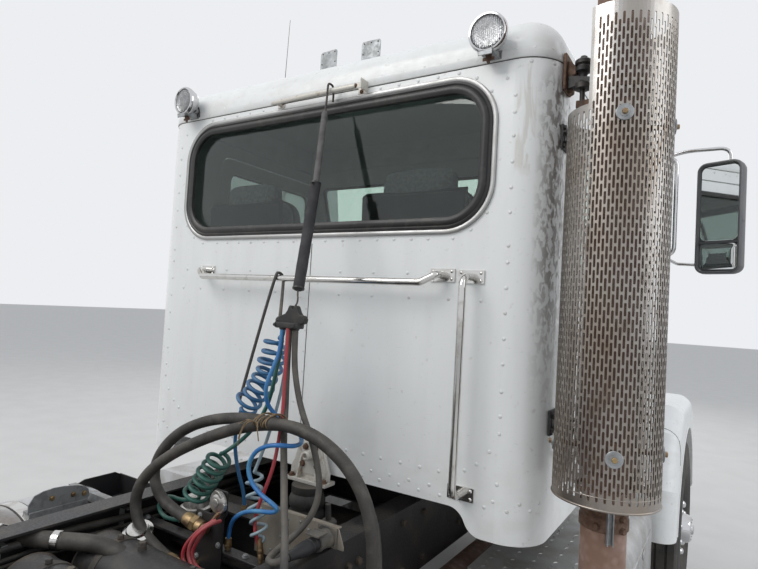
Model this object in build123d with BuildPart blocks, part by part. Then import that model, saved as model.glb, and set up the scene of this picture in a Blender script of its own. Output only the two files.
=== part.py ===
"""Conventional day cab road tractor with a tandem drive axle group.

All sizes are in millimetres. The front is toward -Y, the vehicle's left is
+X, the ground is Z = 0 and the origin lies under the middle of the vehicle.
"""
import os
from math import pi, radians, tan

from build123d import *

os.makedirs("parts", exist_ok=True)

# Lengthwise stations
BUMPER_Y = -3600.0
FRAME_FRONT_Y = -3420.0
FRAME_END_Y = 3600.0
CAB_REAR_Y = -500.0
CAB_FRONT_Y = -1830.0
STEER_AXLE_Y = -2750.0
DRIVE_AXLE_YS = (1540.0, 2860.0)
SIDES = (1, -1)

# Wheels and tyres
TYRE_R = 525.0
TYRE_W = 280.0
BEAD_R = 286.0
RIM_W = 210.0
RIM_T = 18.0
FLANGE_R = BEAD_R + 14.0
FLANGE_T = 8.0
AXLE_Z = TYRE_R
STEER_WHEEL_X = 1085.0
DUAL_X = 920.0
DUAL_SPACING = TYRE_W + 55.0
BEARING_GAP = 0.06

# Frame
RAIL_OUT_W = 864.0
RAIL_H = 270.0
RAIL_TOP_Z = 1020.0
RAIL_FLANGE = 90.0
RAIL_T = 8.0
RAIL_BOTTOM_Z = RAIL_TOP_Z - RAIL_H

# Steering
KINGPIN_X = 890.0
KINGPIN_R = 24.0
SPINDLE_R = 38.0
TIE_ARM_BACK = 200.0
TIE_Z = AXLE_Z - 45.0
TIE_PIN_R = 12.0

# Cab
CAB_HALF_W = 950.0
CAB_WALL = 40.0
CAB_CORNER_R = 130.0
CAB_BOTTOM_Z = 1120.0
SKIRT_Z = 1040.0
SKIRT_IN_X = 720.0
SKIRT_RAMP = 60.0
CAB_SEAM_Z = 2594.0
COWL_Z = 1950.0
ROOF_FRONT_Y = -1610.0
ROOF_TOP_Z = 2755.0
ROOF_EDGE_R = 125.0
ROOF_T = 30.0

# Cab openings
REAR_WINDOW_W = 1500.0
REAR_WINDOW_H = 506.0
REAR_WINDOW_Z = 2293.0
REAR_WINDOW_R = 140.0
GLASS_T = 6.0
DOOR_FRONT_Y = -1730.0
DOOR_REAR_Y = -830.0
DOOR_BOTTOM_Z = 1100.0
DOOR_TOP_Z = 2530.0
DOOR_T = 34.0
DOOR_GAP = 6.0
HINGE_X = CAB_HALF_W + 12.0
HINGE_Y = DOOR_FRONT_Y + DOOR_GAP / 2
HINGE_ZS = (1280.0, 1860.0)
HINGE_R = 11.0
HINGE_PIN_R = 6.0
HINGE_HALF = 42.0
HINGE_MID_HALF = 20.0
LEAF_T = 7.0
LEAF_LEN = 56.0

# Hood
HOOD_REAR_Y = -1845.0
HOOD_FRONT_Y = -3440.0
HOOD_REAR_HALF_W = RAIL_OUT_W / 2 + 208.0
HOOD_FRONT_HALF_W = RAIL_OUT_W / 2 + 8.0
HOOD_REAR_TOP_Z = 1930.0
HOOD_FRONT_TOP_Z = 1730.0
HOOD_BOTTOM_Z = 1060.0
HOOD_T = 8.0
GRILLE_LOW_Z = 790.0
HOOD_PIVOT_Y = -3500.0
HOOD_PIVOT_Z = 800.0
FENDER_OUT_X = 1220.0
FENDER_TOP_Z = 1290.0
FENDER_EDGE_R = 90.0
ARCH_R = TYRE_R + 75.0

# Exhaust
SHIELD_R = 148.0
STACK_GAP = 39.0
STACK_X = -(CAB_HALF_W + STACK_GAP + SHIELD_R)
STACK_Y = CAB_REAR_Y - 40.0
LOWER_PIPE_R = 63.5
STACK_PIPE_R = 76.0
STACK_TOP_Z = 3350.0
SHIELD_T = 3.0
SHIELD_BOTTOM_Z = 1245.0
SHIELD_TOP_Z = 2700.0

# Tanks and steps
TANK_R = 330.0
TANK_X = 830.0
TANK_Z = 600.0
TANK_FRONT_Y = -200.0
TANK_REAR_Y = 850.0

# Fifth wheel
FIFTH_Y = 2150.0
FIFTH_PIVOT_Z = 1130.0
FIFTH_TOP_Z = 1215.0
FIFTH_PIN_R = 25.0


def keep(builder, label):
    """Label a finished sub-part and write it."""
    builder.part.label = label
    export_step(builder.part, f"parts/{label}.step")


def side_name(side):
    """Name of a side of the vehicle."""
    return "left" if side > 0 else "right"


def wheel_plane(x, y, side):
    """Plane through a wheel's axis: local x outboard, local y radial."""
    return Plane(origin=(x * side, y, AXLE_Z), x_dir=(side, 0, 0), z_dir=(0, -side, 0))


def wheel_axis(y):
    """Axis of a wheel or axle, along X."""
    return Axis((0, y, AXLE_Z), (1, 0, 0))


def tyre_outline(centre):
    """Half section of a tyre about its centre plane."""
    half = TYRE_W / 2
    bead = RIM_W / 2 - FLANGE_T
    height = TYRE_R - BEAD_R
    heel_r = BEAD_R + height * 0.17
    belly_r = BEAD_R + height * 0.46
    shoulder_r = BEAD_R + height * 0.71
    edge_r = BEAD_R + height * 0.95
    Polyline(
        (centre - bead, BEAD_R),
        (centre - bead, heel_r),
        (centre - half, belly_r),
        (centre - half, shoulder_r),
        (centre - half + 22, edge_r),
        (centre - half + 45, TYRE_R),
        (centre + half - 45, TYRE_R),
        (centre + half - 22, edge_r),
        (centre + half, shoulder_r),
        (centre + half, belly_r),
        (centre + bead, heel_r),
        (centre + bead, BEAD_R),
        close=True,
    )


def rim_outline(centre):
    """Half section of a rim's barrel with its two flanges."""
    half = RIM_W / 2
    Polyline(
        (centre - half, BEAD_R - RIM_T),
        (centre - half, FLANGE_R),
        (centre - half + FLANGE_T, FLANGE_R),
        (centre - half + FLANGE_T, BEAD_R),
        (centre + half - FLANGE_T, BEAD_R),
        (centre + half - FLANGE_T, FLANGE_R),
        (centre + half, FLANGE_R),
        (centre + half, BEAD_R - RIM_T),
        close=True,
    )


# Frame: two channel rails and the crossmembers between them
CROSSMEMBER_YS = (
    FRAME_FRONT_Y + 40, -1150.0, -300.0, 500.0, 1100.0, 2200.0, 3150.0, FRAME_END_Y - 40
)
CROSS_W = 70.0
CROSS_H = 190.0
HITCH_X = 85.7
HITCH_Z = 44.5
HITCH_HOLE_R = 6.75
rail_mid_z = RAIL_TOP_Z - RAIL_H / 2
rail_in = RAIL_OUT_W / 2 - RAIL_T
with BuildPart() as frame_rails:
    with BuildSketch(Plane.XZ.offset(-FRAME_END_Y)):
        for side in SIDES:
            with Locations((side * (RAIL_OUT_W - RAIL_FLANGE) / 2, rail_mid_z)):
                Rectangle(RAIL_FLANGE, RAIL_H)
            with Locations((side * (RAIL_OUT_W - RAIL_FLANGE - 2 * RAIL_T) / 2, rail_mid_z)):
                Rectangle(RAIL_FLANGE, RAIL_H - 2 * RAIL_T, mode=Mode.SUBTRACT)
    extrude(amount=FRAME_END_Y - FRAME_FRONT_Y)
    with BuildSketch(Plane.YZ.offset(-rail_in)):
        for y in CROSSMEMBER_YS:
            with Locations((y, rail_mid_z)):
                Rectangle(CROSS_W, CROSS_H)
            with Locations((y + RAIL_T, rail_mid_z)):
                Rectangle(CROSS_W, CROSS_H - 2 * RAIL_T, mode=Mode.SUBTRACT)
    extrude(amount=2 * rail_in)
    with BuildSketch(Plane.XZ.offset(-FRAME_END_Y)):
        with Locations((0, rail_mid_z)):
            with GridLocations(HITCH_X, HITCH_Z, 2, 2):
                Circle(HITCH_HOLE_R)
    extrude(amount=100, mode=Mode.SUBTRACT)
keep(frame_rails, "frame_rails")

# Steer axle: dropped beam, kingpin eyes and the two leaf springs
SPRING_X = RAIL_OUT_W / 2 - 37
SPRING_W = 70.0
SPRING_HALF = 620.0
SPRING_T = 58.0
BEAM_W = 90.0
BEAM_TOP_Z = AXLE_Z + 5
SPRING_SAG = RAIL_BOTTOM_Z - 70 - BEAM_TOP_Z
BEAM_H = 90.0
EYE_R = 48.0
EYE_HALF = 60.0
with BuildPart() as front_axle:
    with BuildSketch(Plane.XZ.offset(-STEER_AXLE_Y - BEAM_W / 2)):
        with BuildLine():
            Polyline(
                (-KINGPIN_X, AXLE_Z + 50),
                (-KINGPIN_X + 130, AXLE_Z + 40),
                (-SPRING_X - 110, BEAM_TOP_Z),
                (SPRING_X + 110, BEAM_TOP_Z),
                (KINGPIN_X - 130, AXLE_Z + 40),
                (KINGPIN_X, AXLE_Z + 50),
                (KINGPIN_X, AXLE_Z - 50),
                (KINGPIN_X - 110, AXLE_Z - 55),
                (SPRING_X + 90, BEAM_TOP_Z - BEAM_H),
                (-SPRING_X - 90, BEAM_TOP_Z - BEAM_H),
                (-KINGPIN_X + 110, AXLE_Z - 55),
                (-KINGPIN_X, AXLE_Z - 50),
                close=True,
            )
        make_face()
    extrude(amount=BEAM_W)
    for side in SIDES:
        with BuildSketch(Plane.XY.offset(AXLE_Z - EYE_HALF)):
            with Locations((side * KINGPIN_X, STEER_AXLE_Y)):
                Circle(EYE_R)
        extrude(amount=2 * EYE_HALF)
        with BuildSketch(Plane.XY.offset(AXLE_Z - EYE_HALF)):
            with Locations((side * KINGPIN_X, STEER_AXLE_Y)):
                Circle(KINGPIN_R + BEARING_GAP)
        extrude(amount=2 * EYE_HALF, mode=Mode.SUBTRACT)
        with BuildSketch(Plane.YZ.offset(side * SPRING_X - SPRING_W / 2)):
            with BuildLine():
                low = ThreePointArc(
                    (STEER_AXLE_Y - SPRING_HALF, BEAM_TOP_Z + SPRING_SAG),
                    (STEER_AXLE_Y, BEAM_TOP_Z),
                    (STEER_AXLE_Y + SPRING_HALF, BEAM_TOP_Z + SPRING_SAG),
                )
                high = ThreePointArc(
                    (STEER_AXLE_Y - SPRING_HALF, BEAM_TOP_Z + SPRING_SAG + 24),
                    (STEER_AXLE_Y, BEAM_TOP_Z + SPRING_T),
                    (STEER_AXLE_Y + SPRING_HALF, BEAM_TOP_Z + SPRING_SAG + 24),
                )
                Line(low @ 0, high @ 0)
                Line(low @ 1, high @ 1)
            make_face()
            for end in (-1, 1):
                with Locations((STEER_AXLE_Y + end * SPRING_HALF, RAIL_BOTTOM_Z - 45)):
                    Rectangle(70, 90)
        extrude(amount=SPRING_W)
keep(front_axle, "front_axle")

# Steering knuckles: yoke around the beam's eye, spindle and steering arm
YOKE_T = 30.0
YOKE_GAP = 5.0
YOKE_W = 92.0
WEB_IN = 55.0
WEB_OUT = 85.0
yoke_low = AXLE_Z - EYE_HALF - YOKE_GAP - YOKE_T
yoke_high = AXLE_Z + EYE_HALF + YOKE_GAP + YOKE_T
spindle_end = STEER_WHEEL_X + 68.0
tie_x = KINGPIN_X
tie_y = STEER_AXLE_Y + TIE_ARM_BACK
ARM_T = 24.0
ROD_EYE_R = 27.0
ROD_EYE_HALF = 20.0
for side in SIDES:
    with BuildPart() as knuckle:
        with BuildSketch(Plane.XY.offset(yoke_low)):
            with Locations((side * KINGPIN_X, STEER_AXLE_Y)):
                Circle(YOKE_W / 2)
            with Locations((side * (KINGPIN_X + WEB_OUT / 2), STEER_AXLE_Y)):
                Rectangle(WEB_OUT, YOKE_W)
        extrude(amount=YOKE_T)
        with BuildSketch(Plane.XY.offset(yoke_high - YOKE_T)):
            with Locations((side * KINGPIN_X, STEER_AXLE_Y)):
                Circle(YOKE_W / 2)
            with Locations((side * (KINGPIN_X + WEB_OUT / 2), STEER_AXLE_Y)):
                Rectangle(WEB_OUT, YOKE_W)
        extrude(amount=YOKE_T)
        with BuildSketch(Plane.XY.offset(yoke_low)):
            with Locations((side * (KINGPIN_X + (WEB_IN + WEB_OUT) / 2), STEER_AXLE_Y)):
                Rectangle(WEB_OUT - WEB_IN, YOKE_W)
        extrude(amount=yoke_high - yoke_low)
        with BuildSketch(Plane.XY.offset(yoke_low)):
            with Locations((side * KINGPIN_X, STEER_AXLE_Y)):
                Circle(KINGPIN_R)
        extrude(amount=yoke_high - yoke_low)
        spindle_plane = Plane(
            origin=(side * (KINGPIN_X + WEB_IN), STEER_AXLE_Y, AXLE_Z), z_dir=(side, 0, 0)
        )
        with BuildSketch(spindle_plane):
            Circle(SPINDLE_R)
        extrude(amount=spindle_end - KINGPIN_X - WEB_IN)
        with BuildSketch(Plane.XY.offset(yoke_low)):
            with BuildLine():
                Polyline(
                    (side * (KINGPIN_X + 26), STEER_AXLE_Y + 20),
                    (side * (tie_x + 26), tie_y),
                    (side * (tie_x - 26), tie_y),
                    (side * (KINGPIN_X - 30), STEER_AXLE_Y + 20),
                    close=True,
                )
            make_face()
            with Locations((side * tie_x, tie_y)):
                Circle(26)
        extrude(amount=ARM_T)
        with BuildSketch(Plane.XY.offset(yoke_low)):
            with Locations((side * tie_x, tie_y)):
                Circle(TIE_PIN_R)
        extrude(amount=TIE_Z + ROD_EYE_HALF + 8 - yoke_low)
    keep(knuckle, f"knuckle_{side_name(side)}")

# Tie rod between the two steering arms
with BuildPart() as tie_rod:
    with BuildSketch(Plane.YZ.offset(-tie_x)):
        with Locations((tie_y, TIE_Z)):
            Circle(20)
    extrude(amount=2 * tie_x)
    with BuildSketch(Plane.XY.offset(TIE_Z - ROD_EYE_HALF)):
        with Locations((tie_x, tie_y), (-tie_x, tie_y)):
            Circle(ROD_EYE_R)
    extrude(amount=2 * ROD_EYE_HALF)
    with BuildSketch(Plane.XY.offset(TIE_Z - ROD_EYE_HALF - 1)):
        with Locations((tie_x, tie_y), (-tie_x, tie_y)):
            Circle(TIE_PIN_R + BEARING_GAP)
    extrude(amount=2 * ROD_EYE_HALF + 2, mode=Mode.SUBTRACT)
keep(tie_rod, "tie_rod")

# Steer wheels: tyre, and rim with disc, hub and drum
HAND_HOLE_R = 26.0
HAND_HOLE_PCR = 205.0
for side in SIDES:
    plane = wheel_plane(STEER_WHEEL_X, STEER_AXLE_Y, side)
    axis = wheel_axis(STEER_AXLE_Y)
    with BuildPart() as tyre:
        with BuildSketch(plane):
            with BuildLine():
                tyre_outline(0)
            make_face()
        revolve(axis=axis)
    keep(tyre, f"tyre_front_{side_name(side)}")
    with BuildPart() as rim:
        with BuildSketch(plane):
            with BuildLine():
                rim_outline(0)
            make_face()
            with BuildLine():
                Polyline(
                    (30, BEAD_R - RIM_T + 2),
                    (44, BEAD_R - RIM_T + 2),
                    (80, 120),
                    (80, 82),
                    (112, 76),
                    (126, 60),
                    (126, 0),
                    (74, 0),
                    (74, SPINDLE_R + BEARING_GAP),
                    (-96, SPINDLE_R + BEARING_GAP),
                    (-96, 90),
                    (-10, 100),
                    (-10, 205),
                    (-90, 205),
                    (-90, 220),
                    (0, 220),
                    (10, 110),
                    (64, 110),
                    close=True,
                )
            make_face()
        revolve(axis=axis)
        hole_plane = Plane(origin=(side * STEER_WHEEL_X, STEER_AXLE_Y, AXLE_Z), z_dir=(side, 0, 0))
        with BuildSketch(hole_plane.offset(30)):
            with PolarLocations(HAND_HOLE_PCR, 10):
                Circle(HAND_HOLE_R)
        extrude(amount=60, mode=Mode.SUBTRACT)
    keep(rim, f"rim_front_{side_name(side)}")

# Drive wheels: twin tyres, and twin rims on one hub
DRIVE_SPINDLE_R = 45.0
AXLE_NAMES = ("mid", "rear")
for axle_name, axle_y in zip(AXLE_NAMES, DRIVE_AXLE_YS):
    for side in SIDES:
        plane = wheel_plane(DUAL_X, axle_y, side)
        axis = wheel_axis(axle_y)
        with BuildPart() as tyres:
            with BuildSketch(plane):
                for centre in (-DUAL_SPACING / 2, DUAL_SPACING / 2):
                    with BuildLine():
                        tyre_outline(centre)
                    make_face()
            revolve(axis=axis)
        keep(tyres, f"tyres_{axle_name}_{side_name(side)}")
        with BuildPart() as rims:
            with BuildSketch(plane):
                for centre in (-DUAL_SPACING / 2, DUAL_SPACING / 2):
                    with BuildLine():
                        rim_outline(centre)
                    make_face()
                for flip in (1, -1):
                    with BuildLine():
                        Polyline(
                            (flip * 118, BEAD_R - RIM_T + 2),
                            (flip * 104, BEAD_R - RIM_T + 2),
                            (flip * 20, 170),
                            (0, 150),
                            (0, 100),
                            (flip * 14, 100),
                            (flip * 14, 142),
                            (flip * 34, 160),
                            close=True,
                        )
                    make_face()
                with BuildLine():
                    Polyline(
                        (-230, DRIVE_SPINDLE_R + BEARING_GAP),
                        (-230, 105),
                        (-40, 110),
                        (-40, 205),
                        (-235, 205),
                        (-235, 222),
                        (-25, 222),
                        (-25, 125),
                        (30, 110),
                        (95, 92),
                        (95, 82),
                        (112, 78),
                        (112, 0),
                        (54, 0),
                        (54, DRIVE_SPINDLE_R + BEARING_GAP),
                        close=True,
                    )
                make_face()
            revolve(axis=axis)
        keep(rims, f"rims_{axle_name}_{side_name(side)}")

# Drive axle housings with their spindles and pinion noses
NOSE_R = 75.0
NOSE_LEN = 330.0
with BuildPart() as drive_axles:
    for axle_y in DRIVE_AXLE_YS:
        with BuildSketch(Plane.XZ.offset(-axle_y)):
            with BuildLine():
                Polyline(
                    (-970, AXLE_Z),
                    (-970, AXLE_Z + DRIVE_SPINDLE_R),
                    (-640, AXLE_Z + DRIVE_SPINDLE_R),
                    (-640, AXLE_Z + 70),
                    (-260, AXLE_Z + 70),
                    (-120, AXLE_Z + 210),
                    (120, AXLE_Z + 210),
                    (260, AXLE_Z + 70),
                    (640, AXLE_Z + 70),
                    (640, AXLE_Z + DRIVE_SPINDLE_R),
                    (970, AXLE_Z + DRIVE_SPINDLE_R),
                    (970, AXLE_Z),
                    close=True,
                )
            make_face()
        revolve(axis=wheel_axis(axle_y))
        with BuildSketch(Plane.XZ.offset(-axle_y)):
            with Locations((0, AXLE_Z)):
                Circle(NOSE_R)
        extrude(amount=NOSE_LEN)
keep(drive_axles, "drive_axles")

# Propeller shafts, from the gearbox to the first axle and between the axles
SHAFT_R = 48.0
GEARBOX_REAR_Y = -1250.0
GEARBOX_SHAFT_Z = 720.0
shaft_runs = (
    ((0, GEARBOX_REAR_Y + 8, GEARBOX_SHAFT_Z), (0, DRIVE_AXLE_YS[0] - NOSE_LEN, AXLE_Z)),
    ((0, DRIVE_AXLE_YS[0] + 214, AXLE_Z), (0, DRIVE_AXLE_YS[1] - NOSE_LEN, AXLE_Z)),
)
with BuildPart() as drive_shafts:
    for start, end in shaft_runs:
        run = Vector(*end) - Vector(*start)
        with BuildSketch(Plane(origin=start, x_dir=(1, 0, 0), z_dir=run)):
            Circle(SHAFT_R)
        extrude(amount=run.length - 12)
keep(drive_shafts, "drive_shafts")

# Rear suspension: trailing arms on the axles and air springs under the rails
ARM_X = RAIL_OUT_W / 2 - 37
ARM_W = 70.0
BAG_R = 125.0
with BuildPart() as rear_suspension:
    for axle_y in DRIVE_AXLE_YS:
        for side in SIDES:
            with BuildSketch(Plane.YZ.offset(side * ARM_X - ARM_W / 2)):
                with BuildLine():
                    Polyline(
                        (axle_y - 470, RAIL_BOTTOM_Z),
                        (axle_y - 370, RAIL_BOTTOM_Z),
                        (axle_y - 330, AXLE_Z + 125),
                        (axle_y + 380, AXLE_Z + 125),
                        (axle_y + 380, AXLE_Z + 85),
                        (axle_y + 120, AXLE_Z + 72),
                        (axle_y - 120, AXLE_Z + 72),
                        (axle_y - 440, AXLE_Z + 85),
                        close=True,
                    )
                make_face()
            extrude(amount=ARM_W)
            with BuildSketch(Plane.XY.offset(AXLE_Z + 125)):
                with Locations((side * ARM_X, axle_y + 280)):
                    Circle(BAG_R)
            extrude(amount=RAIL_BOTTOM_Z - AXLE_Z - 125)
keep(rear_suspension, "rear_suspension")

# Engine and gearbox, closed inside, as one plain block
ENGINE_HALF_W = 325.0
ENGINE_FRONT_Y = -3120.0
ENGINE_REAR_Y = -2000.0
ENGINE_LOW_Z = 720.0
ENGINE_TOP_Z = 1600.0
with BuildPart() as engine_block:
    with BuildSketch(Plane.YZ.offset(-ENGINE_HALF_W)):
        with Locations(((ENGINE_FRONT_Y + ENGINE_REAR_Y) / 2, (ENGINE_LOW_Z + ENGINE_TOP_Z) / 2)):
            Rectangle(ENGINE_REAR_Y - ENGINE_FRONT_Y, ENGINE_TOP_Z - ENGINE_LOW_Z)
    extrude(amount=2 * ENGINE_HALF_W)
    with BuildSketch(Plane.XZ.offset(-GEARBOX_REAR_Y)):
        with Locations((0, 840)):
            Rectangle(440, 420)
    extrude(amount=GEARBOX_REAR_Y - ENGINE_REAR_Y)
keep(engine_block, "engine_block")

# Radiator behind the grille
RADIATOR_HALF_W = 325.0
with BuildPart() as radiator:
    with BuildSketch(Plane.XZ.offset(3210)):
        with Locations((0, 1230)):
            Rectangle(2 * RADIATOR_HALF_W, 880)
    extrude(amount=90)
    fillet(radiator.edges().filter_by(Axis.Y), 30)
keep(radiator, "radiator")

# Front bumper: bent channel on two brackets, with the hood's pivot ears
BUMPER_HALF_W = 1200.0
BUMPER_LOW_Z = 370.0
BUMPER_HIGH_Z = 745.0
BUMPER_T = 8.0
PIVOT_R = 12.0
PIVOT_EAR_X = RAIL_OUT_W / 2 + 68
PIVOT_EAR_T = 12.0
PIVOT_PIN_LEN = 36.0
BRACKET_T = 12.0
with BuildPart() as front_bumper:
    with BuildSketch(Plane.XY.offset(BUMPER_LOW_Z)):
        with BuildLine():
            Polyline(
                (-BUMPER_HALF_W, BUMPER_Y + 130),
                (-BUMPER_HALF_W + 10, BUMPER_Y + 90),
                (-BUMPER_HALF_W + 110, BUMPER_Y),
                (BUMPER_HALF_W - 110, BUMPER_Y),
                (BUMPER_HALF_W - 10, BUMPER_Y + 90),
                (BUMPER_HALF_W, BUMPER_Y + 130),
                (BUMPER_HALF_W - BUMPER_T, BUMPER_Y + 130),
                (BUMPER_HALF_W - 10 - BUMPER_T, BUMPER_Y + 90 + BUMPER_T / 2),
                (BUMPER_HALF_W - 110 - BUMPER_T / 2, BUMPER_Y + BUMPER_T),
                (-BUMPER_HALF_W + 110 + BUMPER_T / 2, BUMPER_Y + BUMPER_T),
                (-BUMPER_HALF_W + 10 + BUMPER_T, BUMPER_Y + 90 + BUMPER_T / 2),
                (-BUMPER_HALF_W + BUMPER_T, BUMPER_Y + 130),
                close=True,
            )
        make_face()
    extrude(amount=BUMPER_HIGH_Z - BUMPER_LOW_Z)
    for side in SIDES:
        with BuildSketch(Plane.YZ.offset(side * RAIL_OUT_W / 2)):
            with BuildLine():
                Polyline(
                    (BUMPER_Y + BUMPER_T, 600),
                    (BUMPER_Y + BUMPER_T, 720),
                    (FRAME_FRONT_Y - 5, GRILLE_LOW_Z - 20),
                    (FRAME_FRONT_Y - 5, 960),
                    (FRAME_FRONT_Y + 160, 960),
                    (FRAME_FRONT_Y + 160, RAIL_BOTTOM_Z + 20),
                    (FRAME_FRONT_Y, 660),
                    close=True,
                )
            make_face()
        extrude(amount=side * BRACKET_T)
        ear_plane = Plane(origin=(side * PIVOT_EAR_X, 0, 0), x_dir=(0, 1, 0), z_dir=(1, 0, 0))
        with BuildSketch(ear_plane):
            with BuildLine():
                Polyline(
                    (BUMPER_Y + BUMPER_T, 640),
                    (BUMPER_Y + BUMPER_T, BUMPER_HIGH_Z - 15),
                    (HOOD_PIVOT_Y - 22, HOOD_PIVOT_Z + 12),
                    (HOOD_PIVOT_Y + 22, HOOD_PIVOT_Z + 12),
                    (HOOD_PIVOT_Y + 24, HOOD_PIVOT_Z - 10),
                    close=True,
                )
            make_face()
            with Locations((HOOD_PIVOT_Y, HOOD_PIVOT_Z)):
                Circle(25)
        extrude(amount=PIVOT_EAR_T * side)
        with BuildSketch(ear_plane):
            with Locations((HOOD_PIVOT_Y, HOOD_PIVOT_Z)):
                Circle(PIVOT_R)
        extrude(amount=PIVOT_PIN_LEN * side)
keep(front_bumper, "front_bumper")

# Cab shell: hollow, with the skirt, door, windscreen and rear window openings
slope_dy = ROOF_FRONT_Y - CAB_FRONT_Y
slope_dz = CAB_SEAM_Z - COWL_Z
screen_plane = Plane(
    origin=(0, (ROOF_FRONT_Y + CAB_FRONT_Y) / 2, (CAB_SEAM_Z + COWL_Z) / 2),
    x_dir=(1, 0, 0),
    z_dir=(0, -slope_dz, slope_dy),
)
SCREEN_W = 820.0
SCREEN_H = 520.0
SCREEN_X = 435.0
inner_half_w = CAB_HALF_W - CAB_WALL
with BuildPart() as cab_shell:
    with BuildSketch(Plane.YZ.offset(-CAB_HALF_W)):
        with BuildLine():
            Polyline(
                (CAB_REAR_Y, SKIRT_Z),
                (CAB_REAR_Y, CAB_SEAM_Z),
                (ROOF_FRONT_Y, CAB_SEAM_Z),
                (CAB_FRONT_Y, COWL_Z),
                (CAB_FRONT_Y, SKIRT_Z),
                close=True,
            )
        make_face()
    extrude(amount=2 * CAB_HALF_W)
    corner_edges = cab_shell.edges().filter_by(Axis.Z).sort_by(Axis.Y)
    fillet(corner_edges[-2:], CAB_CORNER_R)
    with BuildSketch(Plane.YZ.offset(-inner_half_w)):
        with BuildLine():
            Polyline(
                (CAB_REAR_Y - CAB_WALL, CAB_BOTTOM_Z + CAB_WALL),
                (CAB_REAR_Y - CAB_WALL, CAB_SEAM_Z + 50),
                (ROOF_FRONT_Y + CAB_WALL, CAB_SEAM_Z + 50),
                (ROOF_FRONT_Y + CAB_WALL, CAB_SEAM_Z),
                (CAB_FRONT_Y + CAB_WALL, COWL_Z),
                (CAB_FRONT_Y + CAB_WALL, CAB_BOTTOM_Z + CAB_WALL),
                close=True,
            )
        make_face()
    extrude(amount=2 * inner_half_w, mode=Mode.SUBTRACT)
    with BuildSketch(Plane.XZ.offset(-CAB_REAR_Y)):
        with BuildLine():
            for side in SIDES:
                ramp_mid = (side * SKIRT_IN_X, (SKIRT_Z + CAB_BOTTOM_Z) / 2)
                TangentArc((side * (SKIRT_IN_X - SKIRT_RAMP), CAB_BOTTOM_Z), ramp_mid, tangent=(side, 0))
                TangentArc((side * (SKIRT_IN_X + SKIRT_RAMP), SKIRT_Z), ramp_mid, tangent=(-side, 0))
            Line((SKIRT_RAMP - SKIRT_IN_X, CAB_BOTTOM_Z), (SKIRT_IN_X - SKIRT_RAMP, CAB_BOTTOM_Z))
            Line((-SKIRT_IN_X - SKIRT_RAMP, SKIRT_Z), (SKIRT_IN_X + SKIRT_RAMP, SKIRT_Z))
        make_face()
    extrude(amount=CAB_REAR_Y - CAB_FRONT_Y, mode=Mode.SUBTRACT)
    with BuildSketch(Plane.XZ.offset(-CAB_REAR_Y)):
        with Locations((0, REAR_WINDOW_Z)):
            RectangleRounded(REAR_WINDOW_W, REAR_WINDOW_H, REAR_WINDOW_R)
    extrude(amount=CAB_WALL, mode=Mode.SUBTRACT)
    with BuildSketch(screen_plane):
        with Locations((SCREEN_X, 0), (-SCREEN_X, 0)):
            RectangleRounded(SCREEN_W, SCREEN_H, 50)
    extrude(amount=60, both=True, mode=Mode.SUBTRACT)
    for side in SIDES:
        with BuildSketch(Plane.YZ.offset(side * inner_half_w)):
            with Locations(((DOOR_FRONT_Y + DOOR_REAR_Y) / 2, (DOOR_BOTTOM_Z + DOOR_TOP_Z) / 2)):
                RectangleRounded(DOOR_REAR_Y - DOOR_FRONT_Y, DOOR_TOP_Z - DOOR_BOTTOM_Z, 60)
        extrude(amount=side * (CAB_WALL + 5), mode=Mode.SUBTRACT)
        for hinge_z in HINGE_ZS:
            with BuildSketch(Plane.XY.offset(hinge_z - HINGE_HALF)):
                with Locations((side * HINGE_X, HINGE_Y)):
                    Circle(HINGE_PIN_R)
            extrude(amount=2 * HINGE_HALF)
            for leaf_z in (hinge_z - HINGE_HALF, hinge_z + HINGE_MID_HALF + 2):
                with BuildSketch(Plane.XY.offset(leaf_z)):
                    with Locations((side * HINGE_X, HINGE_Y)):
                        Circle(HINGE_R)
                    with Locations((side * (CAB_HALF_W + LEAF_T / 2), HINGE_Y - 5 - LEAF_LEN / 2)):
                        Rectangle(LEAF_T, LEAF_LEN)
                extrude(amount=HINGE_HALF - HINGE_MID_HALF - 2)
keep(cab_shell, "cab_shell")

# Cab roof: crowned cap on the shell
with BuildPart() as cab_roof:
    with BuildSketch(Plane.XY.offset(CAB_SEAM_Z)):
        with Locations((0, (CAB_REAR_Y + ROOF_FRONT_Y) / 2)):
            Rectangle(2 * CAB_HALF_W, CAB_REAR_Y - ROOF_FRONT_Y)
    extrude(amount=ROOF_TOP_Z - CAB_SEAM_Z)
    roof_corners = cab_roof.edges().filter_by(Axis.Z).sort_by(Axis.Y)
    fillet(roof_corners[-2:], CAB_CORNER_R)
    fillet(cab_roof.faces().sort_by(Axis.Z)[-1].edges(), ROOF_EDGE_R)
    with BuildSketch(Plane.XY.offset(CAB_SEAM_Z)):
        with Locations((0, (CAB_REAR_Y + ROOF_FRONT_Y) / 2)):
            Rectangle(2 * inner_half_w - 60, CAB_REAR_Y - ROOF_FRONT_Y - 2 * CAB_WALL - 60)
    extrude(amount=ROOF_TOP_Z - CAB_SEAM_Z - ROOF_T, mode=Mode.SUBTRACT)
keep(cab_roof, "cab_roof")

# Cab glass: rear window and the two windscreen panes
with BuildPart() as cab_glass:
    with BuildSketch(Plane.XZ.offset(-CAB_REAR_Y + CAB_WALL / 2)):
        with Locations((0, REAR_WINDOW_Z)):
            RectangleRounded(REAR_WINDOW_W, REAR_WINDOW_H, REAR_WINDOW_R)
    extrude(amount=GLASS_T)
    with BuildSketch(screen_plane.offset(-CAB_WALL / 2)):
        with Locations((SCREEN_X, 0), (-SCREEN_X, 0)):
            RectangleRounded(SCREEN_W, SCREEN_H, 50)
    extrude(amount=GLASS_T)
keep(cab_glass, "cab_glass")

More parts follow.
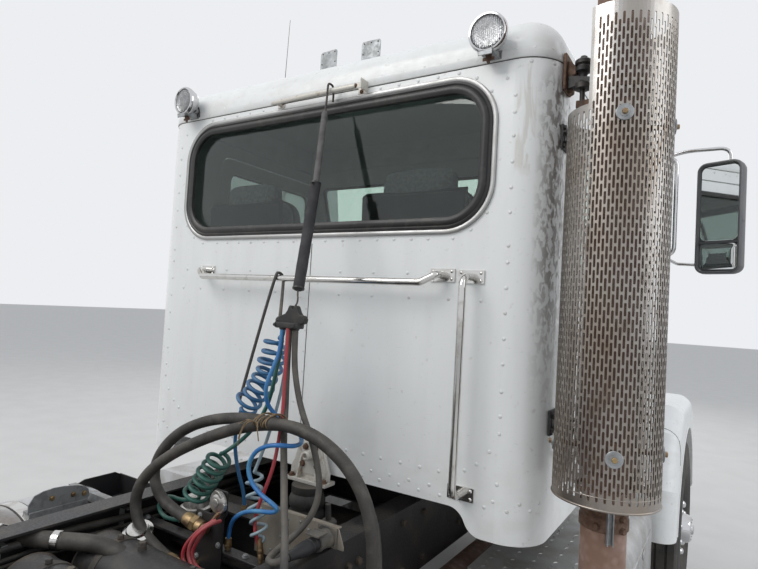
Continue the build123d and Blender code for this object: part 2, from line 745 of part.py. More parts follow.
# Rear window's rubber and trim ring, on the outside of the wall
SEAL_W = 22.0
SEAL_IN = 32.0
SEAL_PROUD = 12.0
with BuildPart() as window_seal:
    with BuildSketch(Plane.XZ.offset(-CAB_REAR_Y - SEAL_PROUD)):
        with Locations((0, REAR_WINDOW_Z)):
            RectangleRounded(REAR_WINDOW_W + 2 * SEAL_W, REAR_WINDOW_H + 2 * SEAL_W, REAR_WINDOW_R + SEAL_W)
            RectangleRounded(
                REAR_WINDOW_W - 2 * SEAL_IN,
                REAR_WINDOW_H - 2 * SEAL_IN,
                REAR_WINDOW_R - SEAL_IN,
                mode=Mode.SUBTRACT,
            )
    extrude(amount=SEAL_PROUD)
keep(window_seal, "window_seal")

# Dashboard with the steering column
WHEEL_HUB = (420.0, -1400.0, 1950.0)
COLUMN_DIR = (0.0, 220.0, 300.0)
HUB_R = 45.0
SHAFT_PIN_R = 12.0
COLUMN_LEN = 330.0
column_unit = Vector(*COLUMN_DIR).normalized()
column_foot = Vector(*WHEEL_HUB) - column_unit * COLUMN_LEN
column_plane = Plane(origin=column_foot, x_dir=(1, 0, 0), z_dir=column_unit)
with BuildPart() as dashboard:
    with BuildSketch(Plane.YZ.offset(-inner_half_w + 10)):
        with BuildLine():
            Polyline(
                (CAB_FRONT_Y + CAB_WALL, 1940),
                (-1620, 1940),
                (-1560, 1860),
                (-1590, 1620),
                (CAB_FRONT_Y + CAB_WALL, 1480),
                close=True,
            )
        make_face()
    extrude(amount=2 * inner_half_w - 20)
    with BuildSketch(column_plane):
        Circle(32)
    extrude(amount=COLUMN_LEN - 32)
    with BuildSketch(column_plane):
        Circle(SHAFT_PIN_R)
    extrude(amount=COLUMN_LEN + 5)
keep(dashboard, "dashboard")

# Steering wheel
WHEEL_RIM_R = 225.0
WHEEL_TUBE_R = 16.0
hub_plane = Plane(origin=WHEEL_HUB, x_dir=(1, 0, 0), z_dir=column_unit)
with BuildPart() as steering_wheel:
    with BuildSketch(hub_plane.offset(-25)):
        Circle(HUB_R)
    extrude(amount=50)
    with BuildSketch(hub_plane.offset(-25)):
        Circle(SHAFT_PIN_R + BEARING_GAP)
    extrude(amount=35, mode=Mode.SUBTRACT)
    with BuildSketch(Plane(origin=WHEEL_HUB, x_dir=(1, 0, 0), z_dir=(0, -column_unit.Z, column_unit.Y))):
        with Locations((WHEEL_RIM_R, 0)):
            Circle(WHEEL_TUBE_R)
    revolve(axis=Axis(WHEEL_HUB, column_unit))
    for angle in (-30, 90, 210):
        spoke_dir = Vector(1, 0, 0).rotate(Axis((0, 0, 0), column_unit), angle)
        with BuildSketch(Plane(origin=Vector(*WHEEL_HUB) + spoke_dir * (HUB_R - 6), z_dir=spoke_dir)):
            Circle(11)
        extrude(amount=WHEEL_RIM_R - HUB_R)
keep(steering_wheel, "steering_wheel")

# Seats: pedestal, cushion and back, one each side
SEAT_X = 430.0
with BuildPart() as seats:
    for side in SIDES:
        with BuildSketch(Plane.YZ.offset(side * SEAT_X - 240)):
            with BuildLine():
                Polyline(
                    (-1080, 1480),
                    (-1080, 1600),
                    (-720, 1570),
                    (-640, 2230),
                    (-550, 2230),
                    (-600, 1480),
                    (-680, 1440),
                    (-700, CAB_BOTTOM_Z + CAB_WALL),
                    (-960, CAB_BOTTOM_Z + CAB_WALL),
                    (-960, 1460),
                    close=True,
                )
            make_face()
        extrude(amount=480)
keep(seats, "seats")

# Doors: panel with its window cut, glass and mirror
WINDOW_FRONT_Y = -1580.0
WINDOW_REAR_Y = -905.0
WINDOW_LOW_Z = 1880.0
WINDOW_HIGH_Z = 2450.0
MIRROR_X = CAB_HALF_W + 430
MIRROR_Y = CAB_REAR_Y - 1100.0
MIRROR_Z = 2240.0
MIRROR_W = 170.0
MIRROR_H = 480.0
MIRROR_T = 60.0
TUBE_X = CAB_HALF_W + 250
TUBE_R = 9.0
door_in = CAB_HALF_W - DOOR_T
for side in SIDES:
    with BuildPart() as door_panel:
        with BuildSketch(Plane.YZ.offset(side * door_in)):
            with Locations(((DOOR_FRONT_Y + DOOR_REAR_Y) / 2, (DOOR_BOTTOM_Z + DOOR_TOP_Z) / 2)):
                RectangleRounded(
                    DOOR_REAR_Y - DOOR_FRONT_Y - 2 * DOOR_GAP,
                    DOOR_TOP_Z - DOOR_BOTTOM_Z - 2 * DOOR_GAP,
                    60 - DOOR_GAP,
                )
            with Locations(((WINDOW_FRONT_Y + WINDOW_REAR_Y) / 2, (WINDOW_LOW_Z + WINDOW_HIGH_Z) / 2)):
                RectangleRounded(
                    WINDOW_REAR_Y - WINDOW_FRONT_Y,
                    WINDOW_HIGH_Z - WINDOW_LOW_Z,
                    50,
                    mode=Mode.SUBTRACT,
                )
        extrude(amount=side * DOOR_T)
        for hinge_z in HINGE_ZS:
            with BuildSketch(Plane.XY.offset(hinge_z - HINGE_MID_HALF)):
                with Locations((side * HINGE_X, HINGE_Y)):
                    Circle(HINGE_R)
                with Locations((side * (CAB_HALF_W + LEAF_T / 2), HINGE_Y + 5 + LEAF_LEN / 2)):
                    Rectangle(LEAF_T, LEAF_LEN)
                with Locations((side * HINGE_X, HINGE_Y)):
                    Circle(HINGE_PIN_R + BEARING_GAP, mode=Mode.SUBTRACT)
            extrude(amount=2 * HINGE_MID_HALF)
    keep(door_panel, f"door_panel_{side_name(side)}")
    with BuildPart() as door_glass:
        with BuildSketch(Plane.YZ.offset(side * (door_in + DOOR_T / 2))):
            with Locations(((WINDOW_FRONT_Y + WINDOW_REAR_Y) / 2, (WINDOW_LOW_Z + WINDOW_HIGH_Z) / 2)):
                RectangleRounded(WINDOW_REAR_Y - WINDOW_FRONT_Y, WINDOW_HIGH_Z - WINDOW_LOW_Z, 50)
        extrude(amount=side * GLASS_T)
    keep(door_glass, f"door_glass_{side_name(side)}")
    with BuildPart() as mirror_arm:
        head_plane = Plane.XZ.offset(-MIRROR_Y)
        with BuildSketch(head_plane):
            with Locations((side * MIRROR_X, MIRROR_Z)):
                RectangleRounded(MIRROR_W, MIRROR_H, 30)
        extrude(amount=MIRROR_T)
        with BuildLine():
            loop = FilletPolyline(
                (side * CAB_HALF_W, MIRROR_Y - 30, MIRROR_Z - 300),
                (side * TUBE_X, MIRROR_Y - 30, MIRROR_Z - 300),
                (side * TUBE_X, MIRROR_Y - 30, MIRROR_Z + 260),
                (side * CAB_HALF_W, MIRROR_Y - 30, MIRROR_Z + 260),
                radius=60,
            )
        with BuildSketch(Plane(origin=loop @ 0, z_dir=loop % 0)):
            Circle(TUBE_R)
        sweep()
        with BuildLine():
            arm = FilletPolyline(
                (side * TUBE_X, MIRROR_Y - 30, MIRROR_Z + 220),
                (side * (MIRROR_X - 40), MIRROR_Y - 30, MIRROR_Z + 290),
                (side * MIRROR_X, MIRROR_Y - 30, MIRROR_Z + 230),
                radius=25,
            )
        with BuildSketch(Plane(origin=arm @ 0, z_dir=arm % 0)):
            Circle(TUBE_R)
        sweep(path=arm)
    keep(mirror_arm, f"mirror_{side_name(side)}")

# Hood panel: U-shaped loft, open below and behind
def hood_section(half_w, bottom_z, top_z, corner_r):
    """Rounded arch section of the hood, closed across its foot."""
    Polyline((-half_w, top_z - corner_r), (-half_w, bottom_z), (half_w, bottom_z), (half_w, top_z - corner_r))
    RadiusArc((half_w, top_z - corner_r), (half_w - corner_r, top_z), -corner_r)
    Line((half_w - corner_r, top_z), (-half_w + corner_r, top_z))
    RadiusArc((-half_w + corner_r, top_z), (-half_w, top_z - corner_r), -corner_r)


HOOD_REAR_R = 170.0
HOOD_FRONT_R = 120.0
with BuildPart() as hood_solid:
    with BuildSketch(Plane.XZ.offset(-HOOD_REAR_Y)):
        with BuildLine():
            hood_section(HOOD_REAR_HALF_W, HOOD_BOTTOM_Z, HOOD_REAR_TOP_Z, HOOD_REAR_R)
        make_face()
    with BuildSketch(Plane.XZ.offset(-HOOD_FRONT_Y)):
        with BuildLine():
            hood_section(HOOD_FRONT_HALF_W, HOOD_BOTTOM_Z, HOOD_FRONT_TOP_Z, HOOD_FRONT_R)
        make_face()
    loft(ruled=True)
with BuildPart() as hood_panel:
    add(hood_solid.part)
    with BuildSketch(Plane.XZ.offset(-HOOD_REAR_Y)):
        with BuildLine():
            hood_section(HOOD_REAR_HALF_W - HOOD_T, HOOD_BOTTOM_Z - 1, HOOD_REAR_TOP_Z - HOOD_T, HOOD_REAR_R - HOOD_T)
        make_face()
    with BuildSketch(Plane.XZ.offset(-HOOD_FRONT_Y)):
        with BuildLine():
            hood_section(HOOD_FRONT_HALF_W - HOOD_T, HOOD_BOTTOM_Z - 1, HOOD_FRONT_TOP_Z - HOOD_T, HOOD_FRONT_R - HOOD_T)
        make_face()
    loft(ruled=True, mode=Mode.SUBTRACT)
keep(hood_panel, "hood_panel")


def fender_outline(inset):
    """Side outline of a front fender, moved in by the inset."""
    front = STEER_AXLE_Y - 690 + inset
    rear = STEER_AXLE_Y + 720 - inset
    top = FENDER_TOP_Z - inset
    foot = 640
    Polyline(
        (front, foot),
        (front, top - 320),
        (front + 110, top - 90),
        (front + 330, top),
        (rear - 420, top),
        (rear - 150, top - 110),
        (rear, top - 380),
        (rear, foot),
        close=True,
    )


LUG_IN_X = PIVOT_EAR_X + PIVOT_EAR_T + 5
LUG_T = 16.0
FENDER_IN_X = PIVOT_EAR_X
FENDER_REAR_IN_X = RAIL_OUT_W / 2 + 178.0
with BuildPart() as front_fenders:
    with BuildSketch(Plane.YZ.offset(300)):
        with BuildLine():
            fender_outline(0)
        make_face()
    extrude(amount=FENDER_OUT_X - 300)
    outer_face = front_fenders.faces().sort_by(Axis.X)[-1]
    fillet(outer_face.edges().filter_by(lambda e: e.center().Z > 660), FENDER_EDGE_R)
    with BuildSketch(Plane.YZ.offset(290)):
        with BuildLine():
            fender_outline(HOOD_T)
        make_face()
    extrude(amount=FENDER_OUT_X - 290 - FENDER_EDGE_R, mode=Mode.SUBTRACT)
    with BuildSketch(Plane.YZ.offset(FENDER_OUT_X - FENDER_EDGE_R - 10)):
        with Locations((STEER_AXLE_Y, AXLE_Z)):
            Circle(ARCH_R)
    extrude(amount=FENDER_EDGE_R + 20, mode=Mode.SUBTRACT)
    with BuildSketch(Plane.YZ.offset(LUG_IN_X)):
        with Locations((HOOD_PIVOT_Y + 40, HOOD_PIVOT_Z)):
            Rectangle(100, 50)
        with Locations((HOOD_PIVOT_Y, HOOD_PIVOT_Z)):
            Circle(25)
            Circle(PIVOT_R + BEARING_GAP, mode=Mode.SUBTRACT)
    extrude(amount=LUG_T)
    with BuildSketch(Plane.YZ.offset(290)):
        with Locations((STEER_AXLE_Y + 15, (HOOD_BOTTOM_Z + 600) / 2)):
            Rectangle(1430, HOOD_BOTTOM_Z - 600)
    extrude(amount=FENDER_IN_X - 290, mode=Mode.SUBTRACT)
    with BuildSketch(Plane.YZ.offset(290)):
        with Locations((STEER_AXLE_Y + 400, (HOOD_BOTTOM_Z + 600) / 2)):
            Rectangle(700, HOOD_BOTTOM_Z - 600)
    extrude(amount=FENDER_REAR_IN_X - 290, mode=Mode.SUBTRACT)
    mirror(about=Plane.YZ)
    add(hood_solid.part, mode=Mode.SUBTRACT)
keep(front_fenders, "front_fenders")

# Grille: surround and upright bars on the hood's front edge
GRILLE_T = 35.0
with BuildPart() as grille:
    with BuildSketch(Plane.XZ.offset(-HOOD_FRONT_Y)):
        with BuildLine():
            hood_section(HOOD_FRONT_HALF_W, GRILLE_LOW_Z, HOOD_FRONT_TOP_Z, HOOD_FRONT_R)
        make_face()
        with BuildLine():
            hood_section(HOOD_FRONT_HALF_W - 50, GRILLE_LOW_Z + 50, HOOD_FRONT_TOP_Z - 50, HOOD_FRONT_R - 50)
        make_face(mode=Mode.SUBTRACT)
        with Locations((0, (GRILLE_LOW_Z + HOOD_FRONT_TOP_Z) / 2)):
            with GridLocations(52, 0, 15, 1):
                Rectangle(10, HOOD_FRONT_TOP_Z - GRILLE_LOW_Z - 90)
            Rectangle(2 * HOOD_FRONT_HALF_W - 90, 14)
    extrude(amount=GRILLE_T)
keep(grille, "grille")

# Headlights on the fenders' front faces
LAMP_X = PIVOT_EAR_X + 300.0
LAMP_Z = 900.0
with BuildPart() as headlights:
    with BuildSketch(Plane.XZ.offset(-(STEER_AXLE_Y - 690))):
        with Locations((LAMP_X, LAMP_Z), (-LAMP_X, LAMP_Z)):
            RectangleRounded(420, 170, 40)
    extrude(amount=60)
keep(headlights, "headlights")

# Side steps and battery boxes under the doors
BOX_IN_X = 660.0
BOX_OUT_X = 1120.0
BOX_TOP_Z = 850.0
BOX_LOW_Z = 470.0
BOX_FRONT_Y = -1950.0
BOX_REAR_Y = -700.0
BOX_EDGE_R = 80.0
STEP_DEPTH = 140.0
with BuildPart() as side_boxes:
    for side in SIDES:
        with BuildSketch(Plane.XZ.offset(-BOX_REAR_Y)):
            with BuildLine():
                Polyline(
                    (side * BOX_IN_X, BOX_LOW_Z),
                    (side * BOX_IN_X, BOX_TOP_Z),
                    (side * (BOX_OUT_X - BOX_EDGE_R), BOX_TOP_Z),
                )
                ThreePointArc(
                    (side * (BOX_OUT_X - BOX_EDGE_R), BOX_TOP_Z),
                    (side * (BOX_OUT_X - BOX_EDGE_R * 0.293), BOX_TOP_Z - BOX_EDGE_R * 0.293),
                    (side * BOX_OUT_X, BOX_TOP_Z - BOX_EDGE_R),
                )
                Polyline(
                    (side * BOX_OUT_X, BOX_TOP_Z - BOX_EDGE_R),
                    (side * BOX_OUT_X, BOX_LOW_Z),
                    (side * BOX_IN_X, BOX_LOW_Z),
                )
            make_face()
        extrude(amount=BOX_REAR_Y - BOX_FRONT_Y)
keep(side_boxes, "side_boxes")

# Fuel tanks, one each side behind the cab
with BuildPart() as fuel_tanks:
    with BuildSketch(Plane.XZ.offset(-TANK_REAR_Y)):
        with Locations((TANK_X, TANK_Z), (-TANK_X, TANK_Z)):
            Circle(TANK_R)
    extrude(amount=TANK_REAR_Y - TANK_FRONT_Y)
    fillet(fuel_tanks.edges().filter_by(GeomType.CIRCLE), 35)
keep(fuel_tanks, "fuel_tanks")

# Exhaust: pipe from the engine, round below the cab and up the stack
PIPE_LOW_Z = 670.0
PIPE_IN_X = -(RAIL_OUT_W / 2 + LOWER_PIPE_R + 9.5)
PIPE_BEND_R = 150.0
PIPE_FRONT_Y = -2200.0
PIPE_ENGINE_Z = 1250.0
JOINT_Z = 1330.0
with BuildPart() as exhaust_pipe:
    with BuildLine():
        pipe_path = FilletPolyline(
            (-ENGINE_HALF_W, PIPE_FRONT_Y, PIPE_ENGINE_Z),
            (PIPE_IN_X, PIPE_FRONT_Y, PIPE_ENGINE_Z),
            (PIPE_IN_X, PIPE_FRONT_Y, PIPE_LOW_Z),
            (PIPE_IN_X, STACK_Y, PIPE_LOW_Z),
            (STACK_X, STACK_Y, PIPE_LOW_Z),
            (STACK_X, STACK_Y, JOINT_Z),
            radius=PIPE_BEND_R,
        )
    with BuildSketch(Plane(origin=pipe_path @ 0, z_dir=pipe_path % 0)):
        Circle(LOWER_PIPE_R)
    sweep()
    with BuildSketch(Plane.XY.offset(JOINT_Z)):
        with Locations((STACK_X, STACK_Y)):
            Circle(STACK_PIPE_R)
    extrude(amount=STACK_TOP_Z - JOINT_Z)
    with BuildSketch(Plane.XY.offset(STACK_TOP_Z)):
        with Locations((STACK_X, STACK_Y)):
            Circle(STACK_PIPE_R - 2)
    extrude(amount=-400, mode=Mode.SUBTRACT)
keep(exhaust_pipe, "exhaust_pipe")

# Heat shield around the stack, with the notch for the stack's bracket
NOTCH_LOW_Z = 2395.0
NOTCH_IN = 55.0
with BuildPart() as heat_shield:
    with BuildSketch(Plane.XY.offset(SHIELD_BOTTOM_Z)):
        with Locations((STACK_X, STACK_Y)):
            Circle(SHIELD_R)
            Circle(SHIELD_R - SHIELD_T, mode=Mode.SUBTRACT)
    extrude(amount=SHIELD_TOP_Z - SHIELD_BOTTOM_Z)
    with BuildSketch(Plane.XY.offset(NOTCH_LOW_Z)):
        with Locations((STACK_X + NOTCH_IN + SHIELD_R / 2, STACK_Y)):
            Rectangle(SHIELD_R, 2 * SHIELD_R)
    extrude(amount=SHIELD_TOP_Z - NOTCH_LOW_Z, mode=Mode.SUBTRACT)
keep(heat_shield, "heat_shield")

# Stack bracket: clamp round the pipe, arm to the cab's corner, shield posts
CLAMP_Z = 2530.0
CLAMP_H = 50.0
with BuildPart() as stack_bracket:
    with BuildSketch(Plane.XY.offset(CLAMP_Z)):
        with Locations((STACK_X, STACK_Y)):
            Circle(STACK_PIPE_R + 6)
        with Locations(((STACK_X + 20 - CAB_HALF_W) / 2, STACK_Y - 95)):
            Rectangle(-STACK_X - 20 - CAB_HALF_W, 44)
        with Locations((STACK_X + 45, STACK_Y - 70)):
            Rectangle(50, 90)
        with Locations((STACK_X, STACK_Y)):
            Circle(STACK_PIPE_R, mode=Mode.SUBTRACT)
    extrude(amount=CLAMP_H)
    for post_z in (1400.0, 2330.0):
        with BuildSketch(Plane.XY.offset(post_z)):
            with Locations((STACK_X, STACK_Y)):
                Circle(STACK_PIPE_R + 6)
                Circle(STACK_PIPE_R, mode=Mode.SUBTRACT)
        extrude(amount=40)
        for side in SIDES:
            post_x = STACK_X + side * (STACK_PIPE_R + SHIELD_R + 1) / 2
            post_len = SHIELD_R - SHIELD_T - STACK_PIPE_R - 6
            with BuildSketch(Plane.YZ.offset(post_x - post_len / 2)):
                with Locations((STACK_Y, post_z + 20)):
                    Circle(10)
            extrude(amount=post_len)
keep(stack_bracket, "stack_bracket")

# Round work lights on the rear corners of the roof
LIGHT_X = 745.0
LIGHT_Y = CAB_REAR_Y + 50.0
LIGHT_Z = 2665.0
LIGHT_R = 64.0
with BuildPart() as work_lights:
    for side in SIDES:
        lamp_plane = Plane(
            origin=(side * LIGHT_X, LIGHT_Y - 30, LIGHT_Z), x_dir=(1, 0, 0), z_dir=(0, 1, 0)
        )
        with BuildSketch(lamp_plane):
            Circle(LIGHT_R)
        extrude(amount=60)
        with BuildSketch(Plane.XY.offset(CAB_SEAM_Z + 4)):
            with Locations((side * LIGHT_X, CAB_REAR_Y + 35)):
                Rectangle(50, 70)
        extrude(amount=8)
keep(work_lights, "work_lights")

# Grab rails on the rear wall: one level, one upright
RAIL_R = 12.5
RAIL_PROUD = 72.0
UPRIGHT_X = -705.0
FOOT_W = 92.0
FOOT_H = 44.0
FOOT_T = 6.0
with BuildPart() as grab_rails:
    with BuildLine():
        level = FilletPolyline(
            (580, CAB_REAR_Y + FOOT_T, 1880),
            (580, CAB_REAR_Y + RAIL_PROUD - 22, 1880),
            (530, CAB_REAR_Y + RAIL_PROUD, 1850),
            (-550, CAB_REAR_Y + RAIL_PROUD, 1850),
            (-600, CAB_REAR_Y + RAIL_PROUD - 22, 1880),
            (-600, CAB_REAR_Y + FOOT_T, 1880),
            radius=18,
        )
    with BuildSketch(Plane(origin=level @ 0, z_dir=level % 0)):
        Circle(RAIL_R)
    sweep()
    with BuildLine():
        upright = FilletPolyline(
            (UPRIGHT_X, CAB_REAR_Y + FOOT_T, 1876),
            (UPRIGHT_X, CAB_REAR_Y + RAIL_PROUD, 1876),
            (UPRIGHT_X, CAB_REAR_Y + RAIL_PROUD, 1170),
            (UPRIGHT_X, CAB_REAR_Y + FOOT_T, 1170),
            radius=40,
        )
    with BuildSketch(Plane(origin=upright @ 0, z_dir=upright % 0)):
        Circle(RAIL_R)
    sweep(path=upright)
    with BuildSketch(Plane.XZ.offset(-CAB_REAR_Y - FOOT_T)):
        with Locations((580, 1880), (-600, 1880), (UPRIGHT_X, 1876), (UPRIGHT_X, 1170)):
            Rectangle(FOOT_W, FOOT_H)
    extrude(amount=FOOT_T)
keep(grab_rails, "grab_rails")

# Cord routes: x, y, z of each bend, from the exit to the far end
HOSE_FRONT = (
    (-647, -80, 1000), (-645, -80, 1090), (-630, -80, 1180), (-585, -80, 1268), (-510, -79, 1336),
    (-405, -78, 1380), (-288, -76, 1388), (-140, -72, 1358), (15, -52, 1296), (155, -22, 1218),
    (248, 0, 1132), (276, 8, 1046), (240, 5, 968), (172, -5, 922), (95, -12, 895),
)
HOSE_BACK = (
    (-645, -168, 1000), (-640, -164, 1088), (-618, -156, 1176), (-562, -146, 1256), (-478, -138, 1320),
    (-360, -131, 1362), (-215, -128, 1374), (-65, -126, 1366), (75, -116, 1338), (185, -98, 1288),
    (258, -80, 1216), (285, -66, 1136), (245, -58, 1070), (162, -56, 1032), (74, -58, 1018),
)
CABLE_LONG = (
    (-204, -184, 1672), (-204, -184, 1588), (-208, -181, 1495), (-213, -180, 1405), (-238, -152, 1320),
    (-312, -80, 1238), (-362, -30, 1174), (-410, 14, 1121), (-444, 50, 1076), (-456, 62, 1024),
    (-456, 62, 976),
)
CABLE_PLUGGED = (
    (-228, -188, 1672), (-228, -188, 1585), (-241, -192, 1495), (-272, -190, 1412), (-324, -181, 1338),
    (-367, -170, 1262), (-392, -157, 1192), (-390, -136, 1130), (-366, -105, 1080), (-348, -60, 1050),
    (-352, -8, 1040), (-372, 36, 1042), (-406, 48, 1047), (-412, 20, 1048), (-412, 0, 1048),
)
GREEN_LEAD = (
    (-170, -190, 1672), (-170, -190, 1600), (-157, -186, 1530), (-142, -188, 1455), (-118, -186, 1385),
    (-80, -170, 1318), (-35, -148, 1268), (2, -120, 1230),
)
GREEN_COIL = ((2, -120, 1230), (118, -108, 1062))
GREEN_TAIL = (
    (118, -108, 1062), (168, -104, 1046), (222, -100, 1050), (268, -98, 1034), (282, -96, 998),
    (250, -96, 972), (196, -98, 974), (145, -100, 985), (95, -100, 985),
)
BLUE_LEAD = ((-160, -206, 1672), (-160, -206, 1646), (-136, -222, 1640), (-110, -235, 1632))
BLUE_COIL = (
    (-110, -235, 1632), (-98, -235, 1580), (-80, -235, 1520), (-50, -235, 1465), (-12, -232, 1415),
    (28, -228, 1370),
)
BLUE_TAIL = (
    (28, -228, 1370), (54, -232, 1318), (70, -240, 1258), (74, -252, 1194), (68, -266, 1130),
    (56, -282, 1070), (50, -290, 1024), (50, -290, 1000),
)
BLUE_HOSE = (
    (-184, -172, 1672), (-184, -172, 1600), (-164, -160, 1535), (-142, -152, 1468), (-140, -176, 1403),
    (-192, -205, 1358), (-256, -210, 1334), (-302, -170, 1316), (-318, -112, 1318), (-296, -68, 1326),
    (-252, -60, 1318),
    (-202, -62, 1290), (-174, -65, 1240), (-188, -68, 1195), (-230, -68, 1166), (-276, -70, 1150),
    (-302, -76, 1134), (-276, -82, 1116), (-215, -86, 1106), (-150, -92, 1088), (-98, -98, 1054),
    (-66, -110, 1008), (-66, -110, 967),
)
RED_LINE = (
    (-58, -58, 1058), (-40, -42, 1029), (-24, -22, 990), (-6, -14, 950), (-18, -14, 914),
    (-61, -18, 898), (-104, -26, 886), (-116, -8, 880), (-116, 10, 880),
)
GREY_LEAD = (
    (-186, -200, 1672), (-186, -200, 1616), (-176, -210, 1550), (-164, -214, 1480), (-154, -208, 1412),
    (-148, -190, 1340), (-148, -160, 1270), (-150, -125, 1205),
)
GREY_COIL = (
    (-150, -125, 1205), (-152, -122, 1150), (-172, -118, 1095), (-196, -112, 1045), (-205, -110, 1000),
)
STRAP = (
    (-143, -202, 1693), (74, -449, 1837), (80, -450, 1860), (84, -432, 1874), (87, -410, 1866),
    (123, -300, 1372),
)
HOSE_R = 19.0
CABLE_LONG_R = 11.0
CABLE_PLUGGED_R = 10.0
AIR_LINE_R = 7.0
GREEN_COIL_R = 44.0
BLUE_LEAD_R = 6.0
BLUE_COIL_R = 46.0
RED_LINE_R = 6.0
GREY_LEAD_R = 4.0
GREY_COIL_R = 28.0
STRAP_R = 6.0


def start_plane(route):
    """Plane on a cord's first point, facing back out of the cord."""
    return Plane(origin=route[0], z_dir=Vector(*route[0]) - Vector(*route[1]))


def end_plane(route):
    """Plane on a cord's last point, facing on past its end."""
    return Plane(origin=route[-1], z_dir=Vector(*route[-1]) - Vector(*route[-2]))


def bend_radii(route):
    """Radius of the arc at each bend, as large as the runs beside it allow."""
    radii = []
    for before, bend, after in zip(route, route[1:], route[2:]):
        run_in = Vector(*bend) - Vector(*before)
        run_out = Vector(*after) - Vector(*bend)
        turn = radians(run_in.get_angle(run_out))
        radii.append(0.45 * min(run_in.length, run_out.length) / tan(turn / 2))
    return radii


def cord_line(route):
    """Centre line of a cord: straight runs joined by tangent arcs."""
    if len(route) == 2:
        return Line(*route)
    radii = bend_radii(route)
    print("cord bend radii", [round(r) for r in radii])
    return FilletPolyline(*route, radius=radii)


# Hose tender over the rear window: bar, hook, rod in its sleeve, and the hose clamp
TENDER_Z = 2606.0
SLEEVE_R = 20.0
ROD_R = 5.0
HOSE_CLAMP_Y = CAB_REAR_Y + 294.0
COLLAR_LOW_Z = 1672.0
COLLAR_HIGH_Z = 1690.0
rod_line = ((-150, -338, 2190), (-203, -217, 1800), (-212, -197, 1735))
with BuildPart() as tender_bar:
    with BuildSketch(Plane.XZ.offset(-CAB_REAR_Y - 52)):
        with Locations((0, TENDER_Z - 20)):
            RectangleRounded(470, 22, 8)
    extrude(amount=20)
    with BuildSketch(Plane.XZ.offset(-CAB_REAR_Y - 50)):
        with Locations((-231, TENDER_Z - 12), (231, TENDER_Z - 12)):
            Rectangle(30, 38)
    extrude(amount=50)
    with BuildLine():
        hook = FilletPolyline(
            (-95, -477, TENDER_Z - 28),
            (-95, -477, TENDER_Z - 6),
            (-95, -438, TENDER_Z - 6),
            (-97, -438, TENDER_Z - 40),
            rod_line[0],
            radius=8,
        )
    with BuildSketch(Plane(origin=hook @ 0, z_dir=hook % 0)):
        Circle(ROD_R)
    sweep(path=hook)
    for radius, start, end in ((SLEEVE_R, *rod_line[:2]), (ROD_R, *rod_line[1:])):
        run = Vector(*end) - Vector(*start)
        with BuildSketch(Plane(origin=start, z_dir=run)):
            Circle(radius)
        extrude(amount=run.length)
    with BuildSketch(Plane.XZ.offset(-HOSE_CLAMP_Y)):
        with BuildLine():
            Polyline(
                (-262, COLLAR_HIGH_Z - 4),
                (-240, COLLAR_HIGH_Z + 12),
                (-226, COLLAR_HIGH_Z + 58),
                (-198, COLLAR_HIGH_Z + 58),
                (-178, COLLAR_HIGH_Z + 12),
                (-156, COLLAR_HIGH_Z - 4),
                close=True,
            )
        make_face()
    extrude(amount=-22)
    with BuildSketch(Plane.XY.offset(COLLAR_LOW_Z)):
        with Locations((-198, -189)):
            RectangleRounded(100, 54, 14)
    extrude(amount=COLLAR_HIGH_Z - COLLAR_LOW_Z)
    with BuildSketch(start_plane(STRAP)):
        Circle(STRAP_R)
    extrude(amount=32)
keep(tender_bar, "tender_bar")

# Cords: hoses, cables, air lines with their put-away coils as plain tubes, and the strap
cord_parts = (
    ("hydraulic_hoses", ((HOSE_FRONT, HOSE_R), (HOSE_BACK, HOSE_R))),
    ("trailer_cables", ((CABLE_LONG, CABLE_LONG_R), (CABLE_PLUGGED, CABLE_PLUGGED_R))),
    ("green_air_line", ((GREEN_LEAD, AIR_LINE_R), (GREEN_COIL, GREEN_COIL_R), (GREEN_TAIL, AIR_LINE_R))),
    ("blue_air_line", ((BLUE_LEAD, BLUE_LEAD_R), (BLUE_COIL, BLUE_COIL_R), (BLUE_TAIL, BLUE_LEAD_R))),
    (
        "loose_air_hoses",
        (
            (BLUE_HOSE, AIR_LINE_R),
            (RED_LINE, RED_LINE_R),
            (GREY_LEAD, GREY_LEAD_R),
            (GREY_COIL, GREY_COIL_R),
        ),
    ),
    ("rubber_strap", ((STRAP, STRAP_R),)),
)
for cord_name, cord_runs in cord_parts:
    expected = 0.0
    with BuildPart() as cord:
        for route, radius in cord_runs:
            with BuildLine():
                centre = cord_line(route)
            with BuildSketch(Plane(origin=centre @ 0, z_dir=centre % 0)):
                Circle(radius)
            sweep(path=centre)
            expected += pi * radius**2 * centre.length
    print(cord_name, "volume over section times length", round(cord.part.volume / expected, 3))
    keep(cord, cord_name)

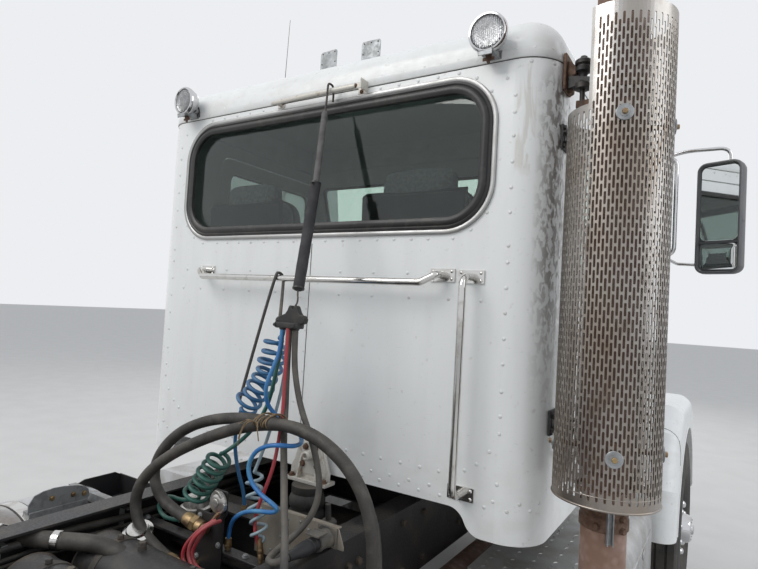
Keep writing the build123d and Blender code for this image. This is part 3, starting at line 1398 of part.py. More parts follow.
# Hose plate behind the cab: upright stowage plate with socket and plug, crossbar with the
# fittings' bracket, couplers, and the bulkhead for the hydraulic hoses
PLATE_Y = CAB_REAR_Y + 310.0
PLATE_THICK = 5.0
BAR_Y = -107.5
BAR_W = 45.0
BAR_LOW_Z = 930.0
BAR_T = 10.0
BRACKET_FACE_Y = -79.0
BRACKET_PLATE_T = 6.0
BULKHEAD_Z = 940.0
BULKHEAD_T = 8.0
COUPLER_R = 24.0
COUPLER_LEN = 90.0
plug_x, plug_y, plug_z = CABLE_PLUGGED[-1]
rail_out = RAIL_OUT_W / 2
with BuildPart() as hose_plate:
    with BuildSketch(Plane.XZ.offset(-PLATE_Y - PLATE_THICK)):
        with BuildLine():
            Polyline(
                (-110, 925),
                (-110, 1084),
                (-451, 1084),
                (-471, 1030),
                (-471, RAIL_TOP_Z),
                (RAIL_FLANGE - rail_out + 6, RAIL_TOP_Z),
                (RAIL_FLANGE - rail_out + 6, 925),
                close=True,
            )
        make_face()
    extrude(amount=PLATE_THICK)
    with BuildSketch(Plane.XY.offset(RAIL_TOP_Z)):
        with Locations((RAIL_FLANGE / 2 - rail_out, PLATE_Y - 18)):
            Rectangle(RAIL_FLANGE, 40)
    extrude(amount=6)
    with BuildSketch(Plane.XZ.offset(-PLATE_Y - PLATE_THICK - 6)):
        with Locations((plug_x, plug_z + 4)):
            Rectangle(72, 60)
    extrude(amount=6)
    for radius, front_y, rear_y in ((27, PLATE_Y + 5, -125), (22, -130, plug_y - 20), (13, plug_y - 22, plug_y)):
        with BuildSketch(Plane.XZ.offset(-rear_y)):
            with Locations((plug_x, plug_z)):
                Circle(radius)
        extrude(amount=rear_y - front_y)
    with BuildSketch(Plane.YZ.offset(-rail_in)):
        with Locations((BAR_Y, BAR_LOW_Z + BAR_T / 2)):
            Rectangle(BAR_W, BAR_T)
    extrude(amount=2 * rail_in)
    with BuildSketch(Plane.XZ.offset(-BRACKET_FACE_Y)):
        with BuildLine():
            Polyline(
                (-70, 845),
                (-70, 1050),
                (-82, 1062),
                (-82, 1135),
                (-22, 1135),
                (-22, 1062),
                (-8, 1050),
                (62, 1050),
                (62, 845),
                close=True,
            )
        make_face()
    extrude(amount=BRACKET_PLATE_T)
    with BuildSketch(Plane.XZ.offset(-BRACKET_FACE_Y - 26)):
        with Locations((-52, 1100)):
            Circle(36)
    extrude(amount=26)
    with BuildSketch(start_plane(RED_LINE)):
        Circle(8)
    extrude(amount=26)
    for route in (HOSE_FRONT, HOSE_BACK):
        with BuildSketch(end_plane(route)):
            Circle(COUPLER_R)
        extrude(amount=COUPLER_LEN)
        with BuildSketch(start_plane(route)):
            Circle(HOSE_R + 2)
        extrude(amount=34)
        with BuildSketch(Plane.XY.offset(BULKHEAD_Z + BULKHEAD_T)):
            with Locations((route[0][0], route[0][1])):
                RegularPolygon(27, 6)
        extrude(amount=22)
    with BuildSketch(Plane.XZ.offset(34)):
        with Locations((40, 876)):
            Circle(12)
    extrude(amount=-BRACKET_FACE_Y - 34)
    for route, radius, length in ((GREEN_TAIL, 17, 65), (BLUE_HOSE, 12, 28), (GREY_COIL, 10, 62)):
        with BuildSketch(end_plane(route)):
            Circle(radius)
        extrude(amount=length)
    with BuildSketch(Plane.XY.offset(BULKHEAD_Z)):
        with Locations((-(rail_out + 140), -124)):
            Rectangle(280, 190)
    extrude(amount=BULKHEAD_T)
    with BuildSketch(Plane.YZ.offset(-rail_out - 8)):
        with Locations((-124, BULKHEAD_Z - 35)):
            Rectangle(190, 86)
    extrude(amount=8)
    with BuildSketch(end_plane(CABLE_LONG)):
        Circle(16)
    extrude(amount=36)
    with BuildSketch(Plane.XY.offset(CABLE_LONG[-1][2] - 34)):
        with Locations((-rail_out - 13, CABLE_LONG[-1][1])):
            Rectangle(26, 24)
    extrude(amount=22)
    with BuildSketch(end_plane(BLUE_TAIL)):
        Circle(11)
    extrude(amount=BLUE_TAIL[-1][2] - RAIL_TOP_Z + 40)
keep(hose_plate, "hose_plate")

# Quarter fenders over the front of the first drive wheels
QUARTER_R = TYRE_R + 65.0
with BuildPart() as quarter_fenders:
    with BuildSketch(Plane.YZ.offset(600)):
        with Locations((DRIVE_AXLE_YS[0], AXLE_Z)):
            Circle(QUARTER_R + 4)
            Circle(QUARTER_R, mode=Mode.SUBTRACT)
        with Locations((DRIVE_AXLE_YS[0] + 400, AXLE_Z)):
            Rectangle(800 + 400, 1400, mode=Mode.SUBTRACT)
        with Locations((DRIVE_AXLE_YS[0], AXLE_Z - 400)):
            Rectangle(1400, 800, mode=Mode.SUBTRACT)
    extrude(amount=640)
    mirror(about=Plane.YZ)
keep(quarter_fenders, "quarter_fenders")

# Mud flaps behind the last drive wheels, with their hangers
FLAP_Y = FRAME_END_Y - 130
with BuildPart() as mud_flaps:
    for side in SIDES:
        with BuildSketch(Plane.XZ.offset(-FLAP_Y)):
            with Locations((side * 920, 610)):
                Rectangle(600, 720)
        extrude(amount=10)
        with BuildSketch(Plane.YZ.offset(side * RAIL_OUT_W / 2)):
            with Locations((FLAP_Y + 15, 955)):
                Rectangle(30, 30)
        extrude(amount=side * 780)
keep(mud_flaps, "mud_flaps")

# Air tanks between the rails behind the cab
with BuildPart() as air_tanks:
    with BuildSketch(Plane.YZ.offset(-300)):
        with Locations((120, 880), (340, 880)):
            Circle(100)
    extrude(amount=600)
    fillet(air_tanks.edges().filter_by(GeomType.CIRCLE), 40)
    with BuildSketch(end_plane(RED_LINE)):
        Circle(11)
    extrude(amount=40)
keep(air_tanks, "air_tanks")

# Fifth wheel base on the rails
EAR_IN_X = RAIL_OUT_W / 2 - 37
with BuildPart() as fifth_wheel_base:
    for side in SIDES:
        with BuildSketch(Plane.XY.offset(RAIL_TOP_Z)):
            with Locations((side * (EAR_IN_X + 5), FIFTH_Y)):
                Rectangle(70, 800)
        extrude(amount=14)
        with BuildSketch(Plane.YZ.offset(side * EAR_IN_X)):
            with BuildLine():
                Polyline(
                    (FIFTH_Y - 160, RAIL_TOP_Z + 10),
                    (FIFTH_Y - 50, FIFTH_PIVOT_Z + 20),
                    (FIFTH_Y - 30, FIFTH_PIVOT_Z + 30),
                    (FIFTH_Y + 30, FIFTH_PIVOT_Z + 30),
                    (FIFTH_Y + 50, FIFTH_PIVOT_Z + 20),
                    (FIFTH_Y + 160, RAIL_TOP_Z + 10),
                    close=True,
                )
            make_face()
        extrude(amount=side * 35)
        with BuildSketch(Plane.YZ.offset(side * (EAR_IN_X + 10))):
            with Locations((FIFTH_Y, FIFTH_PIVOT_Z)):
                Circle(FIFTH_PIN_R)
        extrude(amount=-side * 65)
keep(fifth_wheel_base, "fifth_wheel_base")

# Fifth wheel plate: top plate with the throat, and two pivot lugs
THROAT_R = 45.0
PLATE_T = 40.0
with BuildPart() as fifth_wheel_plate:
    with BuildSketch(Plane.XY.offset(FIFTH_TOP_Z - PLATE_T)):
        with BuildLine():
            Polyline(
                (-330, FIFTH_Y - 400),
                (330, FIFTH_Y - 400),
                (455, FIFTH_Y - 240),
                (455, FIFTH_Y + 60),
                (380, FIFTH_Y + 400),
                (170, FIFTH_Y + 400),
                (60, FIFTH_Y + 120),
                (-60, FIFTH_Y + 120),
                (-170, FIFTH_Y + 400),
                (-380, FIFTH_Y + 400),
                (-455, FIFTH_Y + 60),
                (-455, FIFTH_Y - 240),
                close=True,
            )
        make_face()
        with Locations((0, FIFTH_Y + 100)):
            Rectangle(2 * THROAT_R * 0.6, 200, mode=Mode.SUBTRACT)
        with Locations((0, FIFTH_Y)):
            Circle(THROAT_R * 0.6, mode=Mode.SUBTRACT)
    extrude(amount=PLATE_T)
    for side in SIDES:
        with BuildSketch(Plane.YZ.offset(side * (EAR_IN_X - 5))):
            with BuildLine():
                Polyline(
                    (FIFTH_Y - 120, FIFTH_TOP_Z - PLATE_T),
                    (FIFTH_Y + 120, FIFTH_TOP_Z - PLATE_T),
                    (FIFTH_Y + 45, FIFTH_PIVOT_Z - 38),
                    (FIFTH_Y - 45, FIFTH_PIVOT_Z - 38),
                    close=True,
                )
            make_face()
            with Locations((FIFTH_Y, FIFTH_PIVOT_Z)):
                Circle(FIFTH_PIN_R + BEARING_GAP, mode=Mode.SUBTRACT)
        extrude(amount=-side * 45)
keep(fifth_wheel_plate, "fifth_wheel_plate")
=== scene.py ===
"""Looks of the day cab road tractor: materials, cords, fine detail, camera and light.

Everything is in metres in the frame of the model: front toward -Y, left +X, ground Z = 0.
"""
import random
from math import acos, copysign, cos, exp, pi, radians, sin, sqrt

import bmesh
import bpy
from mathutils import Matrix, Vector
from mathutils.bvhtree import BVHTree


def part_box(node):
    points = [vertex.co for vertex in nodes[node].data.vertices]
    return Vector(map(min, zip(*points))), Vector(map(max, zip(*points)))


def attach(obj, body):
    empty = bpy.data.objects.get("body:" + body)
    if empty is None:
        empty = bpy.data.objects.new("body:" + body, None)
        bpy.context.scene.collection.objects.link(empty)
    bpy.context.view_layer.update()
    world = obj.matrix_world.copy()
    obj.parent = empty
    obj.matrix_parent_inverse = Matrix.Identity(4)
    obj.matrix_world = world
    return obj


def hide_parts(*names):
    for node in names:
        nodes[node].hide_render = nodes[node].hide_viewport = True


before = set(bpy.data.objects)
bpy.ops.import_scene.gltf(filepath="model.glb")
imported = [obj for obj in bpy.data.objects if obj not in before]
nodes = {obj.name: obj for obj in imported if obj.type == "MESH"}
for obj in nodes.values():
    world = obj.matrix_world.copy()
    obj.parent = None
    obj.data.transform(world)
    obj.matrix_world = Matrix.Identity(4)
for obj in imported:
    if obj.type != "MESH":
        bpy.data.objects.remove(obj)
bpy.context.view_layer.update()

scene = bpy.context.scene
rng = random.Random(11)
TURN = 2 * pi
LEFT, RIGHT, BACK, FRONT, UP, DOWN = (1, 0, 0), (-1, 0, 0), (0, 1, 0), (0, -1, 0), (0, 0, 1), (0, 0, -1)
SIDES = ((-1, "right"), (1, "left"))


# Node materials
class Shade:
    """A principled material with short helpers for its node tree."""

    def __init__(self, name, base, rough, metal=0.0):
        self.mat = bpy.data.materials.new(name)
        self.mat.use_nodes = True
        self.tree = self.mat.node_tree
        self.bsdf = self.tree.nodes["Principled BSDF"]
        self.base = (*base, 1.0)
        self.set("Base Color", self.base)
        self.set("Roughness", rough)
        self.set("Metallic", metal)
        self.coord = self.node("ShaderNodeTexCoord").outputs["Object"]

    def node(self, kind, **values):
        made = self.tree.nodes.new(kind)
        for key, value in values.items():
            setattr(made, key, value)
        return made

    def set(self, socket, value):
        self.bsdf.inputs[socket].default_value = value

    def link(self, source, target):
        self.tree.links.new(source, target)

    def to(self, source, socket):
        self.link(source, self.bsdf.inputs[socket])

    def texture(self, kind, stretch, **values):
        """Texture node over the model's own coordinates."""
        mapping = self.node("ShaderNodeMapping")
        mapping.inputs["Scale"].default_value = stretch
        self.link(self.coord, mapping.inputs["Vector"])
        made = self.node(kind)
        for name, value in values.items():
            made.inputs[name].default_value = value
        self.link(mapping.outputs["Vector"], made.inputs["Vector"])
        return made.outputs

    def noise(self, scale, detail=4.0, stretch=(1, 1, 1), distortion=0.0):
        return self.texture("ShaderNodeTexNoise", stretch, Scale=scale, Detail=detail,
            Distortion=distortion)["Fac"]

    def cells(self, scale, stretch=(1, 1, 1)):
        return self.texture("ShaderNodeTexVoronoi", stretch, Scale=scale)["Distance"]

    def span(self, source, low, high, out_low=0.0, out_high=1.0):
        made = self.node("ShaderNodeMapRange")
        self.link(source, made.inputs["Value"])
        for key, value in (("From Min", low), ("From Max", high), ("To Min", out_low), ("To Max", out_high)):
            made.inputs[key].default_value = value
        return made.outputs["Result"]

    def math(self, operation, a, b):
        made = self.node("ShaderNodeMath", operation=operation)
        for socket, value in zip(made.inputs, (a, b)):
            if isinstance(value, (int, float)):
                socket.default_value = value
            else:
                self.link(value, socket)
        return made.outputs[0]

    def blend(self, amount, a, b):
        made = self.node("ShaderNodeMix", data_type="RGBA")
        for index, value in ((0, amount), (6, a), (7, b)):
            if isinstance(value, (int, float)):
                made.inputs[index].default_value = value
            elif isinstance(value, tuple):
                made.inputs[index].default_value = value if len(value) == 4 else (*value, 1.0)
            else:
                self.link(value, made.inputs[index])
        return made.outputs[2]

    def up(self, low=0.35, high=0.95):
        parts = self.node("ShaderNodeSeparateXYZ")
        self.link(self.node("ShaderNodeNewGeometry").outputs["Normal"], parts.inputs[0])
        return self.span(parts.outputs["Z"], low, high)

    def axis(self, name):
        parts = self.node("ShaderNodeSeparateXYZ")
        self.link(self.coord, parts.inputs[0])
        return parts.outputs[name]

    def bump(self, height, strength, distance=0.001):
        made = self.node("ShaderNodeBump")
        made.inputs["Strength"].default_value = strength
        made.inputs["Distance"].default_value = distance
        self.link(height, made.inputs["Height"])
        self.to(made.outputs["Normal"], "Normal")


def weathered(name, base, rough, metal, second, patch, cover, dust, grain, bump, depth=0.0006, spread=0.12,
        dust_color=(0.3, 0.25, 0.19)):
    """Material with patches of a second colour, dust on what faces up, and a fine grain."""
    s = Shade(name, base, rough, metal)
    color = s.base
    patches = s.span(s.noise(patch, 6.0, distortion=0.4), *cover)
    if second:
        color = s.blend(patches, color, second)
    fine = s.noise(grain, 3.0)
    if dust:
        fall = s.math("MULTIPLY", s.up(), s.span(s.noise(9.0, 5.0), 0.3, 0.7))
        thin = s.math("MULTIPLY", s.span(s.noise(3.0, 6.0), 0.35, 0.75), 0.35)
        amount = s.math("MULTIPLY", s.math("MAXIMUM", fall, thin), dust)
        color = s.blend(amount, color, dust_color)
        rougher = s.math("ADD", s.span(fine, 0.3, 0.7, rough - spread, rough + spread),
            s.math("MULTIPLY", amount, 0.4))
        s.to(s.math("MINIMUM", rougher, 1.0), "Roughness")
    else:
        s.to(s.span(s.math("ADD", s.math("MULTIPLY", fine, 0.5), s.math("MULTIPLY", patches, 0.5)), 0.2,
            0.8, max(rough - spread, 0.02), rough + spread), "Roughness")
    if color is not s.base:
        s.to(color, "Base Color")
    s.bump(fine, bump, depth)
    return s.mat


def paint_material():
    """White cab paint: faint streaks, grime near the foot, fine scratches and a soft ripple."""
    s = Shade("paint_white", (0.8, 0.81, 0.8), 0.32)
    streaks = s.span(s.noise(5.0, 6.0, (3.0, 3.0, 0.5)), 0.5, 0.8)
    color = s.blend(s.math("MULTIPLY", streaks, 0.35), s.base, (0.66, 0.66, 0.64))
    spots = s.span(s.noise(40.0, 3.0), 0.66, 0.74)
    color = s.blend(s.math("MULTIPLY", spots, 0.35), color, (0.5, 0.47, 0.42))
    height = s.axis("Z")
    low = s.span(height, 1.42, 1.05)
    high = s.math("MULTIPLY", s.span(height, 2.56, 2.64), s.span(height, 2.74, 2.65))
    dirt = s.math("MULTIPLY", s.math("ADD", s.math("MULTIPLY", low, 0.16), s.math("MULTIPLY", high, 0.22)),
        s.span(s.noise(12.0, 8.0, (1, 1, 1.5), 0.5), 0.42, 0.7))
    color = s.blend(dirt, color, (0.38, 0.33, 0.27))
    scratch = s.span(s.noise(22.0, 2.0, (1.0, 1.0, 16.0), 0.8), 0.735, 0.76)
    color = s.blend(s.math("MULTIPLY", scratch, 0.5), color, (0.45, 0.45, 0.45))
    # soot on the corner beside the stack, and the flaked strip of old glue next to it
    corner = s.math("MULTIPLY", s.span(s.axis("X"), -0.89, -0.94), s.span(s.axis("Y"), -0.74, -0.62))
    corner = s.math("MULTIPLY", corner, s.math("MULTIPLY", s.span(height, 1.45, 1.95),
        s.span(height, 2.57, 2.49)))
    soot = s.math("MULTIPLY", corner, s.span(s.noise(55.0, 9.0, (1, 1, 0.55), 0.4), 0.47, 0.56))
    color = s.blend(s.math("MULTIPLY", soot, 0.8), color, (0.13, 0.1, 0.08))
    strip = s.math("MULTIPLY", s.span(s.axis("X"), -0.828, -0.834), s.span(s.axis("X"), -0.892, -0.886))
    strip = s.math("MULTIPLY", strip, s.math("MULTIPLY", s.span(height, 2.2, 2.24),
        s.span(height, 2.575, 2.565)))
    strip = s.math("MULTIPLY", strip, s.span(s.axis("Y"), -0.56, -0.53))
    flaked = s.math("MULTIPLY", strip, s.span(s.noise(24.0, 9.0, (1, 1, 0.22), 0.9), 0.47, 0.56))
    color = s.blend(s.math("MULTIPLY", flaked, 0.55), color, (0.56, 0.53, 0.47))
    s.to(color, "Base Color")
    s.to(s.span(s.math("ADD", s.noise(60.0, 4.0), dirt), 0.3, 1.3, 0.26, 0.6), "Roughness")
    s.set("Coat Weight", 0.25)
    s.set("Coat Roughness", 0.12)
    s.bump(s.noise(3.2, 2.0), 0.35, 0.004)
    return s.mat


def shield_material():
    """Stainless sheet, brushed round the stack, browned by heat in soft clouds."""
    s = Shade("shield_steel", (0.43, 0.417, 0.4), 0.36, 1.0)
    cloud = s.span(s.noise(4.5, 7.0, (1, 1, 0.45), 0.6), 0.36, 0.68)
    color = s.blend(cloud, s.base, (0.31, 0.27, 0.23))
    stain = s.span(s.noise(17.0, 6.0, (1, 1, 0.6)), 0.55, 0.75)
    color = s.blend(s.math("MULTIPLY", stain, 0.6), color, (0.17, 0.125, 0.09))
    hot = s.span(s.axis("Z"), 2.35, 1.25)
    color = s.blend(s.math("MULTIPLY", hot, 0.35), color, (0.27, 0.21, 0.165))
    s.to(color, "Base Color")
    brush = s.noise(60.0, 3.0, (1, 1, 22.0))
    s.to(s.span(s.math("ADD", brush, s.math("MULTIPLY", cloud, 0.7)), 0.3, 1.5, 0.24, 0.55), "Roughness")
    s.bump(brush, 0.12, 0.0003)
    return s.mat


def pipe_material():
    """Old exhaust tube: flaking rust over grey and pink scale, and painted shade where the heat shield
    surrounds it.
    """
    s = Shade("pipe_rust", (0.3, 0.2, 0.155), 0.7, 0.35)
    scale = s.span(s.noise(9.0, 8.0, (1, 1, 0.7), 0.5), 0.42, 0.62)
    color = s.blend(scale, s.base, (0.44, 0.33, 0.29))
    flake = s.span(s.cells(34.0), 0.12, 0.5)
    color = s.blend(s.math("MULTIPLY", flake, 0.5), color, (0.19, 0.1, 0.065))
    # painted shade: the tube is darkened from about 1.22 m to 2.75 m, and fully between 1.4 m and 2.6 m,
    # where the heat shield closes round it
    painted_shade_inside_shield = s.math("MULTIPLY", s.span(s.axis("Z"), 1.22, 1.4), s.span(s.axis("Z"), 2.75, 2.6))
    color = s.blend(s.math("MULTIPLY", painted_shade_inside_shield, 0.7), color, (0.085, 0.055, 0.042))
    s.to(color, "Base Color")
    s.to(s.span(scale, 0.0, 1.0, 0.8, 0.55), "Roughness")
    s.bump(s.noise(70.0, 6.0), 0.5, 0.0015)
    return s.mat


def glass_material(name, tint, rough=0.0):
    """Tinted pane with a little dust."""
    s = Shade(name, tint, rough)
    s.set("Transmission Weight", 1.0)
    s.set("IOR", 1.5)
    dust = s.span(s.noise(14.0, 7.0, (1, 1, 0.6)), 0.5, 0.85)
    s.to(s.span(dust, 0.0, 1.0, rough, rough + 0.09), "Roughness")
    s.to(s.blend(s.math("MULTIPLY", dust, 0.25), s.base, (0.55, 0.56, 0.54)), "Base Color")
    return s.mat


def lens_material():
    """Clear fluted lamp glass."""
    s = Shade("lamp_lens", (0.56, 0.57, 0.575), 0.2)
    s.set("Transmission Weight", 0.8)
    s.set("IOR", 1.45)
    wave = s.node("ShaderNodeTexWave")
    wave.inputs["Scale"].default_value = 45.0
    wave.inputs["Distortion"].default_value = 0.3
    s.link(s.coord, wave.inputs["Vector"])
    s.bump(wave.outputs["Fac"], 0.6, 0.0012)
    return s.mat


MATERIALS = {
    "paint": paint_material(),
    "shield": shield_material(),
    "pipe": pipe_material(),
    "window": glass_material("window_glass", (0.4, 0.47, 0.44)),
    "mirror_glass": Shade("mirror_glass", (0.86, 0.88, 0.88), 0.03, 1.0).mat,
    "lens": lens_material(),
    "reflector": weathered("reflector", (0.3, 0.295, 0.285), 0.45, 1.0, (0.2, 0.185, 0.17), 40.0,
        (0.4, 0.7), 0.0, 160.0, 0.3),
    "chrome": weathered("chrome", (0.64, 0.64, 0.65), 0.14, 1.0, (0.54, 0.525, 0.5), 14.0, (0.5, 0.8), 0.0,
        90.0, 0.04, spread=0.07),
    "polished": weathered("polished_steel", (0.66, 0.65, 0.63), 0.22, 1.0, (0.45, 0.42, 0.38), 22.0,
        (0.5, 0.75), 0.0, 120.0, 0.08, spread=0.1),
    "aluminium": weathered("aluminium", (0.6, 0.61, 0.62), 0.36, 1.0, (0.4, 0.39, 0.38), 7.0, (0.42, 0.7),
        0.35, 140.0, 0.15),
    "tank": weathered("tank_aluminium", (0.62, 0.63, 0.64), 0.4, 1.0, (0.3, 0.29, 0.29), 4.5, (0.42, 0.62),
        0.5, 60.0, 0.3, spread=0.14),
    "galvanised": weathered("galvanised", (0.36, 0.375, 0.385), 0.52, 0.6, (0.25, 0.26, 0.265), 26.0,
        (0.45, 0.6), 0.3, 90.0, 0.1),
    "black": weathered("chassis_black", (0.016, 0.016, 0.018), 0.42, 0.0, (0.046, 0.038, 0.031), 9.0,
        (0.5, 0.72), 0.22, 160.0, 0.3, dust_color=(0.15, 0.13, 0.105)),
    "cast": weathered("cast_dark", (0.04, 0.037, 0.034), 0.62, 0.25, (0.085, 0.062, 0.045), 13.0,
        (0.45, 0.66), 0.4, 130.0, 0.6, depth=0.001),
    "rubber": weathered("rubber", (0.022, 0.022, 0.022), 0.6, 0.0, (0.05, 0.048, 0.045), 18.0, (0.45, 0.7),
        0.35, 260.0, 0.2),
    "tyre": weathered("tyre_rubber", (0.028, 0.027, 0.026), 0.75, 0.0, (0.085, 0.075, 0.062), 7.0,
        (0.46, 0.72), 0.28, 150.0, 0.3),
    "trim": weathered("trim_black", (0.025, 0.025, 0.027), 0.5, 0.0, None, 5.0, (0.45, 0.65), 0.0, 420.0,
        0.3, depth=0.0004),
    "mirror_shell": weathered("mirror_shell", (0.072, 0.076, 0.082), 0.42, 0.0, (0.1, 0.1, 0.098), 9.0,
        (0.45, 0.75), 0.15, 420.0, 0.25, depth=0.0004),
    "dash": weathered("dash_grey", (0.11, 0.11, 0.115), 0.6, 0.0, None, 5.0, (0.45, 0.65), 0.0, 500.0, 0.4,
        depth=0.0004),
    "seat": weathered("seat_fabric", (0.3, 0.3, 0.315), 0.9, 0.0, (0.22, 0.22, 0.235), 90.0, (0.4, 0.6),
        0.0, 700.0, 0.6, depth=0.0008),
    "hose": weathered("hose_rubber", (0.026, 0.024, 0.022), 0.6, 0.0, (0.088, 0.078, 0.066), 15.0,
        (0.44, 0.72), 0.3, 220.0, 0.3, dust_color=(0.2, 0.18, 0.15)),
    "cable": weathered("cable_jacket", (0.058, 0.056, 0.053), 0.62, 0.0, (0.115, 0.105, 0.09), 16.0,
        (0.4, 0.68), 0.35, 260.0, 0.2),
    "green": weathered("coil_green", (0.012, 0.105, 0.083), 0.42, 0.0, (0.04, 0.16, 0.13), 14.0,
        (0.42, 0.7), 0.3, 240.0, 0.12),
    "green_line": weathered("line_grey_green", (0.075, 0.105, 0.095), 0.5, 0.0, (0.11, 0.12, 0.1), 14.0,
        (0.42, 0.7), 0.45, 240.0, 0.12),
    "navy": weathered("coil_blue_dark", (0.018, 0.115, 0.27), 0.4, 0.0, (0.04, 0.17, 0.33), 16.0,
        (0.42, 0.7), 0.3, 240.0, 0.12),
    "blue": weathered("hose_blue", (0.03, 0.175, 0.46), 0.38, 0.0, (0.09, 0.3, 0.52), 12.0, (0.45, 0.72),
        0.2, 240.0, 0.12),
    "red": weathered("line_red", (0.42, 0.035, 0.05), 0.42, 0.0, (0.3, 0.07, 0.07), 15.0, (0.42, 0.7), 0.3,
        240.0, 0.12),
    "pale": weathered("coil_grey_blue", (0.3, 0.39, 0.43), 0.45, 0.0, (0.2, 0.28, 0.33), 18.0, (0.42, 0.7),
        0.25, 240.0, 0.12),
    "twine": weathered("twine", (0.24, 0.17, 0.095), 0.9, 0.0, (0.13, 0.09, 0.05), 60.0, (0.4, 0.6), 0.0,
        500.0, 0.7, depth=0.0008),
    "foam": weathered("sleeve_foam", (0.02, 0.021, 0.025), 0.78, 0.0, (0.045, 0.045, 0.05), 20.0,
        (0.45, 0.7), 0.15, 320.0, 0.5),
    "sandy": weathered("dusty_plate", (0.36, 0.33, 0.28), 0.6, 0.4, (0.25, 0.215, 0.17), 11.0, (0.4, 0.65),
        0.5, 120.0, 0.3),
    "brass": weathered("brass_fitting", (0.42, 0.3, 0.15), 0.42, 0.9, (0.2, 0.13, 0.08), 24.0, (0.4, 0.65),
        0.35, 160.0, 0.3),
    "rivet": weathered("rivet_paint", (0.74, 0.75, 0.74), 0.3, 0.0, (0.52, 0.5, 0.46), 26.0, (0.52, 0.75),
        0.0, 160.0, 0.1),
    # dark sealant colour, also used for the painted shadow bead under the roof cap's lap
    "sealant_and_lap_shadow": weathered("sealant_and_lap_shadow_dark", (0.07, 0.068, 0.062), 0.7, 0.0, (0.16, 0.15, 0.13), 30.0,
        (0.45, 0.7), 0.0, 240.0, 0.3),
    "seal": weathered("window_rubber", (0.018, 0.018, 0.019), 0.42, 0.0, (0.045, 0.043, 0.04), 26.0,
        (0.5, 0.75), 0.18, 260.0, 0.12),
    "satin": weathered("trim_satin", (0.4, 0.4, 0.395), 0.44, 0.85, (0.36, 0.355, 0.34), 16.0, (0.45, 0.75),
        0.0, 140.0, 0.08, spread=0.09),
    "rusty": weathered("rusty_steel", (0.165, 0.1, 0.068), 0.68, 0.3, (0.08, 0.038, 0.022), 30.0,
        (0.4, 0.62), 0.3, 160.0, 0.6, depth=0.001),
    "enamel": weathered("enamel_cream", (0.6, 0.575, 0.52), 0.36, 0.15, (0.3, 0.21, 0.14), 28.0,
        (0.58, 0.74), 0.2, 120.0, 0.2),
    "sleeve_grey": weathered("sleeve_grey", (0.13, 0.125, 0.125), 0.8, 0.0, (0.075, 0.07, 0.068), 34.0,
        (0.4, 0.65), 0.2, 320.0, 0.5),
    "cast_black": weathered("casting_black", (0.017, 0.018, 0.02), 0.5, 0.1, (0.038, 0.034, 0.03), 30.0,
        (0.5, 0.7), 0.22, 220.0, 0.4),
    "grey_housing": weathered("socket_grey", (0.085, 0.088, 0.09), 0.55, 0.0, (0.17, 0.155, 0.13), 22.0,
        (0.45, 0.7), 0.6, 200.0, 0.25),
    "satin_cast": weathered("silver_casting", (0.56, 0.55, 0.53), 0.36, 0.9, (0.33, 0.31, 0.28), 40.0,
        (0.45, 0.68), 0.2, 150.0, 0.35),
    "amber": weathered("lens_amber", (0.72, 0.23, 0.02), 0.16, 0.0, None, 5.0, (0.45, 0.65), 0.0, 140.0,
        0.15),
    "red_lens": weathered("lens_red", (0.42, 0.012, 0.015), 0.16, 0.0, None, 5.0, (0.45, 0.65), 0.0, 140.0,
        0.15),
}
NODE_MATERIALS = {
    "paint": "cab_shell cab_roof door_panel_left door_panel_right hood_panel front_fenders",
    "black": "frame_rails rear_suspension air_tanks fifth_wheel_base",
    "cast": "front_axle drive_axles drive_shafts engine_block knuckle_left knuckle_right tie_rod "
            "fifth_wheel_plate",
    "aluminium": "side_boxes quarter_fenders rim_front_left rim_front_right rims_mid_left rims_mid_right "
                 "rims_rear_left rims_rear_right",
    "tank": "fuel_tanks",
    "chrome": "front_bumper grille mirror_left mirror_right work_lights",
    "polished": "grab_rails tender_bar",
    "trim": "radiator steering_wheel",
    "dash": "dashboard",
    "seat": "seats",
    "rubber": "mud_flaps window_seal",
    "window": "cab_glass door_glass_left door_glass_right",
    "pipe": "exhaust_pipe stack_bracket",
    "lens": "headlights",
    "tyre": "tyre_front_left tyre_front_right tyres_mid_left tyres_mid_right "
            "tyres_rear_left tyres_rear_right",
    "shield": "heat_shield",
    "sandy": "hose_plate",
}
for key, names in NODE_MATERIALS.items():
    for name in names.split():
        if name in nodes:
            for slot in nodes[name].material_slots:
                slot.material = MATERIALS[key]


# Mesh building
WELD = 2e-6


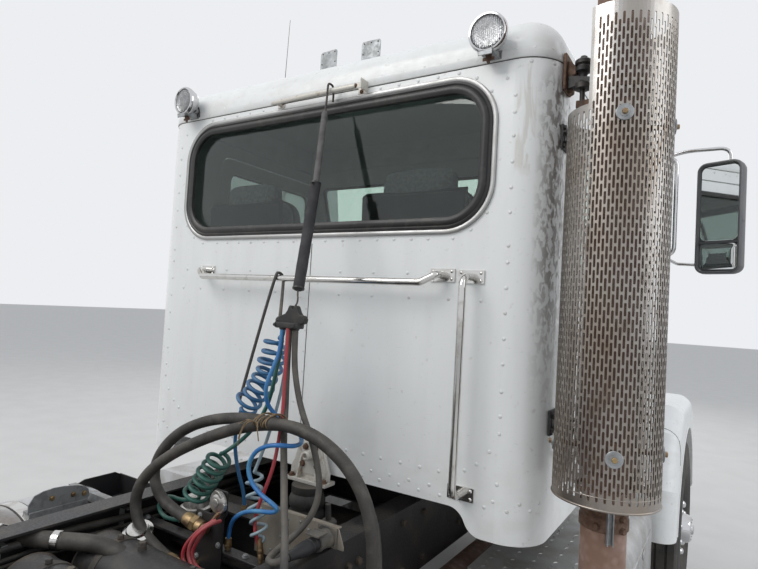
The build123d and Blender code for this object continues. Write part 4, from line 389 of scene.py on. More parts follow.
class Builder:
    """Collects vertices and faces of one piece in the model's frame."""

    def __init__(self):
        self.verts = []
        self.faces = []

    def add(self, verts, faces):
        start = len(self.verts)
        self.verts += [tuple(v) for v in verts]
        self.faces += [tuple(start + i for i in face) for face in faces]

    def grid(self, rows, closed=False):
        """Quads between rows of points, each row closed on itself if asked."""
        width = len(rows[0])
        start = len(self.verts)
        for row in rows:
            self.verts += [tuple(v) for v in row]
        for r in range(len(rows) - 1):
            for c in range(width if closed else width - 1):
                d = (c + 1) % width
                a = start + r * width
                b = a + width
                self.faces.append((a + c, a + d, b + d, b + c))

    def lathe(self, profile, origin, axis, around=32, caps=True):
        """Turns (along, radius) pairs about an axis through the origin."""
        turn = frame_of(axis)
        self.grid([[Vector(origin) + turn @ p for p in ring(radius, around, along)]
            for along, radius in profile], closed=True)
        if caps:
            self.close_ends(around, len(profile))

    def cap(self, count):
        """Closes the last ring of points."""
        self.faces.append(tuple(range(len(self.verts) - count, len(self.verts))))

    def stack(self, rows):
        """Closed rings of points, the last one capped."""
        self.grid(rows, closed=True)
        self.cap(len(rows[0]))

    def close_ends(self, count, rows):
        """Closes the last and the first ring of a grid."""
        end = len(self.verts)
        begin = end - count * rows
        self.faces.append(tuple(range(end - 1, end - count - 1, -1)))
        self.faces.append(tuple(range(begin, begin + count)))

    def sweep(self, path, section, closed=False, up=UP):
        """Carries a closed section, in (side, up) pairs, along a path."""
        rows = []
        count = len(path)
        points = [Vector(p) for p in path]
        for i, point in enumerate(points):
            before = points[i - 1] if closed or i else points[i]
            after = points[(i + 1) % count] if closed or i < count - 1 else points[i]
            along = (after - before).normalized()
            side = along.cross(Vector(up)).normalized()
            rise = side.cross(along)
            rows.append([point + side * s + rise * u for s, u in section])
        if closed:
            rows.append(rows[0])
        self.grid(rows, closed=True)
        if not closed:
            self.close_ends(len(section), len(rows))

    def block(self, low, high, turn=None, origin=(0, 0, 0)):
        """Box between two corners, turned about the origin if a matrix is given."""
        (x0, y0, z0), (x1, y1, z1) = low, high
        corners = [(x0, y0, z0), (x1, y0, z0), (x1, y1, z0), (x0, y1, z0), (x0, y0, z1), (x1, y0, z1),
            (x1, y1, z1), (x0, y1, z1)]
        if turn is not None:
            corners = [Vector(origin) + turn @ Vector(c) for c in corners]
        self.add(corners, [(0, 3, 2, 1), (4, 5, 6, 7), (0, 1, 5, 4), (1, 2, 6, 5), (2, 3, 7, 6),
            (3, 0, 4, 7)])

    def prism(self, outline, origin, along, right, depth):
        """Extrudes a flat outline, given in (right, up) pairs, by a depth."""
        along = Vector(along).normalized()
        right = Vector(right).normalized()
        up = along.cross(right)
        base = [Vector(origin) + right * a + up * b for a, b in outline]
        count = len(base)
        self.add(base + [p + along * depth for p in base], [tuple(range(count - 1, -1, -1)),
            tuple(range(count, 2 * count))] + [(i, (i + 1) % count, count + (i + 1) % count, count + i)
            for i in range(count)])

    def dome(self, origin, axis, radius, height, around=8):
        """Rivet or cap nut head."""
        turn = frame_of(axis)
        self.stack([[Vector(origin) + turn @ p for p in ring(radius * cos(share * pi / 2), around,
            height * sin(share * pi / 2))] for share in (0.0, 0.45, 0.8)])

    def bolt(self, origin, axis, across, height, washer=0.0):
        """Hexagon head, with a washer under it if asked."""
        if washer:
            self.lathe([(0, washer), (height * 0.3, washer)], origin, axis, 20)
        half = across / 2 / cos(pi / 6)
        self.lathe([(0, half), (height * 0.85, half), (height, half * 0.86)], origin, axis, 6)

    def finish(self, name, material, body="chassis", replaces=(), bevel=0.0, smooth=35.0, slot=None):
        """Makes the object and rides it on its body."""
        mesh = bpy.data.meshes.new(name)
        mesh.from_pydata(self.verts, [], self.faces)
        work = bmesh.new()
        work.from_mesh(mesh)
        bmesh.ops.remove_doubles(work, verts=work.verts, dist=WELD)
        bmesh.ops.recalc_face_normals(work, faces=work.faces)
        work.to_mesh(mesh)
        work.free()
        obj = bpy.data.objects.new(name, mesh)
        scene.collection.objects.link(obj)
        mesh.materials.append(MATERIALS[material])
        mesh.shade_smooth()
        mesh.set_sharp_from_angle(angle=radians(smooth))
        if bevel:
            cut = obj.modifiers.new("edge", "BEVEL")
            cut.width = bevel
            cut.segments = 2
            cut.limit_method = "ANGLE"
        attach(obj, body)
        if replaces:
            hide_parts(*replaces)
        return obj


def builders(count):
    """New builders for pieces that are made together."""
    return [Builder() for _ in range(count)]


def frame_of(axis):
    """Matrix that turns +Z onto the axis."""
    return Vector(UP).rotation_difference(Vector(axis)).to_matrix()


def ring(radius, count, height=0.0):
    """Points evenly round +Z."""
    return [Vector((radius * cos(TURN * k / count), radius * sin(TURN * k / count), height))
        for k in range(count)]


def round_axle(x, y, z, radius, count, start=0.0):
    """Places evenly round an axle along X."""
    angles = [TURN * (k + start) / count for k in range(count)]
    return [(x, y + radius * cos(angle), z + radius * sin(angle)) for angle in angles]


def circle(radius, count=12, squash=1.0):
    """Round section for a sweep."""
    return [(radius * cos(TURN * k / count), radius * squash * sin(TURN * k / count)) for k in range(count)]


def rounded_path(half_w, half_h, radius, steps=10):
    """Closed rounded rectangle in (x, z) pairs about its centre."""
    points = []
    for quarter, (sx, sz) in enumerate(((1, 1), (-1, 1), (-1, -1), (1, -1))):
        for k in range(steps + 1):
            angle = (quarter + k / steps) * pi / 2
            points.append((sx * (half_w - radius) + radius * cos(angle),
                sz * (half_h - radius) + radius * sin(angle)))
    return points


# Camera at the photograph's place, solved from the rear wall's straight edges
EYE = Vector((-1.4421, 1.2253, 1.7555))
YAW, PITCH, ROLL = 0.5672, 0.0419, 0.0581
PHOTO_W = 758
FOCAL_PX = 560.0
forward = Vector((sin(YAW) * cos(PITCH), -cos(YAW) * cos(PITCH), sin(PITCH)))
level_right = Vector((-cos(YAW), -sin(YAW), 0))
level_up = level_right.cross(forward)
right = cos(ROLL) * level_right + sin(ROLL) * level_up
up = cos(ROLL) * level_up - sin(ROLL) * level_right
camera_data = bpy.data.cameras.new("camera")
camera_data.sensor_width = 36.0
camera_data.lens = FOCAL_PX / PHOTO_W * camera_data.sensor_width
camera_data.clip_start = 0.02
camera = bpy.data.objects.new("camera", camera_data)
camera.matrix_world = Matrix((
    (right.x, up.x, -forward.x, EYE.x),
    (right.y, up.y, -forward.y, EYE.y),
    (right.z, up.z, -forward.z, EYE.z),
    (0, 0, 0, 1),
))
scene.collection.objects.link(camera)
scene.camera = camera

# Floor, pale surroundings and soft light
floor_shade = Shade("floor_pale", (0.62, 0.61, 0.585), 0.9)
floor_shade.to(floor_shade.blend(floor_shade.span(floor_shade.noise(3.0, 6.0), 0.35, 0.65),
    (0.615, 0.605, 0.585), (0.645, 0.635, 0.615)), "Base Color")
floor_mesh = bpy.data.meshes.new("floor")
FLOOR_HALF = 60.0
floor_mesh.from_pydata([(-FLOOR_HALF, -FLOOR_HALF, 0), (FLOOR_HALF, -FLOOR_HALF, 0),
    (FLOOR_HALF, FLOOR_HALF, 0), (-FLOOR_HALF, FLOOR_HALF, 0)], [], [(0, 1, 2, 3)])
floor_mesh.materials.append(floor_shade.mat)
floor = bpy.data.objects.new("floor", floor_mesh)
scene.collection.objects.link(floor)

world = bpy.data.worlds.new("pale_surroundings")
world.use_nodes = True
scene.world = world
world_nodes, world_links = world.node_tree.nodes, world.node_tree.links
sky = world_nodes["Background"]
light_path = world_nodes.new("ShaderNodeLightPath")
backdrop = world_nodes.new("ShaderNodeMix")
backdrop.data_type = "RGBA"
backdrop.inputs[6].default_value = (0.624, 0.655, 0.702, 1.0)
backdrop.inputs[7].default_value = (0.84, 0.855, 0.88, 1.0)
seen = light_path.outputs["Is Camera Ray"]
for ray in ("Is Glossy Ray", "Is Transmission Ray"):
    either = world_nodes.new("ShaderNodeMath")
    either.operation = "MAXIMUM"
    world_links.new(seen, either.inputs[0])
    world_links.new(light_path.outputs[ray], either.inputs[1])
    seen = either.outputs[0]
world_links.new(seen, backdrop.inputs[0])
world_links.new(backdrop.outputs[2], sky.inputs["Color"])
sky.inputs["Strength"].default_value = 1.0


def area_light(name, place, target, size, power, color):
    """Soft rectangular lamp aimed at a point."""
    data = bpy.data.lights.new(name, "AREA")
    data.size = size
    data.energy = power
    data.color = color
    lamp = bpy.data.objects.new(name, data)
    lamp.location = place
    lamp.rotation_euler = (Vector(target) - Vector(place)).to_track_quat("-Z", "Y").to_euler()
    scene.collection.objects.link(lamp)


area_light("key_lamp", (3.5, 6.5, 8.5), (0, -0.5, 1.4), 6.0, 500.0, (1.0, 0.985, 0.96))
area_light("fill_lamp", (-8.0, -1.5, 5.5), (0, -1.0, 1.2), 6.0, 195.0, (0.96, 0.98, 1.0))
area_light("front_lamp", (3.5, -10.0, 5.0), (0, -2.5, 1.2), 6.0, 195.0, (1.0, 0.99, 0.97))


# Cords: the routes of the model, each a smooth spline
HOSE_FRONT = (
    (-0.647, -0.08, 1.0), (-0.645, -0.08, 1.09), (-0.63, -0.08, 1.18), (-0.585, -0.08, 1.268),
    (-0.51, -0.079, 1.336), (-0.405, -0.078, 1.38), (-0.288, -0.076, 1.388), (-0.14, -0.072, 1.358),
    (0.015, -0.052, 1.296), (0.155, -0.022, 1.218), (0.248, 0.0, 1.132), (0.276, 0.008, 1.046),
    (0.24, 0.005, 0.968), (0.172, -0.005, 0.922), (0.095, -0.012, 0.895),
)
HOSE_BACK = (
    (-0.6, -0.168, 1.0), (-0.597, -0.165, 1.074), (-0.583, -0.156, 1.15), (-0.54, -0.146, 1.242),
    (-0.466, -0.138, 1.314), (-0.36, -0.131, 1.362), (-0.215, -0.128, 1.374), (-0.065, -0.126, 1.366),
    (0.075, -0.116, 1.338), (0.185, -0.098, 1.288), (0.258, -0.08, 1.216), (0.285, -0.066, 1.136),
    (0.245, -0.058, 1.07), (0.162, -0.056, 1.032), (0.074, -0.058, 1.018),
)
CABLE_LONG = (
    (-0.204, -0.184, 1.672), (-0.204, -0.184, 1.588), (-0.208, -0.181, 1.495), (-0.213, -0.18, 1.405),
    (-0.238, -0.152, 1.32), (-0.312, -0.08, 1.238), (-0.362, -0.03, 1.174), (-0.41, 0.014, 1.121),
    (-0.444, 0.05, 1.076), (-0.456, 0.062, 1.024), (-0.456, 0.062, 0.976),
)
CABLE_PLUGGED = (
    (-0.228, -0.188, 1.672), (-0.228, -0.188, 1.585), (-0.241, -0.192, 1.495), (-0.272, -0.19, 1.412),
    (-0.324, -0.181, 1.338), (-0.367, -0.17, 1.262), (-0.392, -0.157, 1.192), (-0.39, -0.136, 1.13),
    (-0.366, -0.105, 1.08), (-0.348, -0.06, 1.05), (-0.352, -0.008, 1.04), (-0.372, 0.036, 1.042),
    (-0.406, 0.048, 1.047), (-0.412, 0.02, 1.048), (-0.412, 0.0, 1.048),
)
GREEN_LEAD = (
    (-0.17, -0.19, 1.672), (-0.17, -0.19, 1.6), (-0.157, -0.186, 1.53), (-0.142, -0.188, 1.455),
    (-0.118, -0.186, 1.385), (-0.08, -0.17, 1.318), (-0.035, -0.148, 1.268), (0.002, -0.12, 1.23),
)
GREEN_COIL = ((0.002, -0.12, 1.23), (0.118, -0.108, 1.062))
GREEN_TAIL = (
    (0.118, -0.108, 1.062), (0.168, -0.104, 1.046), (0.222, -0.1, 1.05), (0.268, -0.098, 1.034),
    (0.282, -0.096, 0.998), (0.25, -0.096, 0.972), (0.196, -0.098, 0.974), (0.145, -0.1, 0.985),
    (0.095, -0.1, 0.985),
)
BLUE_LEAD = (
    (-0.16, -0.206, 1.672), (-0.16, -0.206, 1.646), (-0.136, -0.222, 1.64), (-0.11, -0.235, 1.632),
)
BLUE_COIL = (
    (-0.11, -0.235, 1.632), (-0.098, -0.235, 1.58), (-0.08, -0.235, 1.52), (-0.05, -0.235, 1.465),
    (-0.012, -0.232, 1.415), (0.028, -0.228, 1.37),
)
BLUE_TAIL = (
    (0.028, -0.228, 1.37), (0.054, -0.232, 1.318), (0.07, -0.24, 1.258), (0.074, -0.252, 1.194),
    (0.068, -0.266, 1.13), (0.056, -0.282, 1.07), (0.05, -0.29, 1.024), (0.05, -0.29, 1.0),
)
BLUE_HOSE = (
    (-0.184, -0.172, 1.672), (-0.184, -0.172, 1.6), (-0.164, -0.16, 1.535), (-0.142, -0.152, 1.468),
    (-0.14, -0.176, 1.403), (-0.192, -0.205, 1.358), (-0.256, -0.21, 1.334), (-0.302, -0.17, 1.316),
    (-0.318, -0.112, 1.318), (-0.296, -0.068, 1.326), (-0.252, -0.06, 1.318), (-0.202, -0.062, 1.29),
    (-0.174, -0.065, 1.24), (-0.188, -0.068, 1.195), (-0.23, -0.068, 1.166), (-0.276, -0.07, 1.15),
    (-0.302, -0.076, 1.134), (-0.276, -0.082, 1.116), (-0.215, -0.086, 1.106), (-0.15, -0.092, 1.088),
    (-0.098, -0.098, 1.054), (-0.066, -0.11, 1.008), (-0.066, -0.11, 0.967),
)
RED_LINE = (
    (-0.058, -0.058, 1.058), (-0.04, -0.042, 1.029), (-0.024, -0.022, 0.99), (-0.006, -0.014, 0.95),
    (-0.018, -0.014, 0.914), (-0.061, -0.018, 0.898), (-0.104, -0.026, 0.886), (-0.116, -0.008, 0.88),
    (-0.116, 0.01, 0.88),
)
GREY_LEAD = (
    (-0.186, -0.2, 1.672), (-0.186, -0.2, 1.616), (-0.176, -0.21, 1.55), (-0.164, -0.214, 1.48),
    (-0.154, -0.208, 1.412), (-0.148, -0.19, 1.34), (-0.148, -0.16, 1.27), (-0.15, -0.125, 1.205),
)
GREY_COIL = (
    (-0.15, -0.125, 1.205), (-0.152, -0.122, 1.15), (-0.172, -0.118, 1.095), (-0.196, -0.112, 1.045),
    (-0.205, -0.11, 1.0),
)
STRAP = (
    (-0.143, -0.202, 1.693), (0.074, -0.449, 1.837), (0.08, -0.45, 1.86), (0.084, -0.432, 1.874),
    (0.087, -0.41, 1.866), (0.123, -0.3, 1.372),
)
RED_SECOND = (
    (-0.07, -0.048, 1.052), (-0.048, -0.026, 1.04), (-0.02, -0.004, 1.006), (0.012, 0.004, 0.962),
    (0.01, 0.008, 0.922), (-0.04, 0.006, 0.902), (-0.09, 0.002, 0.89), (-0.116, 0.016, 0.884),
)
RED_THIRD = (
    (-0.076, -0.06, 1.048), (-0.078, -0.03, 1.052), (-0.06, 0.0, 1.034), (-0.03, 0.014, 0.994),
    (-0.026, 0.018, 0.95), (-0.06, 0.02, 0.92), (-0.1, 0.014, 0.9), (-0.118, -0.006, 0.89),
)
RED_HANGING = (
    (-0.212, -0.168, 1.672), (-0.212, -0.168, 1.59), (-0.214, -0.166, 1.495), (-0.217, -0.164, 1.405),
    (-0.224, -0.146, 1.32), (-0.228, -0.126, 1.24), (-0.212, -0.11, 1.165), (-0.186, -0.102, 1.09),
    (-0.184, -0.104, 1.03), (-0.2, -0.11, 0.99),
)


def spline_curve(name, points, radius, material, rings=4, steps=8):
    """Tube along a smooth spline with the route's points as control points."""
    curve = bpy.data.curves.new(name, "CURVE")
    curve.dimensions = "3D"
    curve.bevel_depth = radius
    curve.bevel_resolution = rings
    curve.resolution_u = steps
    curve.use_fill_caps = True
    spline = curve.splines.new("NURBS")
    spline.points.add(len(points) - 1)
    for point, place in zip(spline.points, points):
        point.co = (*place, 1.0)
    spline.order_u = 3
    spline.use_endpoint_u = True
    if material:
        curve.materials.append(MATERIALS[material])
    obj = bpy.data.objects.new(name, curve)
    scene.collection.objects.link(obj)
    return obj


def spline_points(route, steps=10):
    """Points along a route's spline."""
    probe = spline_curve("probe", route, 0.0, None, steps=steps)
    bpy.context.view_layer.update()
    mesh = bpy.data.meshes.new_from_object(probe)
    points = [v.co.copy() for v in mesh.vertices]
    curve = probe.data
    bpy.data.objects.remove(probe)
    bpy.data.curves.remove(curve)
    bpy.data.meshes.remove(mesh)
    return points


def line_length(points):
    return sum((b - a).length for a, b in zip(points, points[1:]))


def at_share(points, share):
    """Point and direction at a share of a line's length."""
    goal = share * line_length(points)
    for a, b in zip(points, points[1:]):
        step = (b - a).length
        if goal <= step:
            return a + (b - a) * (goal / step), (b - a).normalized()
        goal -= step
    return points[-1].copy(), (points[-1] - points[-2]).normalized()


PER_TURN = 14


def helix(route, radius, turns, uneven=0.05, phase=0.0, ends=0.6):
    """Control points of a coiled air line about a route, its ends drawn in to the axis."""
    axis = [Vector(route[0]), Vector(route[1])] if len(route) == 2 else spline_points(route)
    count = round(turns * PER_TURN)
    reach = 2 * radius / (1 + cos(TURN / PER_TURN))
    start_side = (axis[1] - axis[0]).normalized().cross(Vector(BACK)).normalized()
    points = []
    for k in range(count + 1):
        place, along = at_share(axis, k / count)
        side = (start_side - along * start_side.dot(along)).normalized()
        other = along.cross(side)
        angle = phase + TURN * k / PER_TURN
        open_share = min(1.0, (k + 0.5) / (ends * PER_TURN), (count - k + 0.5) / (ends * PER_TURN))
        swing = 1 + uneven * sin(angle * 0.37 + 1.3)
        size = reach * sin(open_share * pi / 2) * swing
        points.append(tuple(place + (side * cos(angle) + other * sin(angle)) * size))
    return points


def cord(name, points, radius, material, node, rings=4,
        steps=8):
    """Makes a cord whose length is its own spline's, riding on the chassis in place of the node."""
    obj = spline_curve(name, points, radius, material, rings, steps)
    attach(obj, "chassis")
    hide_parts(node)
    length = round(line_length(spline_points(points)), 3)


# Radii of the tubes
HOSE_TUBE = 0.019
AIR_TUBE = 0.007
RED_TUBE = 0.006
GREY_TUBE = 0.0055
cord("hydraulic_hose_front", HOSE_FRONT, HOSE_TUBE, "hose", "hydraulic_hoses")
cord("hydraulic_hose_back", HOSE_BACK, HOSE_TUBE, "hose", "hydraulic_hoses")
cord("trailer_cable_long", CABLE_LONG, 0.011, "cable", "trailer_cables")
cord("trailer_cable_plugged", CABLE_PLUGGED, 0.01, "cable", "trailer_cables")
cord("green_air_line_coiled", GREEN_LEAD[:-1] + tuple(helix(GREEN_COIL, 0.037, 6.5)) + GREEN_TAIL[1:],
    AIR_TUBE, "green", "green_air_line", rings=3, steps=4)
cord("blue_air_line_coiled", BLUE_LEAD[:-1] + tuple(helix(BLUE_COIL, 0.04, 8.5, 0.09, 2.0)) + BLUE_TAIL[1:],
    AIR_TUBE, "navy", "blue_air_line", rings=3, steps=4)
cord("blue_air_hose", BLUE_HOSE, AIR_TUBE, "blue", "loose_air_hoses")
for name, route in (("red_air_line", RED_LINE), ("red_air_line_second", RED_SECOND),
        ("red_air_line_third", RED_THIRD), ("red_air_line_hanging", RED_HANGING)):
    cord(name, route, RED_TUBE, "red", "loose_air_hoses")
cord("grey_air_line_coiled", GREY_LEAD[:-1] + tuple(helix(GREY_COIL, 0.024, 5.5, 0.08)), GREY_TUBE, "pale",
    "loose_air_hoses", rings=3, steps=4)
cord("rubber_strap_tied", STRAP, 0.006, "rubber", "rubber_strap")


# Heat shield: a slotted sheet rolled round the stack
shield_low, shield_high = (Vector(c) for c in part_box("heat_shield"))
stack_middle = Vector(((shield_low.x + shield_high.x) / 2, (shield_low.y + shield_high.y) / 2, 0))
pipe_low, pipe_high = (Vector(c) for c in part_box("exhaust_pipe"))
SHIELD_R = (shield_high.y - shield_low.y) / 2
SHIELD_SHEET = 0.003
COLUMNS = 88
SLOT_PITCH = 0.0437
SLOT_LEN = 0.0375
SLOT_W = 0.0067
PLAIN_FOOT = 0.042
NOTCH_LOW_Z = 2.372
NOTCH_IN = 0.062
SHIELD_RIM_Z = 2.652
PLAIN_HEAD = 0.038
PLAIN_SIDE = 2


def shield_point(column, z, radius):
    angle = TURN * column / COLUMNS
    return stack_middle + Vector((radius * cos(angle), radius * sin(angle), z))


def quad(made, column, low, high, both):
    """Plain strip of one column between two heights."""
    outer, inner = zip(*[both(c, z) for c, z in ((column, low), (column + 1, low), (column + 1, high),
        (column, high))])
    made.add(outer, [(0, 1, 2, 3)])
    made.add(inner, [(3, 2, 1, 0)])


def slotted_sheet():
    """Rolled sheet with staggered slots: each cell is a frame of faces round its slot."""
    made = Builder()
    half_w = SLOT_W / 2 / (TURN * SHIELD_R / COLUMNS)
    rows = int((SHIELD_RIM_Z - shield_low.z - PLAIN_FOOT) / SLOT_PITCH)
    open_half = acos(NOTCH_IN / SHIELD_R) / TURN * COLUMNS
    slot = [(half_w, -0.42), (half_w, 0.42), (half_w * 0.5, 0.48), (-half_w * 0.5, 0.48), (-half_w, 0.42),
        (-half_w, -0.42), (-half_w * 0.5, -0.48), (half_w * 0.5, -0.48)]
    border = [(0.5, -0.5), (0.5, 0.0), (0.5, 0.5), (-0.5, 0.5), (-0.5, 0.0), (-0.5, -0.5)]
    # faces between the cell's border (0 to 5) and its slot (6 to 13)
    loops = ((0, 1, 7, 6), (1, 2, 7), (2, 3, 9, 8, 7), (3, 4, 10, 9), (4, 5, 11, 10), (5, 0, 6, 13, 12, 11))
    inner_r = SHIELD_R - SHIELD_SHEET

    def both(column, z):
        return shield_point(column, z, SHIELD_R), shield_point(column, z, inner_r)

    for c in range(COLUMNS):
        shift = 0.5 * (c % 2)
        side = (c + 0.5 + COLUMNS / 2) % COLUMNS - COLUMNS / 2
        cut = abs(side) < open_half
        top = NOTCH_LOW_Z if cut else SHIELD_RIM_Z
        beside_cut = not cut and abs(side) < open_half + PLAIN_SIDE
        if cut or beside_cut:
            slots_end = NOTCH_LOW_Z - 0.01
        else:
            slots_end = SHIELD_RIM_Z - PLAIN_HEAD
        base = shield_low.z + PLAIN_FOOT
        marks = [shield_low.z]
        for r in range(rows + 1):
            low = base + (r + shift - 0.5) * SLOT_PITCH
            if low < shield_low.z + 0.02 or low + SLOT_PITCH > min(slots_end + SLOT_PITCH / 2, top - 0.004):
                continue
            if len(marks) == 1:
                quad(made, c, marks[0], low, both)
            mid = low + SLOT_PITCH / 2
            outer, inner = zip(*[both(c + 0.5 + du, mid + dv * SLOT_PITCH) for du, dv in border])
            hole_out, hole_in = zip(*[both(c + 0.5 + du, mid + dv * SLOT_LEN) for du, dv in slot])
            for edge, hole, order in ((outer, hole_out, 1), (inner, hole_in, -1)):
                made.add(edge + hole, [loop[::order] for loop in loops])
            made.add(hole_out + hole_in, [(i, (i + 1) % 8, 8 + (i + 1) % 8, 8 + i) for i in range(8)])
            marks.append(low + SLOT_PITCH)
        quad(made, c, marks[-1], top, both)
        edge_low = [shield_point(c + k, shield_low.z, rad) for k in (0, 1) for rad in (SHIELD_R, inner_r)]
        edge_top = [shield_point(c + k, top, rad) for k in (0, 1) for rad in (SHIELD_R, inner_r)]
        made.add(edge_low, [(0, 1, 3, 2)])
        made.add(edge_top, [(0, 2, 3, 1)])
    return made


slotted_sheet().finish("heat_shield_slotted", "shield", replaces=["heat_shield"], smooth=20.0)


# Stack: washers through the shield, spacers, clamp with its tab, and the rusty bracket
def on_stack(angle, z, radius):
    """Point and outward direction on a cylinder about the stack."""
    out = Vector((cos(radians(angle)), sin(radians(angle)), 0))
    return Vector((stack_middle.x, stack_middle.y, z)) + out * radius, out


washers, shield_bolts, spacers = builders(3)
for angle, z in ((104.5, 2.331), (107.5, 1.388), (284.5, 2.331), (287.5, 1.388), (14.0, 1.388),
        (195.0, 2.331), (195.0, 1.388)):
    place, out = on_stack(angle, z, SHIELD_R - 0.001)
    washers.lathe([(0.0, 0.0235), (0.0035, 0.0235), (0.0045, 0.022)], place, out, 28)
    washers.lathe([(0.004, 0.013), (0.0065, 0.013)], place, out, 20)
    shield_bolts.bolt(place + out * 0.006, out, 0.014, 0.0085)
    inner, out = on_stack(angle, z, 0.074)
    spacers.lathe([(0.0, 0.008), (SHIELD_R - 0.077, 0.008)], inner, out, 12)
    tab, out = on_stack(angle, z + 0.03, SHIELD_R - 0.012)
    across = Vector((-out.y, out.x, 0))
    spacers.prism([(-0.011, -0.01), (0.011, -0.01), (0.011, 0.012), (-0.011, 0.012)], tab, out, across, 0.008)
washers.finish("shield_washers", "galvanised", replaces=["heat_shield"], smooth=30, slot="stainless")
shield_bolts.finish("shield_bolts", "brass", replaces=["heat_shield"], smooth=30, slot="stainless")
spacers.finish("shield_spacers", "rusty", replaces=["heat_shield"], slot="stainless")

foot_roll = Builder()
for z, height in ((shield_low.z + 0.0035, 0.0035), (shield_low.z + 0.036, 0.0015)):
    edge = [on_stack(360.0 * k / 96, z, SHIELD_R - 0.0008)[0] for k in range(96)]
    foot_roll.sweep(edge, circle(height, 8), closed=True)
foot_roll.finish("shield_rolled_edge", "shield", replaces=["heat_shield"], smooth=60)

clamp = Builder()
LOWER_R = 0.0635
clamp.lathe([(1.238, LOWER_R + 0.0005), (1.236, LOWER_R + 0.0045), (1.222, LOWER_R + 0.006),
    (1.208, LOWER_R + 0.0045), (1.205, LOWER_R + 0.0025), (1.196, LOWER_R + 0.0025),
    (1.193, LOWER_R + 0.005), (1.165, LOWER_R + 0.005), (1.162, LOWER_R + 0.0005)],
    (stack_middle.x, stack_middle.y, 0), UP, 48, caps=False)
clamp.finish("stack_clamp_band", "rusty", smooth=40)
clamp_parts, clamp_nuts = builders(2)
TAB_LOW, TAB_HIGH, TAB_HALF, TAB_SHEET = 1.135, 1.24, 0.0085, 0.003
place, out = on_stack(113.0, 0.0, LOWER_R + 0.004)
across = Vector((-out.y, out.x, 0))
for left, right_edge, depth in ((-TAB_HALF, TAB_HALF, 0.004), (-TAB_HALF, -TAB_HALF + TAB_SHEET, 0.018),
        (TAB_HALF - TAB_SHEET, TAB_HALF, 0.018)):
    clamp_parts.prism([(left, TAB_LOW), (right_edge, TAB_LOW), (right_edge, TAB_HIGH), (left, TAB_HIGH)],
        place, out, across, depth)
for angle, z in ((84.0, 1.222), (84.0, 1.18), (146.0, 1.205), (146.0, 1.172)):
    place, out = on_stack(angle, z, LOWER_R + 0.005)
    clamp_nuts.bolt(place, out, 0.015, 0.01, 0.01)
clamp_parts.finish("stack_clamp_tab", "galvanised", bevel=0.0008)
clamp_nuts.finish("stack_clamp_nuts", "rusty")

# Bracket that holds the stack to the cab's corner
bracket = Builder()
bracket.block((-0.96, -0.668, 2.5), (-0.949, -0.588, 2.622))
bracket.prism([(0.0, -0.018), (0.026, -0.01), (0.03, 0.012), (0.012, 0.034), (0.0, 0.04)],
    (-0.96, -0.64, 2.56), BACK, RIGHT, 0.036)
bracket.prism([(0.0, -0.03), (0.016, -0.028), (0.014, -0.06), (0.0, -0.066)], (-0.96, -0.65, 2.56), BACK,
    RIGHT, 0.03)
pipe_out = stack_middle.x + 0.076
bracket.lathe([(-0.02, 0.0765), (-0.019, 0.0805), (0.019, 0.0805), (0.02, 0.0765)],
    (stack_middle.x, stack_middle.y, 2.452), UP, 48, caps=False)
bracket.block((pipe_out - 0.004, -0.628, 2.44), (-0.988, -0.612, 2.466))
bracket.block((pipe_out - 0.01, -0.628, 2.438), (pipe_out + 0.004, -0.56, 2.466))
bracket.finish("stack_bracket_rusted", "rusty", replaces=["stack_bracket"], bevel=0.003)
arm = Builder()
arm.prism([(0.0, -0.022), (0.034, -0.016), (0.066, -0.014), (0.066, 0.006), (0.034, 0.012), (0.0, 0.02)],
    (-0.964, -0.634, 2.53), BACK, RIGHT, 0.03)
arm.lathe([(2.5, 0.02), (2.503, 0.026), (2.52, 0.026), (2.524, 0.019), (2.532, 0.014), (2.548, 0.013),
    (2.556, 0.018), (2.56, 0.0265), (2.572, 0.0275), (2.576, 0.0215), (2.58, 0.0205), (2.585, 0.0265),
    (2.596, 0.0265), (2.6, 0.022)], (-1.006, -0.62, 0.0), UP, 24)
arm.lathe([(2.424, 0.0085), (2.5, 0.0085)], (-1.006, -0.62, 0.0), UP, 12)
arm.bolt((-1.006, -0.62, 2.6), UP, 0.02, 0.012, 0.014)
arm.bolt((-1.006, -0.62, 2.438), DOWN, 0.02, 0.012, 0.014)
arm.finish("stack_bracket_isolator", "cast_black", replaces=["stack_bracket"], smooth=40, slot="rubber")
stays = Builder()
for z in (1.42, 2.35):
    stays.block((-0.956, -0.672, z - 0.04), (-0.949, -0.598, z + 0.04))
    stays.prism([(0.0, -0.018), (0.072, -0.018), (0.072, -0.012), (0.006, -0.012), (0.006, 0.012),
        (0.072, 0.012), (0.072, 0.018), (0.0, 0.018)], (-0.952, -0.655, z), BACK, RIGHT, 0.04)
    for y in (-0.66, -0.61):
        for dz in (0.03, -0.03):
            stays.bolt((-0.956, y, z + dz), RIGHT, 0.014, 0.008, 0.01)
stays.finish("stack_stays", "cast_black", replaces=["stack_bracket"], bevel=0.0015)
stack_rain = Builder()
stack_rain.lathe([(1.262, 0.0765), (1.262, 0.08), (1.27, 0.0805), (1.278, 0.08), (1.278, 0.0765)],
    (stack_middle.x, stack_middle.y, 0), UP, 40, caps=False)
for z in (2.05, 3.05):
    stack_rain.lathe([(z, 0.0762), (z + 0.002, 0.0785), (z + 0.007, 0.0785), (z + 0.009, 0.0762)],
        (stack_middle.x, stack_middle.y, 0), UP, 40, caps=False)
stack_rain.finish("stack_weld_beads", "pipe", smooth=50)


# Rear wall: rivets, seams, window ring and the rail brackets' bolts
WALL_Y = -0.5
CAB_X = 0.95
CORNER_R = 0.13
CORNER_X = 0.82
SEAM_Z = 2.594


